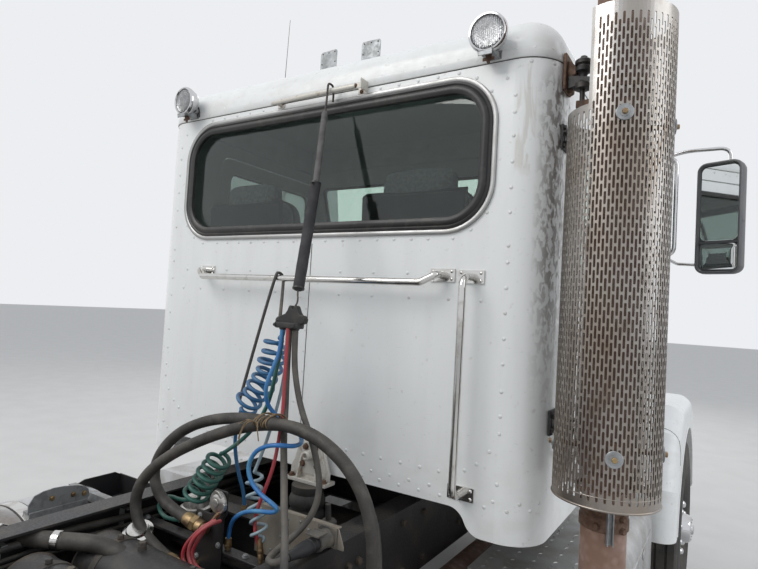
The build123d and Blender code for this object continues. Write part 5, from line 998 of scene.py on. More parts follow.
def on_wall(x, z, proud=0.0):
    """Point and outward direction on the rear wall, which turns round its corners."""
    over = abs(x) - CORNER_X
    if over <= 0:
        return Vector((x, WALL_Y + proud, z)), Vector(BACK)
    angle = min(over / CORNER_R, pi / 2)
    out = Vector((copysign(sin(angle), x), cos(angle), 0))
    middle = Vector((copysign(CORNER_X, x), WALL_Y - CORNER_R, z))
    return middle + out * (CORNER_R + proud), out


RIVET_R = 0.0072
RIVET_H = 0.0034
rivets = Builder()
rivet_places = []
COLUMN_X = 0.825
for side in (-1, 1):
    for z in (2.53, 2.471, 2.415, 2.337, 2.252, 2.168, 2.087, 1.979, 1.925, 1.843, 1.762, 1.68, 1.6, 1.513,
            1.435, 1.38):
        rivet_places.append((side * (COLUMN_X - (0.03 if z > 2.5 else 0.0)), z))
    rivet_places += [(side * x, z) for x, z in ((0.795, 1.319), (0.754, 1.272), (0.714, 1.244),
        (0.825, 1.222), (0.815, 1.167), (0.898, 1.17), (0.786, 1.143), (0.86, 1.144), (0.934, 1.15),
        (0.968, 1.172))]
    rivet_places += [(side * x, 1.885) for x in (0.163, 0.315, 0.46, 0.723)]
    rivet_places += [(side * x, 1.799) for x in (0.164, 0.315, 0.471, 0.624, 0.741)]
    rivet_places += [(side * x, 1.223) for x in (0.24, 0.316, 0.392, 0.473, 0.55, 0.622)]
    rivet_places += [(side * x, 1.171) for x in (0.278, 0.355, 0.433, 0.511, 0.589, 0.664)]
    rivet_places += [(side * x, 1.146) for x in (0.317, 0.392, 0.471, 0.55, 0.629, 0.706)]
    rivet_places += [(side * x, 2.006) for x in (0.082, 0.166, 0.246, 0.323, 0.396, 0.467, 0.534, 0.629)]
    rivet_places += [(side * x, z) for x, z in ((0.693, 2.034), (0.747, 2.09), (0.767, 2.168),
        (0.767, 2.25), (0.768, 2.335), (0.767, 2.42), (0.743, 2.496), (0.687, 2.55))]
    rivet_places += [(side * x, 2.578) for x in (0.3, 0.38, 0.46, 0.54, 0.62, 0.87, 0.95)]
    rivet_places += [(side * x, 2.622) for x in (0.303, 0.392, 0.483, 0.548, 0.614, 0.82, 0.88, 0.94)]
rivet_places += [(-0.008, z) for z in (1.803, 1.735, 1.652, 1.569, 1.489, 1.407, 1.325, 1.243)]
rivet_places += [(0.026, z) for z in (1.78, 1.695, 1.61, 1.53, 1.448, 1.366, 1.284)]
for x, z in rivet_places:
    place, out = on_wall(x, z, -0.0006)
    rivets.dome(place, out, RIVET_R * rng.uniform(0.92, 1.06), RIVET_H)
rivets.finish("wall_rivets", "rivet", smooth=60)

seams = Builder()
lap = [on_wall(s, SEAM_Z, 0.0) for s in [-CORNER_X - CORNER_R * pi / 2 * (1 - k / 12) for k in range(13)]]
lap += [on_wall(s, SEAM_Z, 0.0) for s in [CORNER_X + CORNER_R * pi / 2 * k / 12 for k in range(13)]]
lap_right = [(Vector((-CAB_X, y, SEAM_Z)), Vector(RIGHT)) for y in (-1.6, -1.2, -0.9, -0.7)]
lap_left = [(Vector((CAB_X, y, SEAM_Z)), Vector(LEFT)) for y in (-0.7, -0.9, -1.2, -1.6)]
lap = lap_right + lap + lap_left
LAP_EDGE = ((-0.002, 0.03), (0.0026, 0.029), (0.0032, 0.001), (0.0008, -0.0016), (-0.002, -0.0016))
seams.grid([[place + out * proud + Vector((0, 0, rise)) for proud, rise in LAP_EDGE] for place, out in lap])
seams.finish("roof_lap_edge", "paint", smooth=50)

# painted shadow: the dark bead just under the roof cap's lap edge stands for the lap's shadow line; this
# object also holds the dark line beside the centre panel's lap
lap_shadow_and_sealant_line = Builder()
LAP_SHADOW_BEAD = ((0.0005, -0.0012), (0.0022, -0.0022), (0.0005, -0.0046))
lap_shadow_and_sealant_line.grid([[place + out * proud + Vector((0, 0, rise)) for proud, rise in LAP_SHADOW_BEAD] for place, out in lap])
lap_shadow_and_sealant_line.grid([[(-0.0185, WALL_Y + 0.0002, z), (-0.017, WALL_Y + 0.0011, z),
    (-0.0155, WALL_Y + 0.0002, z)] for z in (1.125, 1.56, 1.995)])
lap_shadow_and_sealant_line.finish("lap_shadow_and_sealant_lines", "sealant_and_lap_shadow", smooth=60)

panel_lap = Builder()
panel_lap.block((-0.015, WALL_Y - 0.002, 1.122), (0.04, WALL_Y + 0.0016, 1.997))
panel_lap.finish("centre_panel_lap", "paint", bevel=0.0006)

# Window ring: rubber against the glass, polished trim round it
WINDOW_Z = 2.293
rubber_ring = Builder()
rubber_path = [(x, WALL_Y + 0.006, WINDOW_Z + z) for x, z in rounded_path(0.735, 0.236, 0.14, 14)]
rubber_section = [(-0.021, -0.01), (-0.019, 0.0035), (-0.012, 0.0062), (-0.007, 0.003), (-0.003, 0.0066),
    (0.004, 0.0098), (0.013, 0.0088), (0.021, 0.004), (0.022, -0.01)]
rubber_ring.sweep(rubber_path, rubber_section, closed=True, up=BACK)
rubber_ring.finish("rear_window_rubber", "seal", replaces=["window_seal"], smooth=50)
trim_ring = Builder()
trim_path = [(x, WALL_Y + 0.001, WINDOW_Z + z) for x, z in rounded_path(0.7615, 0.2625, 0.166, 14)]
trim_section = [(-0.0105, -0.002), (-0.01, 0.0062), (-0.0065, 0.0085), (0.0045, 0.007), (0.009, 0.0035),
    (0.0105, -0.002)]
trim_ring.sweep(trim_path, trim_section, closed=True, up=BACK)
trim_ring.finish("rear_window_trim", "satin", replaces=["window_seal"], smooth=50)

# Grab rail bolts at the corners of the rails' feet
rail_bolts = Builder()
FOOT_HALF = (0.035, 0.013)
for x, z in [(cx + sx * FOOT_HALF[0], cz + sz * FOOT_HALF[1]) for cx, cz in ((0.58, 1.88), (-0.6, 1.88),
        (-0.705, 1.876), (-0.705, 1.17)) for sx in (-1, 1) for sz in (-1, 1)]:
    rail_bolts.dome((x, WALL_Y + 0.0055, z), BACK, 0.0065, 0.004, 10)
rail_bolts.finish("rail_bolts", "polished", smooth=60)


# Work lights: chrome bowl, bezel, reflector, fluted lens and stirrup
LIGHT_X, LIGHT_Y, LIGHT_Z = 0.745, -0.45, 2.665
light_shell, light_lens, light_bulb, light_mirror = builders(4)
for side in (-1, 1):
    middle = (side * LIGHT_X, LIGHT_Y, LIGHT_Z)
    aim = Vector((side * 0.04, 1.0, -0.06)).normalized()
    light_shell.lathe([(-0.04, 0.012), (-0.0385, 0.028), (-0.033, 0.042), (-0.022, 0.053), (-0.006, 0.0595),
        (0.004, 0.0605), (0.005, 0.064), (0.012, 0.066), (0.022, 0.065), (0.0275, 0.061), (0.028, 0.0565),
        (0.024, 0.0535), (0.02, 0.053)], middle, aim, 48)
    light_mirror.lathe([(0.019, 0.0529), (0.01, 0.047), (-0.004, 0.038), (-0.014, 0.026), (-0.019, 0.012)],
        middle, aim, 40)
    turn = frame_of(aim)
    rings = []
    for r, rise in ((0.0532, 0.0), (0.049, 0.0028), (0.04, 0.0052), (0.028, 0.0075), (0.014, 0.009)):
        rings.append([Vector(middle) + turn @ Vector((r * cos(TURN * k / 96), r * sin(TURN * k / 96),
            0.0215 + rise + (0.0007 if k % 4 < 2 else 0.0))) for k in range(96)])
    light_lens.stack(rings)
    light_bulb.lathe([(-0.016, 0.007), (-0.002, 0.009), (0.006, 0.008), (0.01, 0.004)], middle, aim, 16)
light_shell.finish("work_light_bowls", "chrome", replaces=["work_lights"], smooth=40)
light_mirror.finish("work_light_reflectors", "reflector", replaces=["work_lights"], smooth=50)
light_lens.finish("work_light_lenses", "lens", smooth=25)
light_bulb.finish("work_light_bulbs", "amber", smooth=60)

stirrups, stirrup_bolts = builders(2)
for side in (-1, 1):
    x = side * LIGHT_X
    stirrups.block((x - 0.028, -0.502, 2.598), (x + 0.028, -0.4965, 2.628))
    stirrups.block((x - 0.024, -0.5, 2.598), (x + 0.024, -0.418, 2.602))
    stirrups.block((x - 0.024, -0.422, 2.585), (x + 0.024, -0.418, 2.602))
    for low in (0.018, -0.022):
        stirrups.block((x + low, -0.49, 2.6), (x + low + 0.004, -0.425, 2.618))
    stirrup_bolts.lathe([(-0.028, 0.0055), (0.028, 0.0055)], (x, -0.452, 2.6), UP, 12)
    stirrup_bolts.bolt((x, -0.452, 2.5985), DOWN, 0.017, 0.01, 0.011)
    stirrup_bolts.bolt((x, -0.452, 2.602), UP, 0.017, 0.008, 0.011)
    stirrup_bolts.block((x - 0.02, -0.4535, 2.58), (x + 0.02, -0.4505, 2.59))
    for dx in (-0.018, 0.018):
        stirrup_bolts.bolt((x + dx, -0.4965, 2.616), BACK, 0.009, 0.004)
stirrups.finish("work_light_stirrups", "galvanised", replaces=["work_lights"], bevel=0.0012)
stirrup_bolts.finish("work_light_bolts", "rusty", slot="aluminium")
lamp_wires = Builder()
for side in (-1, 1):
    x = side * LIGHT_X
    lamp_wires.sweep([(x - side * 0.01, -0.49, 2.672), (x - side * 0.022, -0.497, 2.65),
        (x - side * 0.03, -0.4965, 2.628), (x - side * 0.034, -0.4965, 2.604)], circle(0.0032, 8), up=LEFT)
lamp_wires.finish("work_light_leads", "seal", smooth=60)

# Roof plates and whip antenna
PLATE_Z = 2.752
roof_plates, plate_bolts = builders(2)
for x, tilt in ((0.118, -0.05), (-0.108, 0.03)):
    face = [(-0.047, 0.0), (0.047, 0.0), (0.047, 0.118), (0.04, 0.126), (-0.04, 0.126), (-0.047, 0.118)]
    spin = Matrix.Rotation(tilt, 3, "Z")
    roof_plates.prism(face, (x, -0.7, PLATE_Z + 0.012), BACK, spin @ Vector(RIGHT), 0.0035)
    roof_plates.block((-0.052, -0.024, -0.0035), (0.052, 0.034, 0.0), spin, (x, -0.7, PLATE_Z + 0.0125))
    roof_plates.block((-0.058, -0.001, -0.002), (-0.03, 0.0045, 0.02), spin, (x, -0.7, PLATE_Z + 0.0125))
    for dx, dz in ((-0.038, 0.026), (0.038, 0.026), (-0.038, 0.07), (0.038, 0.07), (-0.034, 0.116),
            (0.034, 0.116), (0.0, 0.116)):
        plate_bolts.dome(Vector((x, -0.6965, PLATE_Z + 0.012 + dz)) + spin @ Vector((dx, 0, 0)), BACK,
            0.0034, 0.0026, 8)
    for dx in (-0.04, 0.04):
        plate_bolts.bolt(Vector((x, -0.682, PLATE_Z + 0.0125)) + spin @ Vector((dx, 0, 0)), UP, 0.011, 0.006)
roof_plates.finish("roof_antenna_plates", "galvanised", bevel=0.0012)
plate_bolts.finish("roof_plate_screws", "cast", smooth=50, slot="cast_dark")
whip = Builder()
whip.lathe([(0, 0.013), (0.004, 0.013), (0.006, 0.008), (0.026, 0.006), (0.045, 0.003), (0.05, 0.0014),
    (0.345, 0.0009)], (0.377, -0.7, 2.752), (0, -0.03, 1), 10)
whip.finish("roof_whip_antenna", "cast", smooth=45, slot="trim_black")


# Hose tender: enamelled bar, wire hook, sleeves over the rod, and the cast hose clamp
BAR_Z = 2.586
bar = Builder()
bar_rows = []
for x, y, half_z, half_y in ((0.228, -0.47, 0.0015, 0.0015), (0.222, -0.469, 0.005, 0.004),
        (0.205, -0.4675, 0.0085, 0.0065), (0.18, -0.466, 0.01, 0.0075), (0.06, -0.461, 0.0105, 0.008),
        (-0.08, -0.4575, 0.0105, 0.008), (-0.2, -0.4575, 0.0105, 0.008), (-0.212, -0.4575, 0.0095, 0.007)):
    bar_rows.append([Vector((x, y + half_y * cos(TURN * k / 16), BAR_Z + half_z * sin(TURN * k / 16)))
        for k in range(16)])
bar.stack(bar_rows)
bar.finish("tender_rest_bar", "enamel", replaces=["tender_bar"], smooth=50)
bar_mounts = Builder()
bar_mounts.block((-0.244, -0.5005, 2.568), (-0.2, -0.4965, 2.616))
bar_mounts.block((-0.2425, -0.498, 2.572), (-0.2385, -0.452, 2.612))
bar_mounts.block((-0.24, -0.462, 2.577), (-0.196, -0.4585, 2.598))
bar_mounts.block((0.176, -0.5005, 2.573), (0.214, -0.497, 2.6))
bar_mounts.block((0.188, -0.498, 2.58), (0.202, -0.466, 2.592))
bar_mounts.finish("tender_bar_brackets", "enamel", replaces=["tender_bar"], bevel=0.001)
bar_bolts = Builder()
for place, out in (((-0.222, -0.4965, 2.606), BACK), ((-0.216, -0.4965, 2.578), BACK),
        ((0.183, -0.497, 2.594), BACK), ((-0.212, -0.4585, 2.588), BACK)):
    bar_bolts.bolt(place, out, 0.011, 0.005, 0.0085)
bar_bolts.finish("tender_bar_bolts", "rusty", slot="chrome")


WIRE_STEPS = 6
hook = Builder()
hook_line = spline_points([(-0.11, -0.4135, 2.474), (-0.101, -0.43, 2.532), (-0.096, -0.4385, 2.566),
    (-0.095, -0.44, 2.6), (-0.095, -0.446, 2.612), (-0.095, -0.469, 2.612), (-0.095, -0.476, 2.6),
    (-0.096, -0.477, 2.572), (-0.099, -0.472, 2.548)], WIRE_STEPS)
hook.sweep(hook_line, circle(0.0042, 10), up=LEFT)
lower_line = spline_points([(-0.203, -0.217, 1.806), (-0.205, -0.2125, 1.786), (-0.214, -0.206, 1.772),
    (-0.217, -0.2, 1.756), (-0.211, -0.195, 1.742), (-0.204, -0.196, 1.738)], WIRE_STEPS)
hook.sweep(lower_line, circle(0.003, 8), up=LEFT)
hook.finish("tender_hook_wire", "cast", replaces=["tender_bar"], smooth=60, slot="cast_dark")


def sleeve(made, start, end, radius, around=20, rings=26, wrinkle=0.0):
    """Soft sleeve drawn over the rod, a little uneven along its length."""
    start, end = Vector(start), Vector(end)
    turn = frame_of(end - start)
    length = (end - start).length
    rows = []
    for k in range(rings + 1):
        share = k / rings
        round_off = min(1.0, 0.72 + 0.28 * sqrt(min(share, 1 - share) / 0.03))
        wave = 1 + wrinkle * (sin(share * 41.0) * 0.5 + sin(share * 17.0 + 1.0) * 0.5)
        r = radius * round_off * wave
        rows.append([start + turn @ p for p in ring(r, around, length * share)])
    made.stack(rows)
    first = len(made.verts) - around * (rings + 1)
    made.faces.append(tuple(reversed(range(first, first + around))))


upper_sleeve = Builder()
sleeve(upper_sleeve, (-0.108, -0.4165, 2.488), (-0.1505, -0.337, 2.186), 0.0118, wrinkle=0.02)
upper_sleeve.finish("tender_upper_sleeve", "sleeve_grey", replaces=["tender_bar"], smooth=60)
lower_sleeve = Builder()
sleeve(lower_sleeve, (-0.15, -0.338, 2.195), (-0.203, -0.217, 1.8), 0.0195, rings=40, wrinkle=0.025)
lower_sleeve.finish("tender_lower_sleeve", "foam", replaces=["tender_bar"], smooth=60)
sleeve_bands = Builder()
for share in (0.012, 0.985):
    at = Vector((-0.15, -0.338, 2.195)).lerp(Vector((-0.203, -0.217, 1.8)), share)
    sleeve_bands.lathe([(-0.0032, 0.0194), (-0.0026, 0.0208), (0.0026, 0.0208), (0.0032, 0.0194)], at,
        (-0.053, 0.121, -0.395), 24)
sleeve_bands.block((-0.162, -0.318, 2.186), (-0.156, -0.3, 2.19))
sleeve_bands.finish("tender_sleeve_ties", "seal", replaces=["tender_bar"], smooth=40)

clamp = Builder()
CLAMP_BACK_Y = -0.206
clamp_outline = [(-0.262, 1.69), (-0.266, 1.704), (-0.258, 1.715), (-0.244, 1.717), (-0.236, 1.727),
    (-0.229, 1.742), (-0.2245, 1.7475), (-0.2195, 1.7475), (-0.217, 1.74), (-0.212, 1.7355),
    (-0.2065, 1.7375), (-0.204, 1.744), (-0.2, 1.748), (-0.195, 1.745), (-0.189, 1.731), (-0.18, 1.719),
    (-0.166, 1.714), (-0.152, 1.708), (-0.148, 1.696), (-0.156, 1.686), (-0.176, 1.685), (-0.2, 1.688),
    (-0.24, 1.684)]
clamp.prism([(-x, z) for x, z in reversed(clamp_outline)], (0, CLAMP_BACK_Y, 0), BACK, RIGHT, 0.022)
clamp.finish("hose_clamp_casting", "cast_black", replaces=["tender_bar"], bevel=0.003, smooth=40,
    slot="cast_dark")
collar = Builder()
COLLAR_X, COLLAR_Y = -0.198, -0.189
collar_path = rounded_path(0.05, 0.027, 0.016, 5)
collar_rows = [[(COLLAR_X + x * s, COLLAR_Y + y * s, z) for x, y in collar_path]
    for z, s in ((1.6715, 0.9), (1.674, 0.99), (1.68, 1.0), (1.688, 1.0), (1.6905, 0.97))]
collar.stack(collar_rows)
collar.faces.append(tuple(reversed(range(len(collar_path)))))
for x in (-0.24, -0.158):
    collar.bolt((x, -0.164, 1.6815), BACK, 0.01, 0.006)
for x, y, r in ((-0.204, -0.184, 0.0128), (-0.228, -0.188, 0.0118), (-0.17, -0.19, 0.009),
        (-0.16, -0.206, 0.008), (-0.184, -0.172, 0.009), (-0.186, -0.2, 0.0062)):
    collar.lathe([(0, r), (0.0035, r + 0.0012), (0.006, r + 0.0012)], (x, y, 1.6665), UP, 16)
collar.finish("hose_clamp_collar", "cast_black", replaces=["tender_bar"], smooth=40, slot="cast_dark")
knot = Builder()
strap_way = Vector((0.604, -0.688, 0.401)).normalized()
for k, (shift, size, lean) in enumerate(((0.0, 0.0092, 0.3), (0.009, 0.01, -0.4), (0.018, 0.009, 0.5))):
    turn = frame_of(strap_way + Vector((0, 0, lean)))
    at = Vector((-0.143, -0.202, 1.693)) + strap_way * (shift - 0.006)
    knot.sweep([at + turn @ p for p in ring(size, 14)], circle(0.0046, 7), closed=True, up=turn @ Vector(UP))
knot.finish("strap_knot", "rubber", replaces=["tender_bar"], smooth=60)


# Hose plate: stowage plate with socket and plug, crossbar, fittings' bracket and bulkhead
sandy_plate = Builder()
sandy_plate.prism([(0.11, 0.925), (0.11, 1.078), (0.116, 1.084), (0.446, 1.084), (0.452, 1.078),
    (0.471, 1.032), (0.471, 1.02), (0.336, 1.02), (0.336, 0.925)], (0, -0.1895, 0), BACK, RIGHT, 0.004)
sandy_plate.block((-0.449, -0.204, 1.08), (-0.113, -0.1865, 1.084))
sandy_plate.block((-0.113, -0.202, 0.93), (-0.11, -0.1865, 1.083))
sandy_plate.block((-0.4315, -0.228, 1.02), (-0.3425, -0.1865, 1.0255))
sandy_plate.block((-0.384, -0.226, 1.024), (-0.38, -0.188, 1.07))
sandy_plate.finish("stowage_plate", "sandy", replaces=["hose_plate"], bevel=0.0012)
plate_fasteners = Builder()
for x, z in ((-0.13, 1.066), (-0.13, 0.95), (-0.322, 0.944), (-0.3, 1.066), (-0.22, 1.0), (-0.335, 1.05),
        (-0.25, 1.062), (-0.18, 0.946)):
    plate_fasteners.dome((x, -0.1855, z), BACK, 0.0052, 0.003, 10)
for x in (-0.414, -0.358):
    plate_fasteners.bolt((x, -0.206, 1.0255), UP, 0.017, 0.009, 0.013)
for x in (-0.15, 0.012, 0.352, -0.352, 0.398, -0.398):
    plate_fasteners.bolt((x, -0.1075, 0.94), UP, 0.016, 0.009, 0.012)
for x, z in ((-0.05, 0.862), (0.044, 0.9), (0.04, 1.034), (-0.054, 0.96)):
    plate_fasteners.bolt((x, -0.079, z), BACK, 0.013, 0.007, 0.01)
for x, y in ((-0.69, -0.2), (-0.69, -0.048), (-0.46, -0.2), (-0.46, -0.048)):
    plate_fasteners.bolt((x, y, 0.948), UP, 0.015, 0.008, 0.011)
plate_fasteners.finish("hose_plate_fasteners", "galvanised", replaces=["hose_plate"])

PLUG_X, PLUG_Z = -0.412, 1.048
socket = Builder()
socket.block((PLUG_X - 0.036, -0.1855, PLUG_Z - 0.026), (PLUG_X + 0.036, -0.179, PLUG_Z + 0.034))
socket.lathe([(0, 0.029), (0.006, 0.029), (0.01, 0.0262), (0.04, 0.0258), (0.044, 0.0275), (0.054, 0.0275),
    (0.055, 0.0228)], (PLUG_X, -0.18, PLUG_Z), BACK, 32)
socket.block((PLUG_X - 0.024, -0.15, PLUG_Z + 0.026), (PLUG_X + 0.024, -0.104, PLUG_Z + 0.0315))
socket.block((PLUG_X - 0.012, -0.1505, PLUG_Z + 0.0235), (PLUG_X + 0.012, -0.143, PLUG_Z + 0.0335))
for dx in (-0.029, 0.029):
    for dz in (-0.019, 0.027):
        socket.dome((PLUG_X + dx, -0.179, PLUG_Z + dz), BACK, 0.004, 0.0025, 10)
socket.finish("trailer_socket", "grey_housing", replaces=["hose_plate"], bevel=0.0014)
plug = Builder()
plug.lathe([(0, 0.0205), (0.012, 0.022), (0.018, 0.022), (0.019, 0.0206), (0.026, 0.0206), (0.027, 0.0222),
    (0.036, 0.0222), (0.037, 0.0206), (0.046, 0.0206), (0.047, 0.0222), (0.058, 0.022), (0.078, 0.0195),
    (0.092, 0.0165), (0.106, 0.0145), (0.12, 0.013), (0.1285, 0.0122)], (PLUG_X, -0.13, PLUG_Z), BACK, 28)
plug.finish("trailer_plug", "trim", replaces=["hose_plate"], smooth=40)

crossbar = Builder()
crossbar.block((-0.424, -0.13, 0.93), (0.424, -0.085, 0.94))
for x in (-0.424, 0.416):
    crossbar.block((x, -0.13, 0.9), (x + 0.008, -0.085, 0.932))
crossbar.prism([(0.07, 0.845), (0.07, 1.048), (0.081, 1.06), (0.081, 1.13), (0.076, 1.135), (0.028, 1.135),
    (0.022, 1.13), (0.022, 1.062), (0.008, 1.05), (-0.058, 1.05), (-0.062, 1.046), (-0.062, 0.845)],
    (0, -0.085, 0), BACK, RIGHT, 0.006)
crossbar.block((-0.44, -0.219, 0.862), (-0.4325, -0.029, 0.946))
crossbar.block((-0.712, -0.219, 0.94), (-0.4325, -0.029, 0.948))
crossbar.block((-0.712, -0.219, 0.918), (-0.705, -0.029, 0.946))
for y in (-0.205, -0.043):
    crossbar.prism([(0.4385, 0.866), (0.4385, 0.942), (0.54, 0.942)], (0, y - 0.003, 0), BACK, RIGHT, 0.006)
crossbar.finish("hose_crossbar_bulkhead", "black", replaces=["hose_plate"], bevel=0.0015)

gladhand = Builder()
gladhand.lathe([(0, 0.02), (0.002, 0.03), (0.006, 0.035), (0.011, 0.036), (0.016, 0.0345), (0.02, 0.03),
    (0.0235, 0.0215), (0.024, 0.015)], (-0.052, -0.079, 1.1), BACK, 36)
gladhand.lathe([(0, 0.0145), (0.003, 0.015), (0.0042, 0.0105)], (-0.052, -0.0552, 1.1), BACK, 28)
gladhand.prism([(0.028, 1.098), (0.034, 1.128), (0.046, 1.14), (0.064, 1.137), (0.078, 1.122),
    (0.07, 1.118), (0.058, 1.128), (0.046, 1.128), (0.038, 1.118)], (0, -0.064, 0), BACK, RIGHT, 0.008)
gladhand.prism([(0.07, 1.066), (0.088, 1.082), (0.09, 1.1), (0.082, 1.104), (0.074, 1.09), (0.064, 1.078)],
    (0, -0.072, 0), BACK, RIGHT, 0.012)
gladhand.finish("gladhand_coupling", "satin_cast", replaces=["hose_plate"], bevel=0.0012, smooth=45)


def coupler(made, place, way, radius, length):
    """Stepped pipe coupling with a hexagon in its middle."""
    way = Vector(way).normalized()
    made.lathe([(-0.01, radius * 0.86), (0.0, radius * 0.94), (length * 0.1, radius),
        (length * 0.3, radius), (length * 0.32, radius * 0.8)], place, way, 28)
    middle = Vector(place) + way * length * 0.3
    made.lathe([(0, radius * 1.04), (0.0015, radius * 1.1), (length * 0.22, radius * 1.1),
        (length * 0.24, radius * 1.03)], middle, way, 6)
    made.lathe([(length * 0.52, radius * 0.8), (length * 0.56, radius * 0.92),
        (length * 0.8, radius * 0.92), (length * 0.84, radius * 0.74), (length * 0.97, radius * 0.74),
        (length, radius * 0.66)], place, way, 28)


brass = Builder()
coupler(brass, (0.095, -0.012, 0.895), (-0.077, -0.007, -0.027), 0.0238, 0.09)
coupler(brass, (0.074, -0.058, 1.018), (-0.088, -0.002, -0.014), 0.0238, 0.09)
brass.lathe([(0, 0.0115), (0.045, 0.0115)], (0.04, -0.079, 0.876), BACK, 20)
coupler(brass, (0.095, -0.1, 0.985), RIGHT, 0.0165, 0.064)
coupler(brass, (-0.066, -0.11, 0.967), DOWN, 0.0118, 0.028)
coupler(brass, (-0.205, -0.11, 1.0), (-0.009, 0.002, -0.045), 0.0098, 0.061)
coupler(brass, (0.05, -0.29, 1.0), DOWN, 0.0108, 0.024)
coupler(brass, (-0.058, -0.058, 1.058), (-0.018, -0.016, 0.029), 0.0078, 0.025)
brass.finish("line_fittings", "brass", replaces=["hose_plate"])
ferrules = Builder()
for x, y in ((-0.647, -0.08), (-0.645, -0.168)):
    ferrules.lathe([(0.0, 0.0185), (0.002, 0.0225), (0.01, 0.0225), (0.011, 0.0212), (0.013, 0.0212),
        (0.014, 0.0225), (0.022, 0.0225), (0.023, 0.0212), (0.025, 0.0212), (0.026, 0.0225),
        (0.034, 0.0222), (0.04, 0.0196)], (x, y, 0.968), UP, 32)
    ferrules.lathe([(0.0, 0.0268), (0.002, 0.028), (0.018, 0.028), (0.021, 0.0266)], (x, y, 0.948), UP, 6)
    ferrules.lathe([(-0.04, 0.018), (-0.03, 0.02), (-0.008, 0.02)], (x, y, 0.948), UP, 24)
ferrules.lathe([(-0.036, 0.01), (-0.034, 0.015), (-0.014, 0.0158), (-0.012, 0.0135), (0.0, 0.013),
    (0.01, 0.0122)], (-0.456, 0.062, 0.976), UP, 6)
ferrules.block((-0.458, 0.05, 0.942), (-0.4325, 0.074, 0.964))
ferrules.finish("hose_ferrules", "galvanised", replaces=["hose_plate"], slot="stainless")

# Twine round both hydraulic hoses, tied in a bow of loose ends
twine = Builder()
twine_at = Vector((-0.222, -0.1, 1.381))
hose_along = Vector((1.0, 0.02, -0.06)).normalized()
hose_side = Vector(BACK)
hose_up = Vector(UP)
for shift, lean in ((-0.026, 0.1), (-0.017, -0.16), (-0.008, 0.06), (0.003, -0.1), (0.013, 0.18),
        (0.022, -0.04)):
    loop = []
    for k in range(28):
        angle = TURN * k / 28
        wide = 0.0485 + 0.0015 * sin(3 * angle + shift * 300)
        tall = 0.0225 + 0.0015 * cos(2 * angle + shift * 200)
        loop.append(twine_at + hose_along * (shift + lean * 0.03 * sin(angle))
            + hose_side * wide * cos(angle) + hose_up * tall * sin(angle))
    twine.sweep(loop, circle(0.0022, 6), closed=True, up=hose_along)
for way in ((0.055, 0.02, -0.05), (0.072, 0.004, -0.01), (-0.04, 0.03, -0.04), (0.03, 0.045, -0.062)):
    start = twine_at + Vector((0.01, 0.046, -0.004))
    tail = spline_points([tuple(start), tuple(start + Vector((way[0] * 0.3, 0.012, 0.018))),
        tuple(start + Vector((way[0] * 0.8, way[1], way[2] * 0.2))), tuple(start + Vector(way))], 5)
    twine.sweep(tail, circle(0.0019, 6), up=(0, 1, 0.2))
twine.finish("hose_twine", "twine", smooth=70)


# Door mirrors: moulded housing, flat and convex glass, chrome loop and arms
def bent(points, cut, steps=6):
    """Path through the points with its corners rounded."""
    points = [Vector(p) for p in points]
    path = [points[0]]
    for before, corner, after in zip(points, points[1:], points[2:]):
        start = corner + (before - corner).normalized() * cut
        end = corner + (after - corner).normalized() * cut
        for k in range(steps + 1):
            t = k / steps
            path.append(start * (1 - t) ** 2 + corner * 2 * t * (1 - t) + end * t * t)
    path.append(points[-1])
    return path


def tube(made, points, cut, radius):
    """Bent round tube whose path lies in a plane across the truck."""
    made.sweep(bent(points, cut), circle(radius, 14), up=BACK)


MIRROR_X = 1.38
MIRROR_Z = 2.234
MIRROR_Y = -1.615
ARM_Y = -1.64
MIRROR_TURN = radians(21.0)
HEAD_HALF = (0.092, 0.247)
HEAD_R = 0.04
SHELL = ((-0.058, 0.04), (-0.056, 0.028), (-0.048, 0.014), (-0.032, 0.006), (-0.01, 0.0015), (0.016, 0.0),
    (0.03, 0.0015), (0.034, 0.0045), (0.0345, 0.0085), (0.031, 0.0115), (0.014, 0.015))


class MirrorHead:
    """Frame of a door mirror's head, turned inward to the driver."""

    def __init__(self, side):
        self.middle = Vector((side * MIRROR_X, MIRROR_Y, MIRROR_Z))
        self.across = Vector((cos(MIRROR_TURN), side * sin(MIRROR_TURN), 0.0))
        self.back = Vector((-side * sin(MIRROR_TURN), cos(MIRROR_TURN), 0.0))

    def at(self, across, back, up):
        return self.middle + self.across * across + self.back * back + Vector((0, 0, up))

    def rings(self, up, half, radius, stages):
        rows = []
        for back, inset in stages:
            outline = rounded_path(half[0] - inset, half[1] - inset, max(radius - inset, 0.004), 6)
            rows.append([self.at(a, back, up + b) for a, b in outline])
        return rows


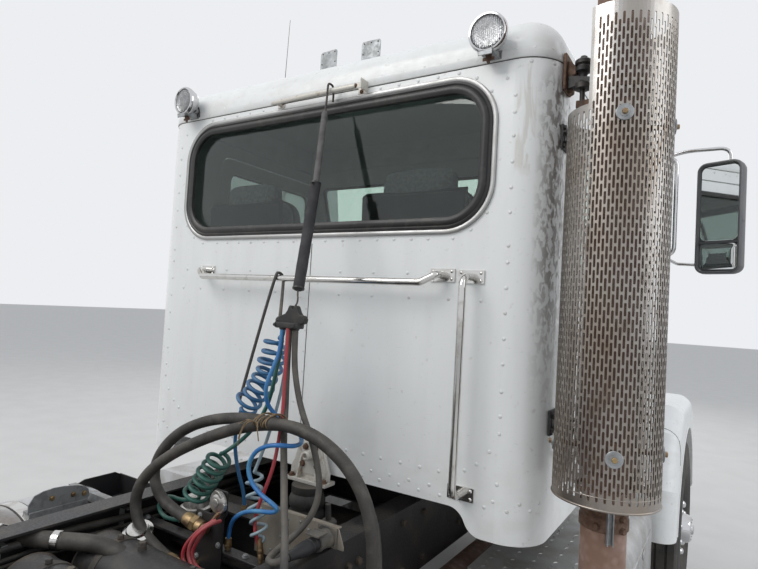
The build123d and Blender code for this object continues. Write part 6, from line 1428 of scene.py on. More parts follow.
for side, hand in SIDES:
    body = "door_" + hand
    node = "mirror_" + hand
    head = MirrorHead(side)
    housing = Builder()
    shell_rings = head.rings(0.0, HEAD_HALF, HEAD_R, SHELL)
    housing.grid(shell_rings, closed=True)
    housing.faces.append(tuple(range(len(shell_rings[0]))))
    housing.cap(len(shell_rings[0]))
    housing.prism([(0.012, -0.1125), (0.0225, -0.111), (0.0225, -0.104), (0.012, -0.1025)],
        head.at(-0.078, 0.0, 0.0), head.across, head.back, 0.156)
    housing.prism([(-0.006, -0.004), (0.016, -0.004), (0.016, 0.004), (-0.006, 0.004)],
        head.at(side * 0.092 - 0.001, 0.0, -0.02), head.across, head.back, 0.0022)
    housing.finish("mirror_housing_" + hand, "mirror_shell", body, [node], smooth=40)

    flat = Builder()
    flat.stack(head.rings(0.064, (0.0765, 0.165), 0.026, ((0.015, 0.0), (0.0175, 0.0), (0.018, 0.0012))))
    flat.finish("mirror_glass_" + hand, "mirror_glass", body, [node], smooth=20)
    convex = Builder()
    convex.stack(head.rings(-0.17, (0.0755, 0.056), 0.02, ((0.015, 0.0), (0.017, 0.0), (0.0186, 0.008),
        (0.0198, 0.018), (0.0206, 0.032), (0.021, 0.048))))
    convex.finish("mirror_convex_" + hand, "mirror_glass", body, [node], smooth=60)

    def at(across, up):
        return side * across, ARM_Y, up

    bars = Builder()
    tube(bars, [at(0.948, 2.522), at(1.2, 2.522), at(1.2, 2.075), at(0.948, 2.075)], 0.04, 0.0105)
    tube(bars, [at(1.15, 2.526), at(1.225, 2.55), at(1.412, 2.55), at(1.412, 2.464)], 0.048, 0.0085)
    tube(bars, [at(1.15, 2.072), at(1.215, 2.034), at(1.302, 2.03)], 0.01, 0.007)
    bars.finish("mirror_loop_" + hand, "chrome", body, [node], smooth=60)

    feet = Builder()
    feet_bolts = Builder()
    for z in (2.522, 2.075):
        feet.block((side * 0.949, ARM_Y - 0.022, z - 0.032), (side * 0.954, ARM_Y + 0.022, z + 0.032))
        feet.lathe([(0.954, 0.016), (0.964, 0.0145), (0.97, 0.0125)], (0, ARM_Y, z), (side, 0, 0), 16)
        for dz in (-0.022, 0.022):
            feet_bolts.bolt((side * 0.954, ARM_Y, z + dz), (side, 0, 0), 0.01, 0.005)
        lean = 0.018 if z > 2.3 else -0.018
        feet.lathe([(-0.016, 0.0135), (-0.012, 0.015), (0.012, 0.015), (0.016, 0.0135)],
            (side * 1.168, ARM_Y, z + lean * 0.3), (side, 0, 0), 16)
        feet_bolts.bolt((side * 1.168, ARM_Y + 0.013, z + lean * 0.3), BACK, 0.012, 0.008, 0.008)
    feet.lathe([(-0.01, 0.0135), (0.01, 0.0125)], (side * 1.412, ARM_Y, 2.478), UP, 16)
    feet.finish("mirror_feet_" + hand, "satin_cast", body, [node], bevel=0.0012, slot="chrome")
    feet_bolts.finish("mirror_bolts_" + hand, "polished", body, [node])


# Tyres: sidewalls with rings, ribbed steer treads and lugged drive treads; nuts and hub caps
SIDEWALL = ((0.1035, 0.287), (0.1075, 0.291), (0.115, 0.299), (0.1165, 0.304), (0.1155, 0.309),
    (0.1245, 0.325), (0.1325, 0.346), (0.1362, 0.363), (0.138, 0.3645), (0.1385, 0.371), (0.1372, 0.3735),
    (0.1392, 0.402), (0.1376, 0.43), (0.134, 0.452), (0.135, 0.4535), (0.1342, 0.461), (0.1325, 0.4625),
    (0.131, 0.472))
LUG_TREAD = (("w", 0.131, 0.472, 0.0), ("s", 0.13, 0.478, 0.003), ("s", 0.1275, 0.496, 0.008),
    ("s", 0.1235, 0.511, 0.011), ("s", 0.1165, 0.5195, 0.013), ("s", 0.086, 0.5225, 0.014),
    ("g", 0.0845, 0.509, 0.0), ("g", 0.0755, 0.509, 0.0), ("c", 0.074, 0.5235, 0.01),
    ("c", 0.034, 0.5245, 0.01), ("g", 0.0325, 0.511, 0.0), ("g", 0.0255, 0.511, 0.0),
    ("m", 0.024, 0.5248, 0.009), ("m", 0.0, 0.525, 0.009))
RIB_TREAD = (("w", 0.131, 0.472, 0.0), ("s", 0.1295, 0.49, 0.0025), ("s", 0.125, 0.508, 0.004),
    ("w", 0.118, 0.5185, 0.0), ("w", 0.085, 0.5225, 0.0), ("g", 0.084, 0.51, 0.0), ("g", 0.074, 0.51, 0.0),
    ("w", 0.073, 0.5232, 0.0), ("w", 0.032, 0.5246, 0.0), ("g", 0.031, 0.511, 0.0),
    ("g", 0.0215, 0.511, 0.0), ("w", 0.0205, 0.525, 0.0), ("w", 0.0, 0.525, 0.0))


def tyre(made, centre, tread, lugs):
    """One tyre about an axle along X."""
    centre = Vector(centre)

    def at(across, radius, angle):
        return centre + Vector((across, radius * cos(angle), radius * sin(angle)))

    for side in (-1, 1):
        made.grid([[at(side * a, r, TURN * k / 96) for a, r in SIDEWALL] for k in range(97)])
    full = [(-a, kind, r, cut) for kind, a, r, cut in tread] + [(a, kind, r, cut)
        for kind, a, r, cut in reversed(tread[:-1])]
    marks = ((0.0, "m"), (0.015, "s"), (0.15, "s"), (0.165, "m"), (0.34, ""), (0.49, "c"), (0.625, "c"),
        (0.64, ""))
    rows = []
    for lug in range(lugs):
        for share, open_kind in marks:
            angle = TURN * (lug + share) / lugs
            row = []
            for a, kind, r, cut in full:
                depth = cut if kind and kind == open_kind else 0.0
                row.append(at(a, r - depth, angle))
            rows.append(row)
    rows.append(rows[0])
    made.grid(rows)


STEER_X, STEER_Y, AXLE_Z = 1.085, -2.75, 0.525
DRIVE_X = 0.92
DUAL_HALF = 0.1675
DRIVE_YS = (("mid", 1.54), ("rear", 2.86))
for side, hand in SIDES:
    body = "wheel_front_" + hand
    x = side * STEER_X
    steer_tyre = Builder()
    tyre(steer_tyre, (x, STEER_Y, AXLE_Z), RIB_TREAD, 44)
    steer_tyre.finish("tyre_tread_front_" + hand, "tyre", body, ["tyre_front_" + hand], smooth=32)
    covers = Builder()
    for place in round_axle(x + side * 0.071, STEER_Y, AXLE_Z, 0.1425, 10, 0.5):
        covers.lathe([(0.0, 0.0245), (0.004, 0.0245), (0.006, 0.0215), (0.046, 0.0195), (0.056, 0.0165),
            (0.061, 0.01), (0.0625, 0.003)], place, (side, 0, 0), 18)
    covers.finish("lug_covers_" + hand, "chrome", body, smooth=40)
    cap = Builder()
    cap.lathe([(0.084, 0.086), (0.088, 0.089), (0.11, 0.088), (0.15, 0.081), (0.166, 0.074), (0.17, 0.066),
        (0.172, 0.03), (0.18, 0.028), (0.184, 0.022), (0.185, 0.008)], (x, STEER_Y, AXLE_Z), (side, 0, 0),
        48)
    for place in round_axle(x + side * 0.17, STEER_Y, AXLE_Z, 0.058, 6):
        cap.bolt(place, (side, 0, 0), 0.01, 0.005)
    cap.finish("hub_cap_" + hand, "chrome", body, smooth=38)
    valve = Builder()
    valve.lathe([(0.0, 0.006), (0.03, 0.005), (0.031, 0.0062), (0.042, 0.0062)],
        (x + side * 0.062, STEER_Y, AXLE_Z + 0.262), (side * 0.92, 0, -0.38), 10)
    valve.finish("valve_front_" + hand, "brass", body, smooth=40, slot="tyre")
    for axle, y in DRIVE_YS:
        body = "wheels_" + axle + "_" + hand
        x = side * DRIVE_X
        pair = Builder()
        for shift in (-DUAL_HALF, DUAL_HALF):
            tyre(pair, (x + shift, y, AXLE_Z), LUG_TREAD, 42)
        pair.finish("tyre_treads_" + axle + "_" + hand, "tyre", body, ["tyres_" + axle + "_" + hand],
            smooth=32)
        nuts = Builder()
        for place in round_axle(x + side * 0.012, y, AXLE_Z, 0.132, 10, 0.5):
            nuts.lathe([(0.0, 0.024), (0.004, 0.024)], place, (side, 0, 0), 16)
            nuts.bolt((place[0] + side * 0.004, place[1], place[2]), (side, 0, 0), 0.032, 0.022)
            nuts.lathe([(0.02, 0.0105), (0.038, 0.01), (0.04, 0.008)], place, (side, 0, 0), 10)
        for place in round_axle(x + side * 0.1115, y, AXLE_Z, 0.06, 8):
            nuts.bolt(place, (side, 0, 0), 0.024, 0.014, 0.015)
            nuts.lathe([(0.012, 0.0075), (0.02, 0.007)], place, (side, 0, 0), 10)
        nuts.lathe([(0.1115, 0.04), (0.124, 0.037), (0.128, 0.03), (0.129, 0.008)], (x, y, AXLE_Z),
            (side, 0, 0), 28)
        nuts.finish("wheel_nuts_" + axle + "_" + hand, "rusty", body, slot="aluminium")


# Frame: bolts along the rails and gussets at the crossmembers
RAIL_X = 0.432
RAIL_IN = 0.424
CROSSMEMBER_YS = (-1.15, -0.3, 0.5, 1.1, 2.2, 3.15)
rail_nuts = Builder()
for side in (-1, 1):
    for y in CROSSMEMBER_YS:
        for dy in (-0.028, 0.028):
            for z in (0.835, 0.885, 0.935):
                rail_nuts.bolt((side * RAIL_X, y + dy, z), (side, 0, 0), 0.022, 0.012, 0.013)
    for y in (-3.3, -2.92, -2.3, -2.1, -0.78, -0.62, 0.02, 0.3, 0.62, 1.34, 1.74, 1.95, 2.35, 2.66, 3.06,
            3.42):
        for z in (0.8, 0.97):
            rail_nuts.bolt((side * RAIL_X, y, z), (side, 0, 0), 0.022, 0.012, 0.013)
rail_nuts.finish("rail_side_bolts", "cast")

GUSSET = [(0.0, -0.085), (0.008, -0.085), (0.09, -0.02), (0.09, 0.0), (0.0, 0.0)]
gussets = Builder()
for side in (-1, 1):
    for y in CROSSMEMBER_YS:
        for way in (-1, 1):
            gussets.prism([(side * a, b) for a, b in GUSSET], (side * (RAIL_IN - 0.002), y + way * 0.036,
                0.995), BACK, RIGHT, 0.006)
gussets.finish("crossmember_gussets", "black", bevel=0.0012)


# Cab rear mount: stained casting over an air bag
mount = Builder()
D_SHAPE = [(-0.093, 1.098), (0.089, 1.098), (0.091, 1.13), (0.078, 1.16), (0.064, 1.205), (0.05, 1.228),
    (0.03, 1.24), (0.004, 1.244), (-0.026, 1.241), (-0.048, 1.23), (-0.064, 1.205), (-0.078, 1.16),
    (-0.092, 1.132)]
mount.prism(D_SHAPE, (-0.103, -0.478, 0.0), BACK, RIGHT, 0.012)
mount.prism([(a * 0.86 - 0.001, 1.114 + (b - 1.098) * 0.84) for a, b in D_SHAPE], (-0.103, -0.466, 0.0),
    BACK, RIGHT, 0.004)
mount.block((-0.2, -0.5, 1.086), (-0.012, -0.436, 1.1))
for x in (-0.066, -0.152):
    mount.prism([(0.0, 1.1), (0.026, 1.1), (0.0, 1.19)], (x, -0.462, 0.0), LEFT, BACK, 0.008)
mount.lathe([(0.0, 0.019), (0.03, 0.018), (0.034, 0.014), (0.034, 0.008), (0.02, 0.007)],
    (-0.105, -0.462, 1.188), BACK, 24)
mount.finish("cab_mount_casting", "enamel", bevel=0.003, slot="aluminium")
mount_bolts = Builder()
for x, z in ((-0.14, 1.15), (-0.07, 1.15), (-0.128, 1.215), (-0.082, 1.215)):
    mount_bolts.bolt((x, -0.462, z), BACK, 0.018, 0.011, 0.012)
for x, y in ((-0.182, -0.45), (-0.03, -0.45)):
    mount_bolts.bolt((x, y, 1.1), UP, 0.018, 0.012, 0.014)
mount_bolts.finish("cab_mount_bolts", "rusty")
bag = Builder()
bag.lathe([(0.94, 0.046), (0.948, 0.05), (0.954, 0.062), (0.972, 0.068), (0.99, 0.066), (1.0, 0.06),
    (1.006, 0.06), (1.016, 0.067), (1.036, 0.068), (1.05, 0.062), (1.058, 0.058), (1.062, 0.06),
    (1.086, 0.06)], (-0.118, -0.442, 0.0), UP, 40)
bag.finish("cab_air_bag", "rubber", smooth=40)
shelf = Builder()
for low, high, depth in ((0.928, 0.94, 0.12), (0.86, 0.93, 0.01)):
    shelf.prism([(-0.42, low), (0.42, low), (0.42, high), (-0.42, high)], (0.0, -0.485, 0.0), BACK, RIGHT,
        depth)
shelf.finish("cab_mount_crossplate", "black", bevel=0.0015)
dampers = Builder()
for x in (0.25, -0.33):
    dampers.lathe([(0.94, 0.024), (0.945, 0.028), (1.05, 0.028), (1.056, 0.022), (1.058, 0.01),
        (1.11, 0.009)], (x, -0.42, 0.0), (0, 0.12, 1), 20)
dampers.finish("cab_dampers", "cast_black", smooth=40)

# Fuel tanks: straps, seams and caps; the left one's end bracket and the battery tray ahead of it
TANK_X, TANK_Z, TANK_R = 0.83, 0.6, 0.33
straps, strap_rubber, hook_bolts, caps, seam_beads = builders(5)
for side in (-1, 1):
    middle = (side * TANK_X, 0.0, TANK_Z)
    for y in (0.12, 0.59):
        straps.lathe([(y - 0.024, TANK_R + 0.0015), (y - 0.022, TANK_R + 0.0048),
            (y + 0.022, TANK_R + 0.0048), (y + 0.024, TANK_R + 0.0015)], middle, BACK, 72, caps=False)
        strap_rubber.lathe([(y - 0.03, TANK_R - 0.0005), (y - 0.029, TANK_R + 0.0022),
            (y + 0.029, TANK_R + 0.0022), (y + 0.03, TANK_R - 0.0005)], middle, BACK, 72, caps=False)
        for dx in (-0.02, 0.02):
            hook_bolts.lathe([(-0.045, 0.006), (0.045, 0.006)], (side * 0.508, y + dx, 0.782), UP, 10)
        hook_bolts.block((side * 0.508 - 0.014, y - 0.032, 0.812), (side * 0.508 + 0.014, y + 0.032, 0.82))
        hook_bolts.bolt((side * 0.508, y, 0.82), UP, 0.02, 0.014, 0.013)
    for y in (-0.168, 0.818):
        seam_beads.lathe([(y - 0.004, TANK_R - 0.001), (y - 0.002, TANK_R + 0.0022),
            (y + 0.002, TANK_R + 0.0022), (y + 0.004, TANK_R - 0.001)], middle, BACK, 72, caps=False)
    lean = Vector((side * 0.34, 0, 0.94)).normalized()
    neck = Vector(middle) + lean * (TANK_R - 0.004) + Vector((0, 0.385, 0))
    seam_beads.lathe([(0.0, 0.058), (0.004, 0.052), (0.018, 0.048)], neck, lean, 28)
    caps.lathe([(0.018, 0.053), (0.022, 0.055), (0.04, 0.055), (0.044, 0.051), (0.046, 0.03),
        (0.052, 0.026), (0.053, 0.008)], neck, lean, 32)
    turn = frame_of(lean)
    caps.block((-0.046, -0.006, 0.044), (0.046, 0.006, 0.058), turn, neck)
straps.finish("tank_straps", "polished", smooth=30, slot="stainless")
strap_rubber.finish("tank_strap_rubber", "rubber", smooth=30)
hook_bolts.finish("tank_strap_bolts", "cast")
caps.finish("tank_caps", "chrome")
seam_beads.finish("tank_seams", "tank", smooth=50)

pierced = Builder()
PLATE_YZ = [(0.138, 0.93), (0.096, 0.93), (0.022, 0.936), (-0.049, 0.93), (-0.078, 0.93), (-0.09, 0.94),
    (-0.093, 0.952), (-0.086, 0.974), (-0.07, 0.988), (-0.04, 0.998), (0.01, 1.006), (0.05, 1.008),
    (0.088, 1.004), (0.12, 0.994), (0.138, 0.966)]
pierced.prism([(-y, z) for y, z in PLATE_YZ], (0.708, 0.0, 0.0), RIGHT, FRONT, 0.005)
pierced.block((0.7, -0.086, 0.91), (0.745, 0.134, 0.936))
pierced.finish("tank_end_bracket", "galvanised", bevel=0.0012)
pierced_bolts = Builder()
for y, z in ((0.054, 0.971), (-0.026, 0.966), (-0.07, 0.96)):
    pierced_bolts.bolt((0.704, y, z), RIGHT, 0.015, 0.008, 0.01)
pierced_bolts.finish("tank_end_bracket_bolts", "brass", slot="aluminium")

tray = Builder()
TRAY_LOW = (0.452, -0.33, 0.69)
TRAY_HIGH = (0.86, -0.125, 0.95)
WALL = 0.004
tray.block(TRAY_LOW, (TRAY_HIGH[0], TRAY_HIGH[1], TRAY_LOW[2] + WALL))
tray.block(TRAY_LOW, (TRAY_LOW[0] + WALL, TRAY_HIGH[1], TRAY_HIGH[2]))
tray.block((TRAY_HIGH[0] - WALL, TRAY_LOW[1], TRAY_LOW[2]), TRAY_HIGH)
tray.block(TRAY_LOW, (TRAY_HIGH[0], TRAY_LOW[1] + WALL, TRAY_HIGH[2]))
tray.block((TRAY_LOW[0], TRAY_HIGH[1] - WALL, TRAY_LOW[2]), TRAY_HIGH)
tray.prism([(-0.325, 0.0), (-0.13, 0.0), (-0.16, 0.012), (-0.3, 0.014)], (0.856, 0.0, 0.948), LEFT, BACK,
    0.005)
tray.finish("battery_tray", "black", bevel=0.0012)
tray_edge = Builder()
tray_edge.block((0.455, -0.13, 0.948), (0.87, -0.1, 0.952))
tray_edge.block((0.455, -0.104, 0.916), (0.87, -0.1, 0.952))
tray_edge.finish("battery_tray_angle", "galvanised", bevel=0.001)
battery = Builder()
for x in (0.475, 0.665):
    battery.block((x, -0.322, 0.695), (x + 0.172, -0.145, 0.862))
    battery.block((x + 0.008, -0.314, 0.862), (x + 0.164, -0.153, 0.872))
    for y in (-0.29, -0.25, -0.21):
        battery.lathe([(0.0, 0.014), (0.006, 0.013)], (x + 0.086, y, 0.872), UP, 16)
battery.finish("batteries", "trim", bevel=0.003)
posts = Builder()
for x in (0.5, 0.62, 0.69, 0.81):
    posts.lathe([(0.0, 0.012), (0.016, 0.01)], (x, -0.185, 0.872), UP, 14)
    posts.block((x - 0.013, -0.2, 0.876), (x + 0.013, -0.165, 0.888))
posts.finish("battery_posts", "satin_cast", bevel=0.0015)

# Clutter between the rails: loom with its clips, a relay valve and a sleeved pipe
lines = Builder()
for x, z, radius, wave in ((0.395, 0.96, 0.013, 0.01), (0.398, 0.925, 0.008, 0.008),
        (0.392, 0.905, 0.007, 0.012), (-0.396, 0.95, 0.012, 0.01), (-0.398, 0.918, 0.007, 0.009)):
    path = [(x - copysign(abs(sin(k * 1.3 + radius * 900)) * wave, x), -2.0 + k * 0.12,
        z + sin(k * 0.9 + x * 40) * wave) for k in range(44)]
    lines.sweep(path, circle(radius, 8))
lines.finish("rail_loom", "rubber", smooth=60, slot="hose_grey")
loom_clips = Builder()
for y in (-0.7, -0.05, 0.36, 0.78, 1.3, 1.72, 2.42, 2.75):
    for side in (-1, 1):
        loom_clips.block((side * RAIL_IN - 0.003, y - 0.01, 0.894), (side * RAIL_IN + 0.001, y + 0.01, 0.984))
        loom_clips.block((side * 0.402 - 0.022, y - 0.009, 0.978), (side * 0.402 + 0.022, y + 0.009, 0.981))
loom_clips.finish("loom_clips", "galvanised")
valve_body = Builder()
valve_body.lathe([(-0.045, 0.03), (-0.04, 0.046), (0.0, 0.048), (0.004, 0.056), (0.016, 0.056),
    (0.02, 0.046), (0.05, 0.04), (0.06, 0.02)], (0.21, -0.205, 0.975), UP, 28)
for direction in (LEFT, RIGHT, BACK):
    valve_body.lathe([(0.04, 0.016), (0.066, 0.015)], (0.21, -0.205, 0.965), direction, 12)
    valve_body.bolt(Vector((0.21, -0.205, 0.965)) + Vector(direction) * 0.064, direction, 0.024, 0.014)
valve_body.finish("relay_valve", "satin_cast", slot="cast_dark")
sleeved = Builder()
sleeved.sweep(bent([(0.76, 0.3, 0.905), (0.64, 0.32, 0.945), (0.38, 0.3, 0.985), (0.18, 0.17, 0.98),
    (0.06, 0.12, 0.93)], 0.06), circle(0.026, 16))
sleeved.finish("sleeved_pipe", "hose", smooth=60)
pipe_clips = Builder()
for place, aim in (((0.52, 0.31, 0.966), (-0.98, -0.02, 0.16)), ((0.3, 0.248, 0.983), (-0.84, -0.54, 0.0))):
    pipe_clips.lathe([(-0.012, 0.0275), (-0.01, 0.03), (0.01, 0.03), (0.012, 0.0275)], place, aim, 24)
pipe_clips.lathe([(-0.055, 0.03), (-0.05, 0.04), (-0.01, 0.042), (-0.006, 0.05), (0.01, 0.05),
    (0.014, 0.038), (0.022, 0.034)], (0.238, 0.01, 0.95), (-0.25, 0.35, 0.9), 28)
pipe_clips.finish("pipe_clamps", "polished", slot="stainless")

# Air tanks: end seams, hangers and drain cocks
tank_trim = Builder()
for y in (0.12, 0.34):
    for x in (-0.268, 0.268):
        tank_trim.lathe([(x - 0.003, 0.0995), (x, 0.1025), (x + 0.003, 0.0995)], (0, y, 0.88), LEFT, 40,
            caps=False)
    for x in (-0.17, 0.17):
        tank_trim.lathe([(x - 0.014, 0.1005), (x - 0.013, 0.103), (x + 0.013, 0.103), (x + 0.014, 0.1005)],
            (0, y, 0.88), LEFT, 40, caps=False)
        tank_trim.bolt((x, y, 0.984), UP, 0.016, 0.012, 0.01)
    tank_trim.lathe([(0.0, 0.014), (0.014, 0.013)], (0.06, y, 0.979), UP, 16)
    tank_trim.bolt((0.06, y, 0.99), UP, 0.022, 0.014)
tank_trim.finish("air_tank_fittings", "cast", smooth=40)

# Axles: brake chambers with their push rods, and shock absorbers
chambers, rings = builders(2)
for axle, y in DRIVE_YS:
    for side in (-1, 1):
        place = (side * 0.345, y + 0.19, 0.64)
        aim = Vector((side * 0.25, -1.0, -0.1)).normalized()
        chambers.lathe([(-0.165, 0.03), (-0.16, 0.062), (-0.145, 0.076), (-0.095, 0.08), (-0.09, 0.086),
            (-0.078, 0.086), (-0.072, 0.074), (-0.02, 0.074), (-0.012, 0.086), (0.002, 0.086),
            (0.008, 0.078), (0.04, 0.062), (0.05, 0.03), (0.052, 0.01), (0.12, 0.009)], place, aim, 32)
        for low in (-0.095, -0.016):
            rings.lathe([(low, 0.086), (low + 0.001, 0.091), (low + 0.021, 0.091), (low + 0.022, 0.086)],
                place, aim, 32, caps=False)
for side in (-1, 1):
    place = (side * 0.52, -2.64, 0.66)
    chambers.lathe([(-0.07, 0.03), (-0.064, 0.06), (-0.02, 0.074), (-0.012, 0.084), (0.002, 0.084),
        (0.008, 0.076), (0.04, 0.06), (0.05, 0.03), (0.052, 0.009), (0.11, 0.009)], place,
        (side * 0.8, -0.55, -0.1), 28)
chambers.finish("brake_chambers", "cast_black", smooth=40)
rings.finish("brake_chamber_clamps", "galvanised", smooth=40)
shocks = Builder()
for axle, y in DRIVE_YS:
    for side in (-1, 1):
        shocks.lathe([(-0.15, 0.022), (-0.148, 0.034), (0.02, 0.034), (0.024, 0.03), (0.026, 0.012),
            (0.14, 0.011)], (side * 0.47, y - 0.24, 0.72), (0, -0.25, 1), 20)
for side in (-1, 1):
    shocks.lathe([(-0.15, 0.02), (-0.148, 0.03), (0.02, 0.03), (0.024, 0.012), (0.15, 0.011)],
        (side * 0.47, -2.56, 0.76), (0, 0.2, 1), 20)
shocks.finish("shock_absorbers", "black", smooth=40)

# Tail: lamps, reflectors, blank plate, flap hangers and the stays of the quarter fenders
lamp_bar = Builder()
lamp_bar.block((-0.4, 3.596, 0.83), (0.4, 3.6, 0.95))
lamp_bar.block((-0.4, 3.56, 0.946), (0.4, 3.6, 0.95))
lamp_bar.finish("tail_lamp_panel", "black", bevel=0.001)
tail_lens, tail_rim = builders(2)
for x in (-0.33, -0.215, 0.215, 0.33):
    tail_rim.lathe([(-0.01, 0.055), (-0.004, 0.058), (-0.002, 0.056), (-0.002, 0.049)], (x, 3.6, 0.888),
        BACK, 32)
    tail_lens.lathe([(-0.012, 0.048), (-0.003, 0.048), (-0.0012, 0.04), (-0.0008, 0.03), (-0.0004, 0.01)],
        (x, 3.6, 0.888), BACK, 32)
for side in (-1, 1):
    tail_lens.block((side * 0.434 - 0.002, 3.48, 0.9), (side * 0.434 + 0.002, 3.56, 0.94))
tail_rim.finish("tail_lamp_grommets", "rubber", smooth=40)
tail_lens.finish("tail_lamps", "red_lens", smooth=40)
blank = Builder()
blank.block((-0.152, 3.5965, 0.8), (0.152, 3.599, 0.946))
blank.finish("blank_number_plate", "rivet", bevel=0.0008)
hangers = Builder()
for side in (-1, 1):
    hangers.sweep(bent([(side * 0.425, 3.44, 0.99), (side * 0.56, 3.44, 0.99),
        (side * 1.215, 3.455, 0.985)], 0.05), circle(0.0125, 12))
    hangers.block((side * 0.92 - 0.3, 3.4535, 0.925), (side * 0.92 + 0.3, 3.459, 0.975))
    for k in range(5):
        hangers.bolt((side * 0.92 - 0.24 + k * 0.12, 3.459, 0.95), BACK, 0.014, 0.008, 0.011)
hangers.finish("mud_flap_hangers", "cast_black", smooth=40)
weights = Builder()
for side in (-1, 1):
    weights.block((side * 0.92 - 0.285, 3.47, 0.262), (side * 0.92 + 0.285, 3.4745, 0.33))
    for k in range(4):
        weights.bolt((side * 0.92 - 0.225 + k * 0.15, 3.4745, 0.296), BACK, 0.012, 0.006)
weights.finish("mud_flap_weights", "polished", bevel=0.0012, slot="stainless")
fender_stays = Builder()
for side in (-1, 1):
    for angle in (35.0, 90.0, 145.0):
        y = 1.54 - 0.582 * cos(radians(angle))
        z = 0.525 + 0.578 * sin(radians(angle))
        path = bent([(side * 0.425, y, min(z - 0.05, 0.985)), (side * 0.56, y, min(z - 0.05, 0.985)),
            (side * 0.64, y, z - 0.01), (side * 1.18, y, z - 0.01)], 0.05)
        fender_stays.sweep(path, circle(0.014, 12), up=BACK)
fender_stays.finish("quarter_fender_stays", "black", smooth=60)

# Fifth wheel: grease, release handle and bolts
grease = Builder()
for angle0, angle1, inner, outer in ((200, 340, 0.12, 0.235), (215, 250, 0.25, 0.33),
        (292, 330, 0.25, 0.335)):
    rows = []
    for k in range(25):
        angle = radians(angle0 + (angle1 - angle0) * k / 24)
        wobble = 1 + 0.06 * sin(k * 1.7 + inner * 40)
        rows.append([(cos(angle) * inner * wobble, 2.15 + sin(angle) * inner * wobble, 1.2152),
            (cos(angle) * (inner + outer) / 2, 2.15 + sin(angle) * (inner + outer) / 2, 1.2166),
            (cos(angle) * outer * wobble, 2.15 + sin(angle) * outer * wobble, 1.2152)])
    grease.grid(rows)
grease.finish("fifth_wheel_grease", "seal", body="fifth_wheel", smooth=60, slot="cast_dark")
handle = Builder()
handle.sweep(bent([(-0.3, 2.05, 1.15), (-0.48, 2.05, 1.15), (-0.56, 2.05, 1.13), (-0.56, 2.11, 1.13)],
    0.025), circle(0.01, 10))
handle.finish("fifth_wheel_handle", "red", body="fifth_wheel", smooth=60)
base_bolts = Builder()
for side in (-1, 1):
    for y in (1.86, 1.96, 2.06, 2.24, 2.34, 2.44):
        base_bolts.bolt((side * 0.4, y, 1.033), UP, 0.026, 0.016, 0.016)
base_bolts.finish("fifth_wheel_base_bolts", "cast")

# Belly sheet between the rails, pressed in ribs
belly = Builder()
rows = []
for k in range(41):
    y = -1.08 + k * 0.054
    lift = 0.006 if k % 4 in (1, 2) else 0.0
    rows.append([(x, y, z + (lift if abs(x) < 0.36 else 0.0)) for x, z in ((-0.418, 0.8), (-0.418, 0.772),
        (-0.38, 0.768), (-0.35, 0.768), (0.0, 0.766), (0.35, 0.768), (0.38, 0.768), (0.418, 0.772),
        (0.418, 0.8))])
belly.grid(rows)
belly.finish("belly_sheet", "black")


# Front end: seams found on the panels themselves, lamps, bumper fittings, latches and wipers
def skin_tree(name):
    """Search tree over one modelled panel, used to lay seams and fittings on it."""
    mesh = nodes[name].data
    return BVHTree.FromPolygons([tuple(v.co) for v in mesh.vertices],
        [tuple(p.vertices) for p in mesh.polygons])


def on_skin(tree, origin, direction):
    """Where a line meets the panel, and the way the panel faces there."""
    way = Vector(direction).normalized()
    place, normal = tree.ray_cast(Vector(origin), way)[:2]
    if place is None:
        return None
    if normal.dot(way) > 0:
        normal = -normal
    return place, normal


def seam_over(made, hits, half, proud, along):
    """Thin raised strip through a row of hits."""
    rows = []
    for place, normal in hits:
        across = Vector(along)
        rows.append([place - across * half - normal * 0.001, place - across * half + normal * proud,
            place + across * half + normal * proud, place + across * half - normal * 0.001])
    made.grid(rows)


fender_tree = skin_tree("front_fenders")
hood_tree = skin_tree("hood_panel")
fender_gap, fender_lip = builders(2)
for side in (-1, 1):
    hits = []
    for k in range(26):
        angle = radians(96 - k * 4.6)
        way = Vector((side * cos(angle), 0, sin(angle)))
        found = on_skin(fender_tree, Vector((side * 0.96, -2.215, 1.1)) + way * 0.5, -way)
        if found:
            hits.append(found)
    seam_over(fender_gap, hits, 0.003, 0.0011, BACK)
    hits = []
    for k in range(41):
        angle = pi * (0.02 + 0.96 * k / 40)
        y = STEER_Y + 0.6075 * cos(angle)
        z = AXLE_Z + 0.6075 * sin(angle)
        found = on_skin(fender_tree, (side * 1.4, y, z), (-side, 0, 0))
        if found:
            hits.append((found[0], found[1], angle))
    rows = []
    for place, normal, angle in hits:
        out = Vector((0, cos(angle), sin(angle)))
        rows.append([place - out * 0.006 - normal * 0.002, place - out * 0.006 + normal * 0.004,
            place + out * 0.006 + normal * 0.0045, place + out * 0.01 + normal * 0.0006])
    fender_lip.grid(rows)
fender_gap.finish("fender_seams", "seal", body="hood", smooth=60)
fender_lip.finish("fender_lips", "paint", body="hood", smooth=60)

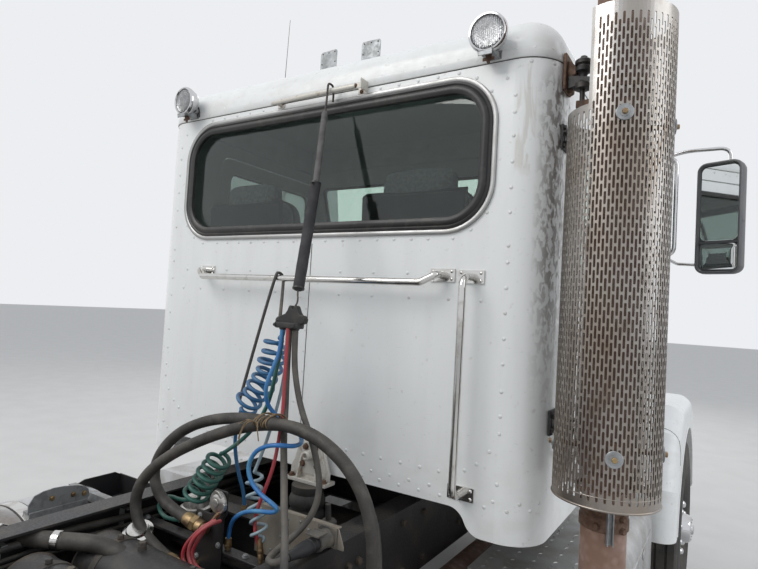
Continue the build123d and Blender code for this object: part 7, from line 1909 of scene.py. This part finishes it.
hood_seams, hood_bits, hood_rubber = builders(3)
for side in (-1, 1):
    hits = [on_skin(hood_tree, (side * 1.2, -1.9 - k * 0.0555, 1.475 - k * 0.0025), (-side, 0, 0))
        for k in range(27)]
    hits = [h for h in hits if h]
    rows = [[p + Vector((0, 0, -0.0035)) - n * 0.001, p + Vector((0, 0, -0.003)) + n * 0.0011,
        p + Vector((0, 0, 0.003)) + n * 0.0011, p + Vector((0, 0, 0.0035)) - n * 0.001] for p, n in hits]
    hood_seams.grid(rows)
    for y in (-1.925, -2.7, -3.25):
        found = on_skin(hood_tree, (side * 1.2, y, 1.4), (-side, 0, 0))
        if not found:
            continue
        place, normal = found
        turn = Matrix((Vector(BACK), Vector(UP), normal)).transposed()
        hood_bits.block((-0.02, -0.04, -0.002), (0.02, 0.04, 0.004), turn, place)
        for dz in (-0.028, 0.028):
            hood_bits.bolt(place + Vector((0, 0, dz)) + normal * 0.004, normal, 0.01, 0.004)
        if y > -2.0:
            hood_rubber.block((-0.011, -0.005, 0.004), (0.011, 0.105, 0.014), turn, place)
            hood_rubber.block((-0.017, 0.085, 0.003), (0.017, 0.112, 0.022), turn, place)
    for k in range(6):
        found = on_skin(hood_tree, (side * 1.2, -2.1 - k * 0.115, 1.585), (-side, 0, 0))
        if found:
            place, normal = found
            turn = Matrix((Vector(BACK), Vector(UP), normal)).transposed()
            hood_bits.add([place + turn @ Vector(c) for c in ((-0.034, -0.05, -0.001),
                (0.034, -0.05, -0.001), (0.034, 0.05, -0.001), (-0.034, 0.05, -0.001),
                (-0.03, -0.044, 0.003), (0.024, -0.044, 0.016), (0.024, 0.044, 0.016),
                (-0.03, 0.044, 0.003))], [(0, 1, 5, 4), (1, 2, 6, 5), (2, 3, 7, 6), (3, 0, 4, 7),
                (4, 5, 6, 7)])
hood_seams.finish("hood_side_seams", "sealant_and_lap_shadow", body="hood", smooth=60)
hood_bits.finish("hood_louvres_and_hinges", "paint", body="hood", bevel=0.0012)
hood_rubber.finish("hood_latches", "rubber", body="hood", bevel=0.002)

ridge = Builder()
hits = [on_skin(hood_tree, (0, -1.87 - k * 0.06, 2.4), DOWN) for k in range(26)]
rows = [[p + Vector((dx, 0, -0.001 if abs(dx) > 0.0135 else 0.0045))
    for dx in (-0.014, -0.011, 0.011, 0.014)] for p, n in [h for h in hits if h]]
ridge.grid(rows)
ridge.finish("hood_centre_strip", "satin", body="hood", smooth=40)

# Grille: surround, and a mesh behind the bars
surround = Builder()
grille_low, grille_high = (Vector(c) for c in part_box("grille"))
grille_x, grille_z = (grille_high.x - grille_low.x) / 2, (grille_high.z - grille_low.z) / 2
grille_mid = (grille_high.z + grille_low.z) / 2
surround_rows = []
for along, inset in ((0.0, -0.006), (-0.042, -0.006), (-0.048, 0.0), (-0.048, 0.02), (-0.042, 0.026),
        (-0.02, 0.026)):
    surround_rows.append([(a, -3.436 + along, grille_mid + b) for a, b in rounded_path(grille_x - inset,
        grille_z - inset, 0.04, 6)])
surround.grid(surround_rows, closed=True)
surround.finish("grille_surround", "chrome", body="hood", smooth=40)
screen = Builder()
for k in range(-13, 14):
    screen.sweep([(k * grille_x * 0.94 / 14, -3.438, grille_low.z + 0.03),
        (k * grille_x * 0.94 / 14, -3.438, grille_high.z - 0.03)], circle(0.0018, 5), up=BACK)
screen.finish("grille_screen", "cast_black", body="hood", smooth=60, slot="trim_black")

# Headlamps: bezel, twin rectangular beams and a corner indicator
bezel, beam_back, beam_lens, corner_lens = builders(4)
LAMP_X, LAMP_Z = 0.8, 0.9


def lamp_face(middle, half_w, half_h, radius, stages):
    """Rings of a rounded lamp face, each at its own y and scale."""
    outline = rounded_path(half_w, half_h, radius, 6)
    return [[(middle + a * s, y, LAMP_Z + b * s) for a, b in outline] for y, s in stages]


def lamp_rim(middle, half_w, half_h, radius, stages, least=0.0):
    """Rings of a lamp's rim, each at its own y and drawn in by its own inset."""
    return [[(middle + a, y, LAMP_Z + b) for a, b in rounded_path(half_w - i, half_h - i,
        max(radius - i, least) if least else radius, 6)] for y, i in stages]


for side in (-1, 1):
    x = side * LAMP_X
    bezel.stack(lamp_rim(x, 0.21, 0.085, 0.04, ((-3.44, 0.0), (-3.488, 0.0), (-3.497, 0.003), (-3.5, 0.008),
        (-3.498, 0.013), (-3.478, 0.015)), 0.02))
    for shift in (-0.104, 0.052):
        mid = x + side * shift
        bezel.grid(lamp_rim(mid, 0.077, 0.062, 0.012, ((-3.479, 0.0), (-3.492, 0.0), (-3.4945, 0.003),
            (-3.4945, 0.006), (-3.49, 0.008))), closed=True)
        beam_back.stack(lamp_face(mid, 0.066, 0.052, 0.012, ((-3.4895, 1.0), (-3.484, 0.85), (-3.48, 0.55),
            (-3.479, 0.2))))
        beam_lens.stack(lamp_face(mid, 0.0685, 0.0535, 0.012, ((-3.49, 1.0), (-3.4925, 1.0),
            (-3.4945, 0.94), (-3.4958, 0.6), (-3.4962, 0.2))))
    corner_lens.stack(lamp_face(x + side * 0.164, 0.029, 0.06, 0.01,
        ((-3.479, 1.0), (-3.493, 1.0), (-3.496, 0.93), (-3.4968, 0.5))))
bezel.finish("headlamp_bezels", "chrome", body="hood", replaces=["headlights"])
beam_back.finish("headlamp_reflectors", "mirror_glass", body="hood", replaces=["headlights"], smooth=40,
    slot="chrome")
beam_lens.finish("headlamp_lenses", "lens", body="hood", replaces=["headlights"])
corner_lens.finish("corner_indicators", "amber", body="hood", replaces=["headlights"])

# Bumper: bolts, fog lamps and tow eyes
bumper_bits = Builder()
for x in (-1.02, -0.42, 0.42, 1.02):
    for z in (0.45, 0.665):
        bumper_bits.dome((x, -3.6 + 0.0005, z), FRONT, 0.014, 0.0005, 16)
fog_rim, fog_lens = builders(2)
for side in (-1, 1):
    place = (side * 0.7, -3.5985, 0.56)
    fog_rim.lathe([(-0.03, 0.058), (-0.0012, 0.06), (-0.0006, 0.056), (-0.004, 0.052)], place, FRONT, 36,
        caps=False)
    fog_lens.lathe([(-0.028, 0.02), (-0.006, 0.051), (-0.004, 0.0515), (-0.0022, 0.03), (-0.0015, 0.008)],
        place, FRONT, 36)
tow = Builder()
for side in (-1, 1):
    x = side * 0.35
    eye = [(x, -3.575 + 0.022 * cos(TURN * k / 20), 0.405 + 0.03 * sin(TURN * k / 20)) for k in range(20)]
    tow.sweep(eye, circle(0.008, 10), closed=True, up=LEFT)
bumper_bits.finish("bumper_bolts", "polished", smooth=60)
fog_rim.finish("fog_lamp_rims", "trim", smooth=40)
fog_lens.finish("fog_lamp_lenses", "lens", smooth=40)
tow.finish("tow_eyes", "cast", smooth=60)

# Roof: five amber marker lamps
roof_tree = skin_tree("cab_roof")
marker_base, marker_lens = builders(2)
for x in (-0.7, -0.17, 0.0, 0.17, 0.7):
    found = on_skin(roof_tree, (x, -1.5, 3.2), DOWN)
    if not found:
        continue
    place, normal = found
    marker_base.lathe([(0.0, 0.034), (0.004, 0.034), (0.008, 0.029)], place, normal, 24)
    marker_lens.lathe([(0.006, 0.028), (0.018, 0.027), (0.032, 0.021), (0.04, 0.011), (0.0425, 0.003)],
        place, normal, 24)
marker_base.finish("marker_lamp_bases", "chrome")
marker_lens.finish("marker_lamps", "amber", smooth=45)

# Windscreen: wipers and rubber round the panes
AHEAD_Y = -2.6
glass_tree = skin_tree("cab_glass")
shell_front = skin_tree("cab_shell")
wipers = Builder()
for sweep_x in (-0.3, 0.6):
    foot = on_skin(shell_front, (sweep_x, AHEAD_Y, 1.984), BACK)
    tip = on_skin(glass_tree, (sweep_x - 0.33, AHEAD_Y, 2.24), BACK)
    if not foot or not tip:
        continue
    out = Vector(FRONT)
    start = foot[0] + out * 0.022
    end = tip[0] + out * 0.014
    wipers.lathe([(-0.024, 0.018), (-0.004, 0.016), (0.008, 0.01)], start, FRONT, 16)
    wipers.sweep([start, start.lerp(end, 0.5) + out * 0.012, end], [(-0.007, -0.0025), (0.007, -0.0025),
        (0.005, 0.003), (-0.005, 0.003)], up=out)
    way = Vector((-0.42, 0, 0.3)).normalized()
    ends = []
    for k in range(7):
        spot = end + way * (k / 6 - 0.5) * 0.42
        hit = on_skin(glass_tree, (spot.x, AHEAD_Y, spot.z), BACK)
        if hit:
            ends.append(hit[0] + out * 0.005)
    if len(ends) > 2:
        wipers.sweep(ends, [(-0.005, -0.004), (0.005, -0.004), (0.003, 0.007), (-0.003, 0.007)], up=out)
wipers.finish("wipers", "trim", bevel=0.0006)

screen_rubber = Builder()
for side in (-1, 1):
    pane = [v.co.copy() for v in nodes["cab_glass"].data.vertices if v.co.y < -1.55 and v.co.x * side > 0]
    if not pane:
        continue
    x0, x1 = min(v.x for v in pane), max(v.x for v in pane)
    z0, z1 = min(v.z for v in pane), max(v.z for v in pane)
    low = on_skin(glass_tree, ((x0 + x1) / 2, AHEAD_Y, z0 + 0.05), BACK)
    top = on_skin(glass_tree, ((x0 + x1) / 2, AHEAD_Y, z1 - 0.05), BACK)
    if not low or not top:
        continue
    slope = (top[0].y - low[0].y) / (top[0].z - low[0].z)
    out = low[1]
    path = []
    for a, b in rounded_path((x1 - x0) / 2 - 0.004, (z1 - z0) / 2 - 0.004, 0.05, 8):
        z = (z0 + z1) / 2 + b
        path.append(Vector(((x0 + x1) / 2 + a, low[0].y + slope * (z - low[0].z), z)) + out * 0.004)
    screen_rubber.sweep(path, [(-0.015, -0.01), (-0.013, 0.006), (-0.004, 0.01), (0.006, 0.01),
        (0.014, 0.005), (0.015, -0.01)], closed=True, up=out)
screen_rubber.finish("windscreen_rubber", "seal", smooth=50)


# Engine: what shows on the block when the hood is tilted
BLOCK_X = 0.325
BLOCK_TOP_Z = 1.6
COVER_Y = -2.56
engine_cover = Builder()
cover_rows = []
for z, half_x, half_y, radius in ((-0.002, 0.162, 0.48, 0.03), (0.01, 0.162, 0.48, 0.03),
        (0.012, 0.142, 0.46, 0.03), (0.058, 0.132, 0.45, 0.034), (0.074, 0.118, 0.436, 0.034),
        (0.08, 0.096, 0.414, 0.03)):
    cover_rows.append([(a, COVER_Y + b, BLOCK_TOP_Z + z) for a, b in rounded_path(half_x, half_y, radius, 6)])
engine_cover.stack(cover_rows)
for k in range(6):
    engine_cover.prism([(-0.07, 0.078), (0.07, 0.078), (0.064, 0.088), (-0.064, 0.088)],
        (0, COVER_Y - 0.36 + 0.135 * k, BLOCK_TOP_Z), BACK, RIGHT, 0.02)
engine_cover.lathe([(0.0, 0.034), (0.018, 0.034), (0.02, 0.028), (0.026, 0.026)],
    (0.045, COVER_Y + 0.36, BLOCK_TOP_Z + 0.078), UP, 20)
engine_cover.finish("engine_rocker_cover", "satin_cast", smooth=40)
engine_bolts = Builder()
for k in range(9):
    for side in (-1, 1):
        engine_bolts.bolt((side * 0.152, COVER_Y - 0.44 + 0.11 * k, BLOCK_TOP_Z + 0.01), UP, 0.013, 0.009)

# Manifold and turbo on the right, intake and injector lines on the left
manifold = Builder()
for k in range(6):
    y = -3.01 + 0.145 * k
    path = bent([(-BLOCK_X + 0.004, y, 1.5), (-BLOCK_X - 0.05, y, 1.5), (-BLOCK_X - 0.062, y, 1.44)], 0.03)
    manifold.sweep(path, circle(0.026, 12), up=BACK)
    manifold.prism([(-0.042, -0.038), (0.042, -0.038), (0.042, 0.038), (-0.042, 0.038)],
        (-BLOCK_X + 0.002, y, 1.5), RIGHT, BACK, 0.014)
    for dy in (-0.034, 0.034):
        engine_bolts.bolt((-BLOCK_X - 0.012, y + dy, 1.5), RIGHT, 0.013, 0.01)
log = [(-BLOCK_X - 0.064, -3.05 + 0.04 * k, 1.425) for k in range(18)]
manifold.sweep(log, circle(0.038, 18))
manifold.lathe([(-0.07, 0.045), (-0.06, 0.072), (-0.02, 0.086), (0.02, 0.086), (0.045, 0.066),
    (0.052, 0.046), (0.07, 0.044)], (-0.42, -2.29, 1.44), BACK, 28)
manifold.finish("engine_manifold_and_turbo", "rusty", smooth=40)
intake = Builder()
air_path = bent([(0.29, -3.196, 1.4), (0.388, -3.11, 1.4), (0.388, -2.48, 1.455),
    (BLOCK_X - 0.006, -2.37, 1.455)], 0.05, 8)
intake.sweep(air_path, circle(0.04, 18))
for y in (-2.98, -2.62):
    intake.lathe([(-0.012, 0.0405), (-0.012, 0.044), (0.012, 0.044), (0.012, 0.0405)],
        (0.388, y, 1.4 + 0.055 * (y + 3.11) / 0.63), (0, 1, 0.087), 24, caps=False)
for k in range(6):
    y = -2.99 + 0.145 * k
    line = bent([(BLOCK_X - 0.004, -2.7 + 0.03 * k, 1.3), (BLOCK_X + 0.022, -2.7 + 0.03 * k, 1.33),
        (BLOCK_X + 0.022, y, 1.56), (BLOCK_X - 0.004, y, 1.585)], 0.014)
    intake.sweep(line, circle(0.0045, 8))
intake.prism([(-0.2, 1.18), (0.13, 1.18), (0.13, 1.32), (-0.2, 1.32)], (BLOCK_X - 0.002, -2.6, 0), LEFT,
    BACK, 0.03)
intake.finish("engine_intake_and_lines", "satin_cast", smooth=40)
coolant = Builder()
coolant.sweep(bent([(-0.18, -3.196, 1.59), (-0.18, -3.15, 1.612), (-0.06, -3.11, 1.64),
    (-0.04, -3.02, 1.64)], 0.03, 6), circle(0.028, 16))
coolant.sweep(bent([(0.2, -3.196, 0.9), (0.2, -3.16, 0.89), (0.19, -3.116, 0.89)], 0.016, 6),
    circle(0.03, 16))
coolant.finish("engine_coolant_hoses", "rubber", smooth=60)
for side in (-1, 1):
    for k in range(5):
        engine_bolts.lathe([(0.0, 0.03), (0.003, 0.03), (0.004, 0.026)],
            (side * (BLOCK_X - 0.001), -2.96 + 0.2 * k, 1.12), (side, 0, 0), 18)
engine_bolts.finish("engine_bolts_and_plugs", "galvanised")


# Doors: window rubber, handle and kick plate; grab handles behind them
for side, hand in SIDES:
    body = "door_" + hand
    door_seal = Builder()
    seal_path = [(side * 0.9505, -1.2425 + a, 2.165 + b) for a, b in rounded_path(0.3445, 0.292, 0.058, 8)]
    door_seal.sweep(seal_path, [(-0.013, -0.006), (-0.011, 0.005), (0.0, 0.0075), (0.011, 0.005),
        (0.013, -0.006)], closed=True, up=(side, 0, 0))
    door_seal.finish("door_window_rubber_" + hand, "seal", body, smooth=50)
    handle_plate = Builder()
    handle_plate.block((side * 0.949, -0.985, 1.665), (side * 0.9535, -0.865, 1.725))
    handle_plate.lathe([(0.95, 0.017), (0.957, 0.016), (0.959, 0.012)], (0, -0.925, 1.61), (side, 0, 0), 20)
    handle_plate.finish("door_handle_plate_" + hand, "chrome", body, bevel=0.002)
    paddle = Builder()
    grip = bent([(side * 0.953, -0.972, 1.695), (side * 0.978, -0.972, 1.695), (side * 0.978, -0.88, 1.695),
        (side * 0.955, -0.88, 1.695)], 0.012)
    paddle.sweep(grip, [(-0.011, -0.004), (0.011, -0.004), (0.011, 0.004), (-0.011, 0.004)], up=UP)
    paddle.finish("door_handle_" + hand, "trim", body, bevel=0.0012)
    kick = Builder()
    kick.block((side * 0.9495, -1.69, 1.125), (side * 0.9515, -0.87, 1.235))
    for k in range(9):
        for z in (1.138, 1.222):
            kick.dome((side * 0.9515, -1.675 + k * 0.0985, z), (side, 0, 0), 0.0055, 0.0022, 8)
    kick.finish("door_kick_plate_" + hand, "aluminium", body, bevel=0.0006, slot="stainless")
    bars = Builder()
    path = bent([(side * 0.95, -0.755, 2.08), (side * 1.008, -0.755, 2.08), (side * 1.008, -0.755, 1.29),
        (side * 0.95, -0.755, 1.29)], 0.03)
    bars.sweep(path, circle(0.0125, 14), up=BACK)
    for z in (1.29, 2.08):
        bars.block((side * 0.949, -0.778, z - 0.036), (side * 0.9545, -0.732, z + 0.036))
        for dz in (-0.024, 0.024):
            bars.dome((side * 0.9545, -0.755, z + dz), (side, 0, 0), 0.006, 0.004, 10)
    bars.finish("side_grab_handle_" + hand, "polished", bevel=0.0012, slot="stainless")

side_rivets = Builder()
for side in (-1, 1):
    for z in [1.2 + k * 0.085 for k in range(17)]:
        side_rivets.dome((side * 0.9494, -0.69, z), (side, 0, 0), RIVET_R, RIVET_H)
    for z in (2.575, 2.622):
        side_rivets.dome((side * 0.9494, -0.66, z), (side, 0, 0), RIVET_R, RIVET_H)
    for k in range(12):
        side_rivets.dome((side * 0.9494, -0.74 - k * 0.075, 2.575), (side, 0, 0), RIVET_R, RIVET_H)
side_rivets.finish("side_rivets", "rivet", smooth=60)

# Side boxes: tread plates, doors, latches and a step
treads, box_trim = builders(2)
for side in (-1, 1):
    for row in range(5):
        for k in range(30):
            x = 0.7 + row * 0.068
            y = -1.92 + k * 0.0405
            tilt = radians(45 if (row + k) % 2 else -45)
            turn = Matrix.Rotation(tilt, 3, "Z")
            treads.add([Vector((side * x, y, 0.85)) + turn @ Vector(c)
                for c in ((-0.013, -0.0035, -0.0005), (0.013, -0.0035, -0.0005), (0.013, 0.0035, -0.0005),
                (-0.013, 0.0035, -0.0005), (0.0, 0.0, 0.002))], [(0, 1, 4), (1, 2, 4), (2, 3, 4),
                (3, 0, 4)])
    for y0, y1 in ((-1.92, -1.345), (-1.305, -0.73)):
        x = side * 1.12
        outline = rounded_path((y1 - y0) / 2, 0.125, 0.02, 5)
        rows = []
        for out, inset in ((-0.001, -0.002), (0.004, 0.0), (0.0048, 0.006), (0.003, 0.01)):
            rows.append([(x + side * out, (y0 + y1) / 2 + a * (1 - inset * 2), 0.62 + b * (1 - inset * 4))
                for a, b in outline])
        box_trim.stack(rows)
        box_trim.lathe([(1.124, 0.026), (1.127, 0.025), (1.129, 0.012)], (0, (y0 + y1) / 2, 0.712),
            (side, 0, 0), 20)
    box_trim.block((side * 1.119, -1.93, 0.488), (side * 1.165, -0.72, 0.494))
    box_trim.block((side * 1.16, -1.93, 0.474), (side * 1.165, -0.72, 0.494))
treads.finish("side_box_tread", "aluminium", smooth=20)
box_trim.finish("side_box_doors", "aluminium", bevel=0.0012)

# Dashboard: gauges, switches, a panel and the gear lever
dash_low, dash_high = (Vector(c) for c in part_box("dashboard"))
cluster, dials, dial_faces = builders(3)
face_y = dash_high.y
for k, (x, z) in enumerate([(0.3 + 0.082 * i, dash_high.z - 0.075) for i in range(4)]
        + [(0.26 + 0.07 * i, dash_high.z - 0.15) for i in range(6)] + [(-0.06 + 0.075 * i,
        dash_high.z - 0.09) for i in range(3)]):
    radius = 0.034 if k < 4 else 0.024
    dials.lathe([(-0.004, radius), (0.006, radius), (0.008, radius - 0.003), (0.003, radius - 0.005)],
        (x, face_y, z), BACK, 28, caps=False)
    dial_faces.lathe([(-0.003, radius - 0.004), (0.002, radius - 0.004)], (x, face_y, z), BACK, 28)
    dial_faces.block((x - 0.0012, face_y + 0.002, z - 0.004), (x + 0.0012, face_y + 0.0035, z + radius * 0.7))
for k in range(9):
    cluster.block((-0.1 + k * 0.036, face_y - 0.002, dash_high.z - 0.19),
        (-0.078 + k * 0.036, face_y + 0.01, dash_high.z - 0.165))
cluster.block((-0.55, face_y - 0.002, dash_high.z - 0.2), (-0.2, face_y + 0.006, dash_high.z - 0.05))
cluster.finish("dash_switches", "trim", bevel=0.0015)
dials.finish("gauge_rims", "polished", smooth=40)
dial_faces.finish("gauge_faces", "trim", smooth=40)
lever = Builder()
lever.sweep(bent([(0.06, -1.25, 1.16), (0.06, -1.22, 1.45), (0.1, -1.1, 1.72)], 0.1), circle(0.009, 12),
    up=LEFT)
lever.lathe([(0.0, 0.012), (0.01, 0.022), (0.03, 0.027), (0.052, 0.022), (0.06, 0.01)], (0.1, -1.1, 1.715),
    (0.2, 0.4, 1), 20)
lever.lathe([(1.16, 0.07), (1.185, 0.062), (1.2, 0.045), (1.225, 0.04), (1.24, 0.022)], (0.06, -1.245, 0.0),
    UP, 24)
lever.finish("gear_lever", "trim", smooth=50)

# Steering wheel: stitched grip and horn pad
wheel_axis = Vector((0.0, 220.0, 300.0)).normalized()
hub = Vector((0.42, -1.4, 1.95))
horn = Builder()
horn.lathe([(0.012, 0.052), (0.02, 0.05), (0.026, 0.04), (0.029, 0.022), (0.03, 0.006)], hub, wheel_axis, 32)
turn = frame_of(wheel_axis)
horn.finish("horn_pad", "dash", body="steering_wheel", smooth=45)
rim_grip = Builder()
rows = []
for k in range(181):
    angle = TURN * k / 180
    tube_r = 0.0166 + (0.0012 if k % 6 < 3 else 0.0)
    middle = Vector((0.225 * cos(angle), 0.225 * sin(angle), 0))
    out = Vector((cos(angle), sin(angle), 0))
    rows.append([hub + turn @ (middle + out * tube_r * cos(TURN * j / 12)
        + Vector((0, 0, tube_r * sin(TURN * j / 12)))) for j in range(12)])
rim_grip.grid(rows, closed=True)
rim_grip.finish("steering_grip", "trim", body="steering_wheel", smooth=60)


# Seats: stuffed cushions with sewn channels and piping, on shells and pedestals
def power(value, exponent):
    return copysign(abs(value) ** exponent, value)


def cushion(made, centre, half, turn, exponent=0.42, channels=5, dip=0.007):
    """Stuffed pad: a rounded box, crowned in the middle, with sewn channels across its face."""
    rows = []
    steps, around = 26, 72
    for i in range(steps + 1):
        phi = -pi / 2 + pi * i / steps
        row = []
        for j in range(around):
            theta = TURN * j / around
            a = power(cos(phi), exponent) * power(cos(theta), exponent)
            b = power(cos(phi), exponent) * power(sin(theta), exponent)
            c = power(sin(phi), 0.72)
            crown = 1.0 + 0.16 * (1 - a * a) * (1 - b * b) * (1 if c > 0 else 0.3)
            wave = ((a * 0.5 + 0.5) * channels) % 1.0 - 0.5
            fade = max(0.0, c) * max(0.0, 1 - abs(b) ** 6)
            groove = dip * fade * exp(-(wave ** 2) * 60) if abs(a) < 0.92 else 0.0
            spot = Vector((half[0] * a, half[1] * b, half[2] * c * crown - groove))
            row.append(Vector(centre) + turn @ spot)
        rows.append(row)
    made.grid(rows, closed=True)


def piping(made, centre, half, turn, level, radius=0.0045, exponent=0.42):
    path = []
    for k in range(72):
        theta = TURN * k / 72
        path.append(Vector(centre) + turn @ Vector((half[0] * power(cos(theta), exponent) * 0.985,
            half[1] * power(sin(theta), exponent) * 0.985, level)))
    made.sweep(path, circle(radius, 8), closed=True, up=turn @ Vector(UP))


for side, hand in SIDES:
    x = side * 0.43
    flat = Matrix.Rotation(radians(3.5), 3, "X")
    upright = Matrix.Rotation(radians(-83.0), 3, "X")
    base = Builder()
    cushion(base, (x, -0.885, 1.56), (0.24, 0.205, 0.062), flat)
    base.finish("seat_cushion_" + hand, "seat", replaces=["seats"], smooth=70)
    back = Builder()
    cushion(back, (x, -0.64, 1.9), (0.232, 0.32, 0.055), upright)
    back.finish("seat_back_" + hand, "seat", replaces=["seats"], smooth=70)
    head = Builder()
    cushion(head, (x, -0.612, 2.212), (0.15, 0.07, 0.046), upright, channels=1, dip=0.0)
    head.finish("seat_headrest_" + hand, "seat", replaces=["seats"], smooth=70)
    welt = Builder()
    piping(welt, (x, -0.885, 1.56), (0.24, 0.205, 0.062), flat, 0.03)
    piping(welt, (x, -0.64, 1.9), (0.232, 0.32, 0.055), upright, 0.022)
    welt.finish("seat_piping_" + hand, "foam", replaces=["seats"], smooth=60, slot="seat_grey")
    shell = Builder()
    shell.block((x - 0.225, -1.075, 1.49), (x + 0.225, -0.69, 1.52))
    shell.prism([(-0.7, 1.5), (-0.575, 1.49), (-0.545, 2.18), (-0.575, 2.2), (-0.59, 1.56), (-0.69, 1.54)],
        (x - 0.215, 0.0, 0.0), LEFT, BACK, 0.43)
    for lift in range(7):
        inset = 0.012 if lift % 2 else 0.0
        shell.block((x - 0.17 + inset, -0.985 + inset, 1.235 + lift * 0.035),
            (x + 0.17 - inset, -0.705 - inset, 1.27 + lift * 0.035))
    shell.block((x - 0.2, -1.0, 1.16), (x + 0.2, -0.69, 1.235))
    for edge in (-1, 1):
        shell.sweep(bent([(x + edge * 0.262, -0.64, 1.76), (x + edge * 0.262, -0.7, 1.775),
            (x + edge * 0.262, -0.96, 1.79)], 0.04), [(-0.022, -0.014), (0.022, -0.014), (0.024, 0.004),
            (0.012, 0.016), (-0.012, 0.016), (-0.024, 0.004)], up=UP)
    shell.finish("seat_shell_" + hand, "trim", replaces=["seats"], bevel=0.004)


# View transform of the finished look
scene.view_settings.view_transform = "Standard"
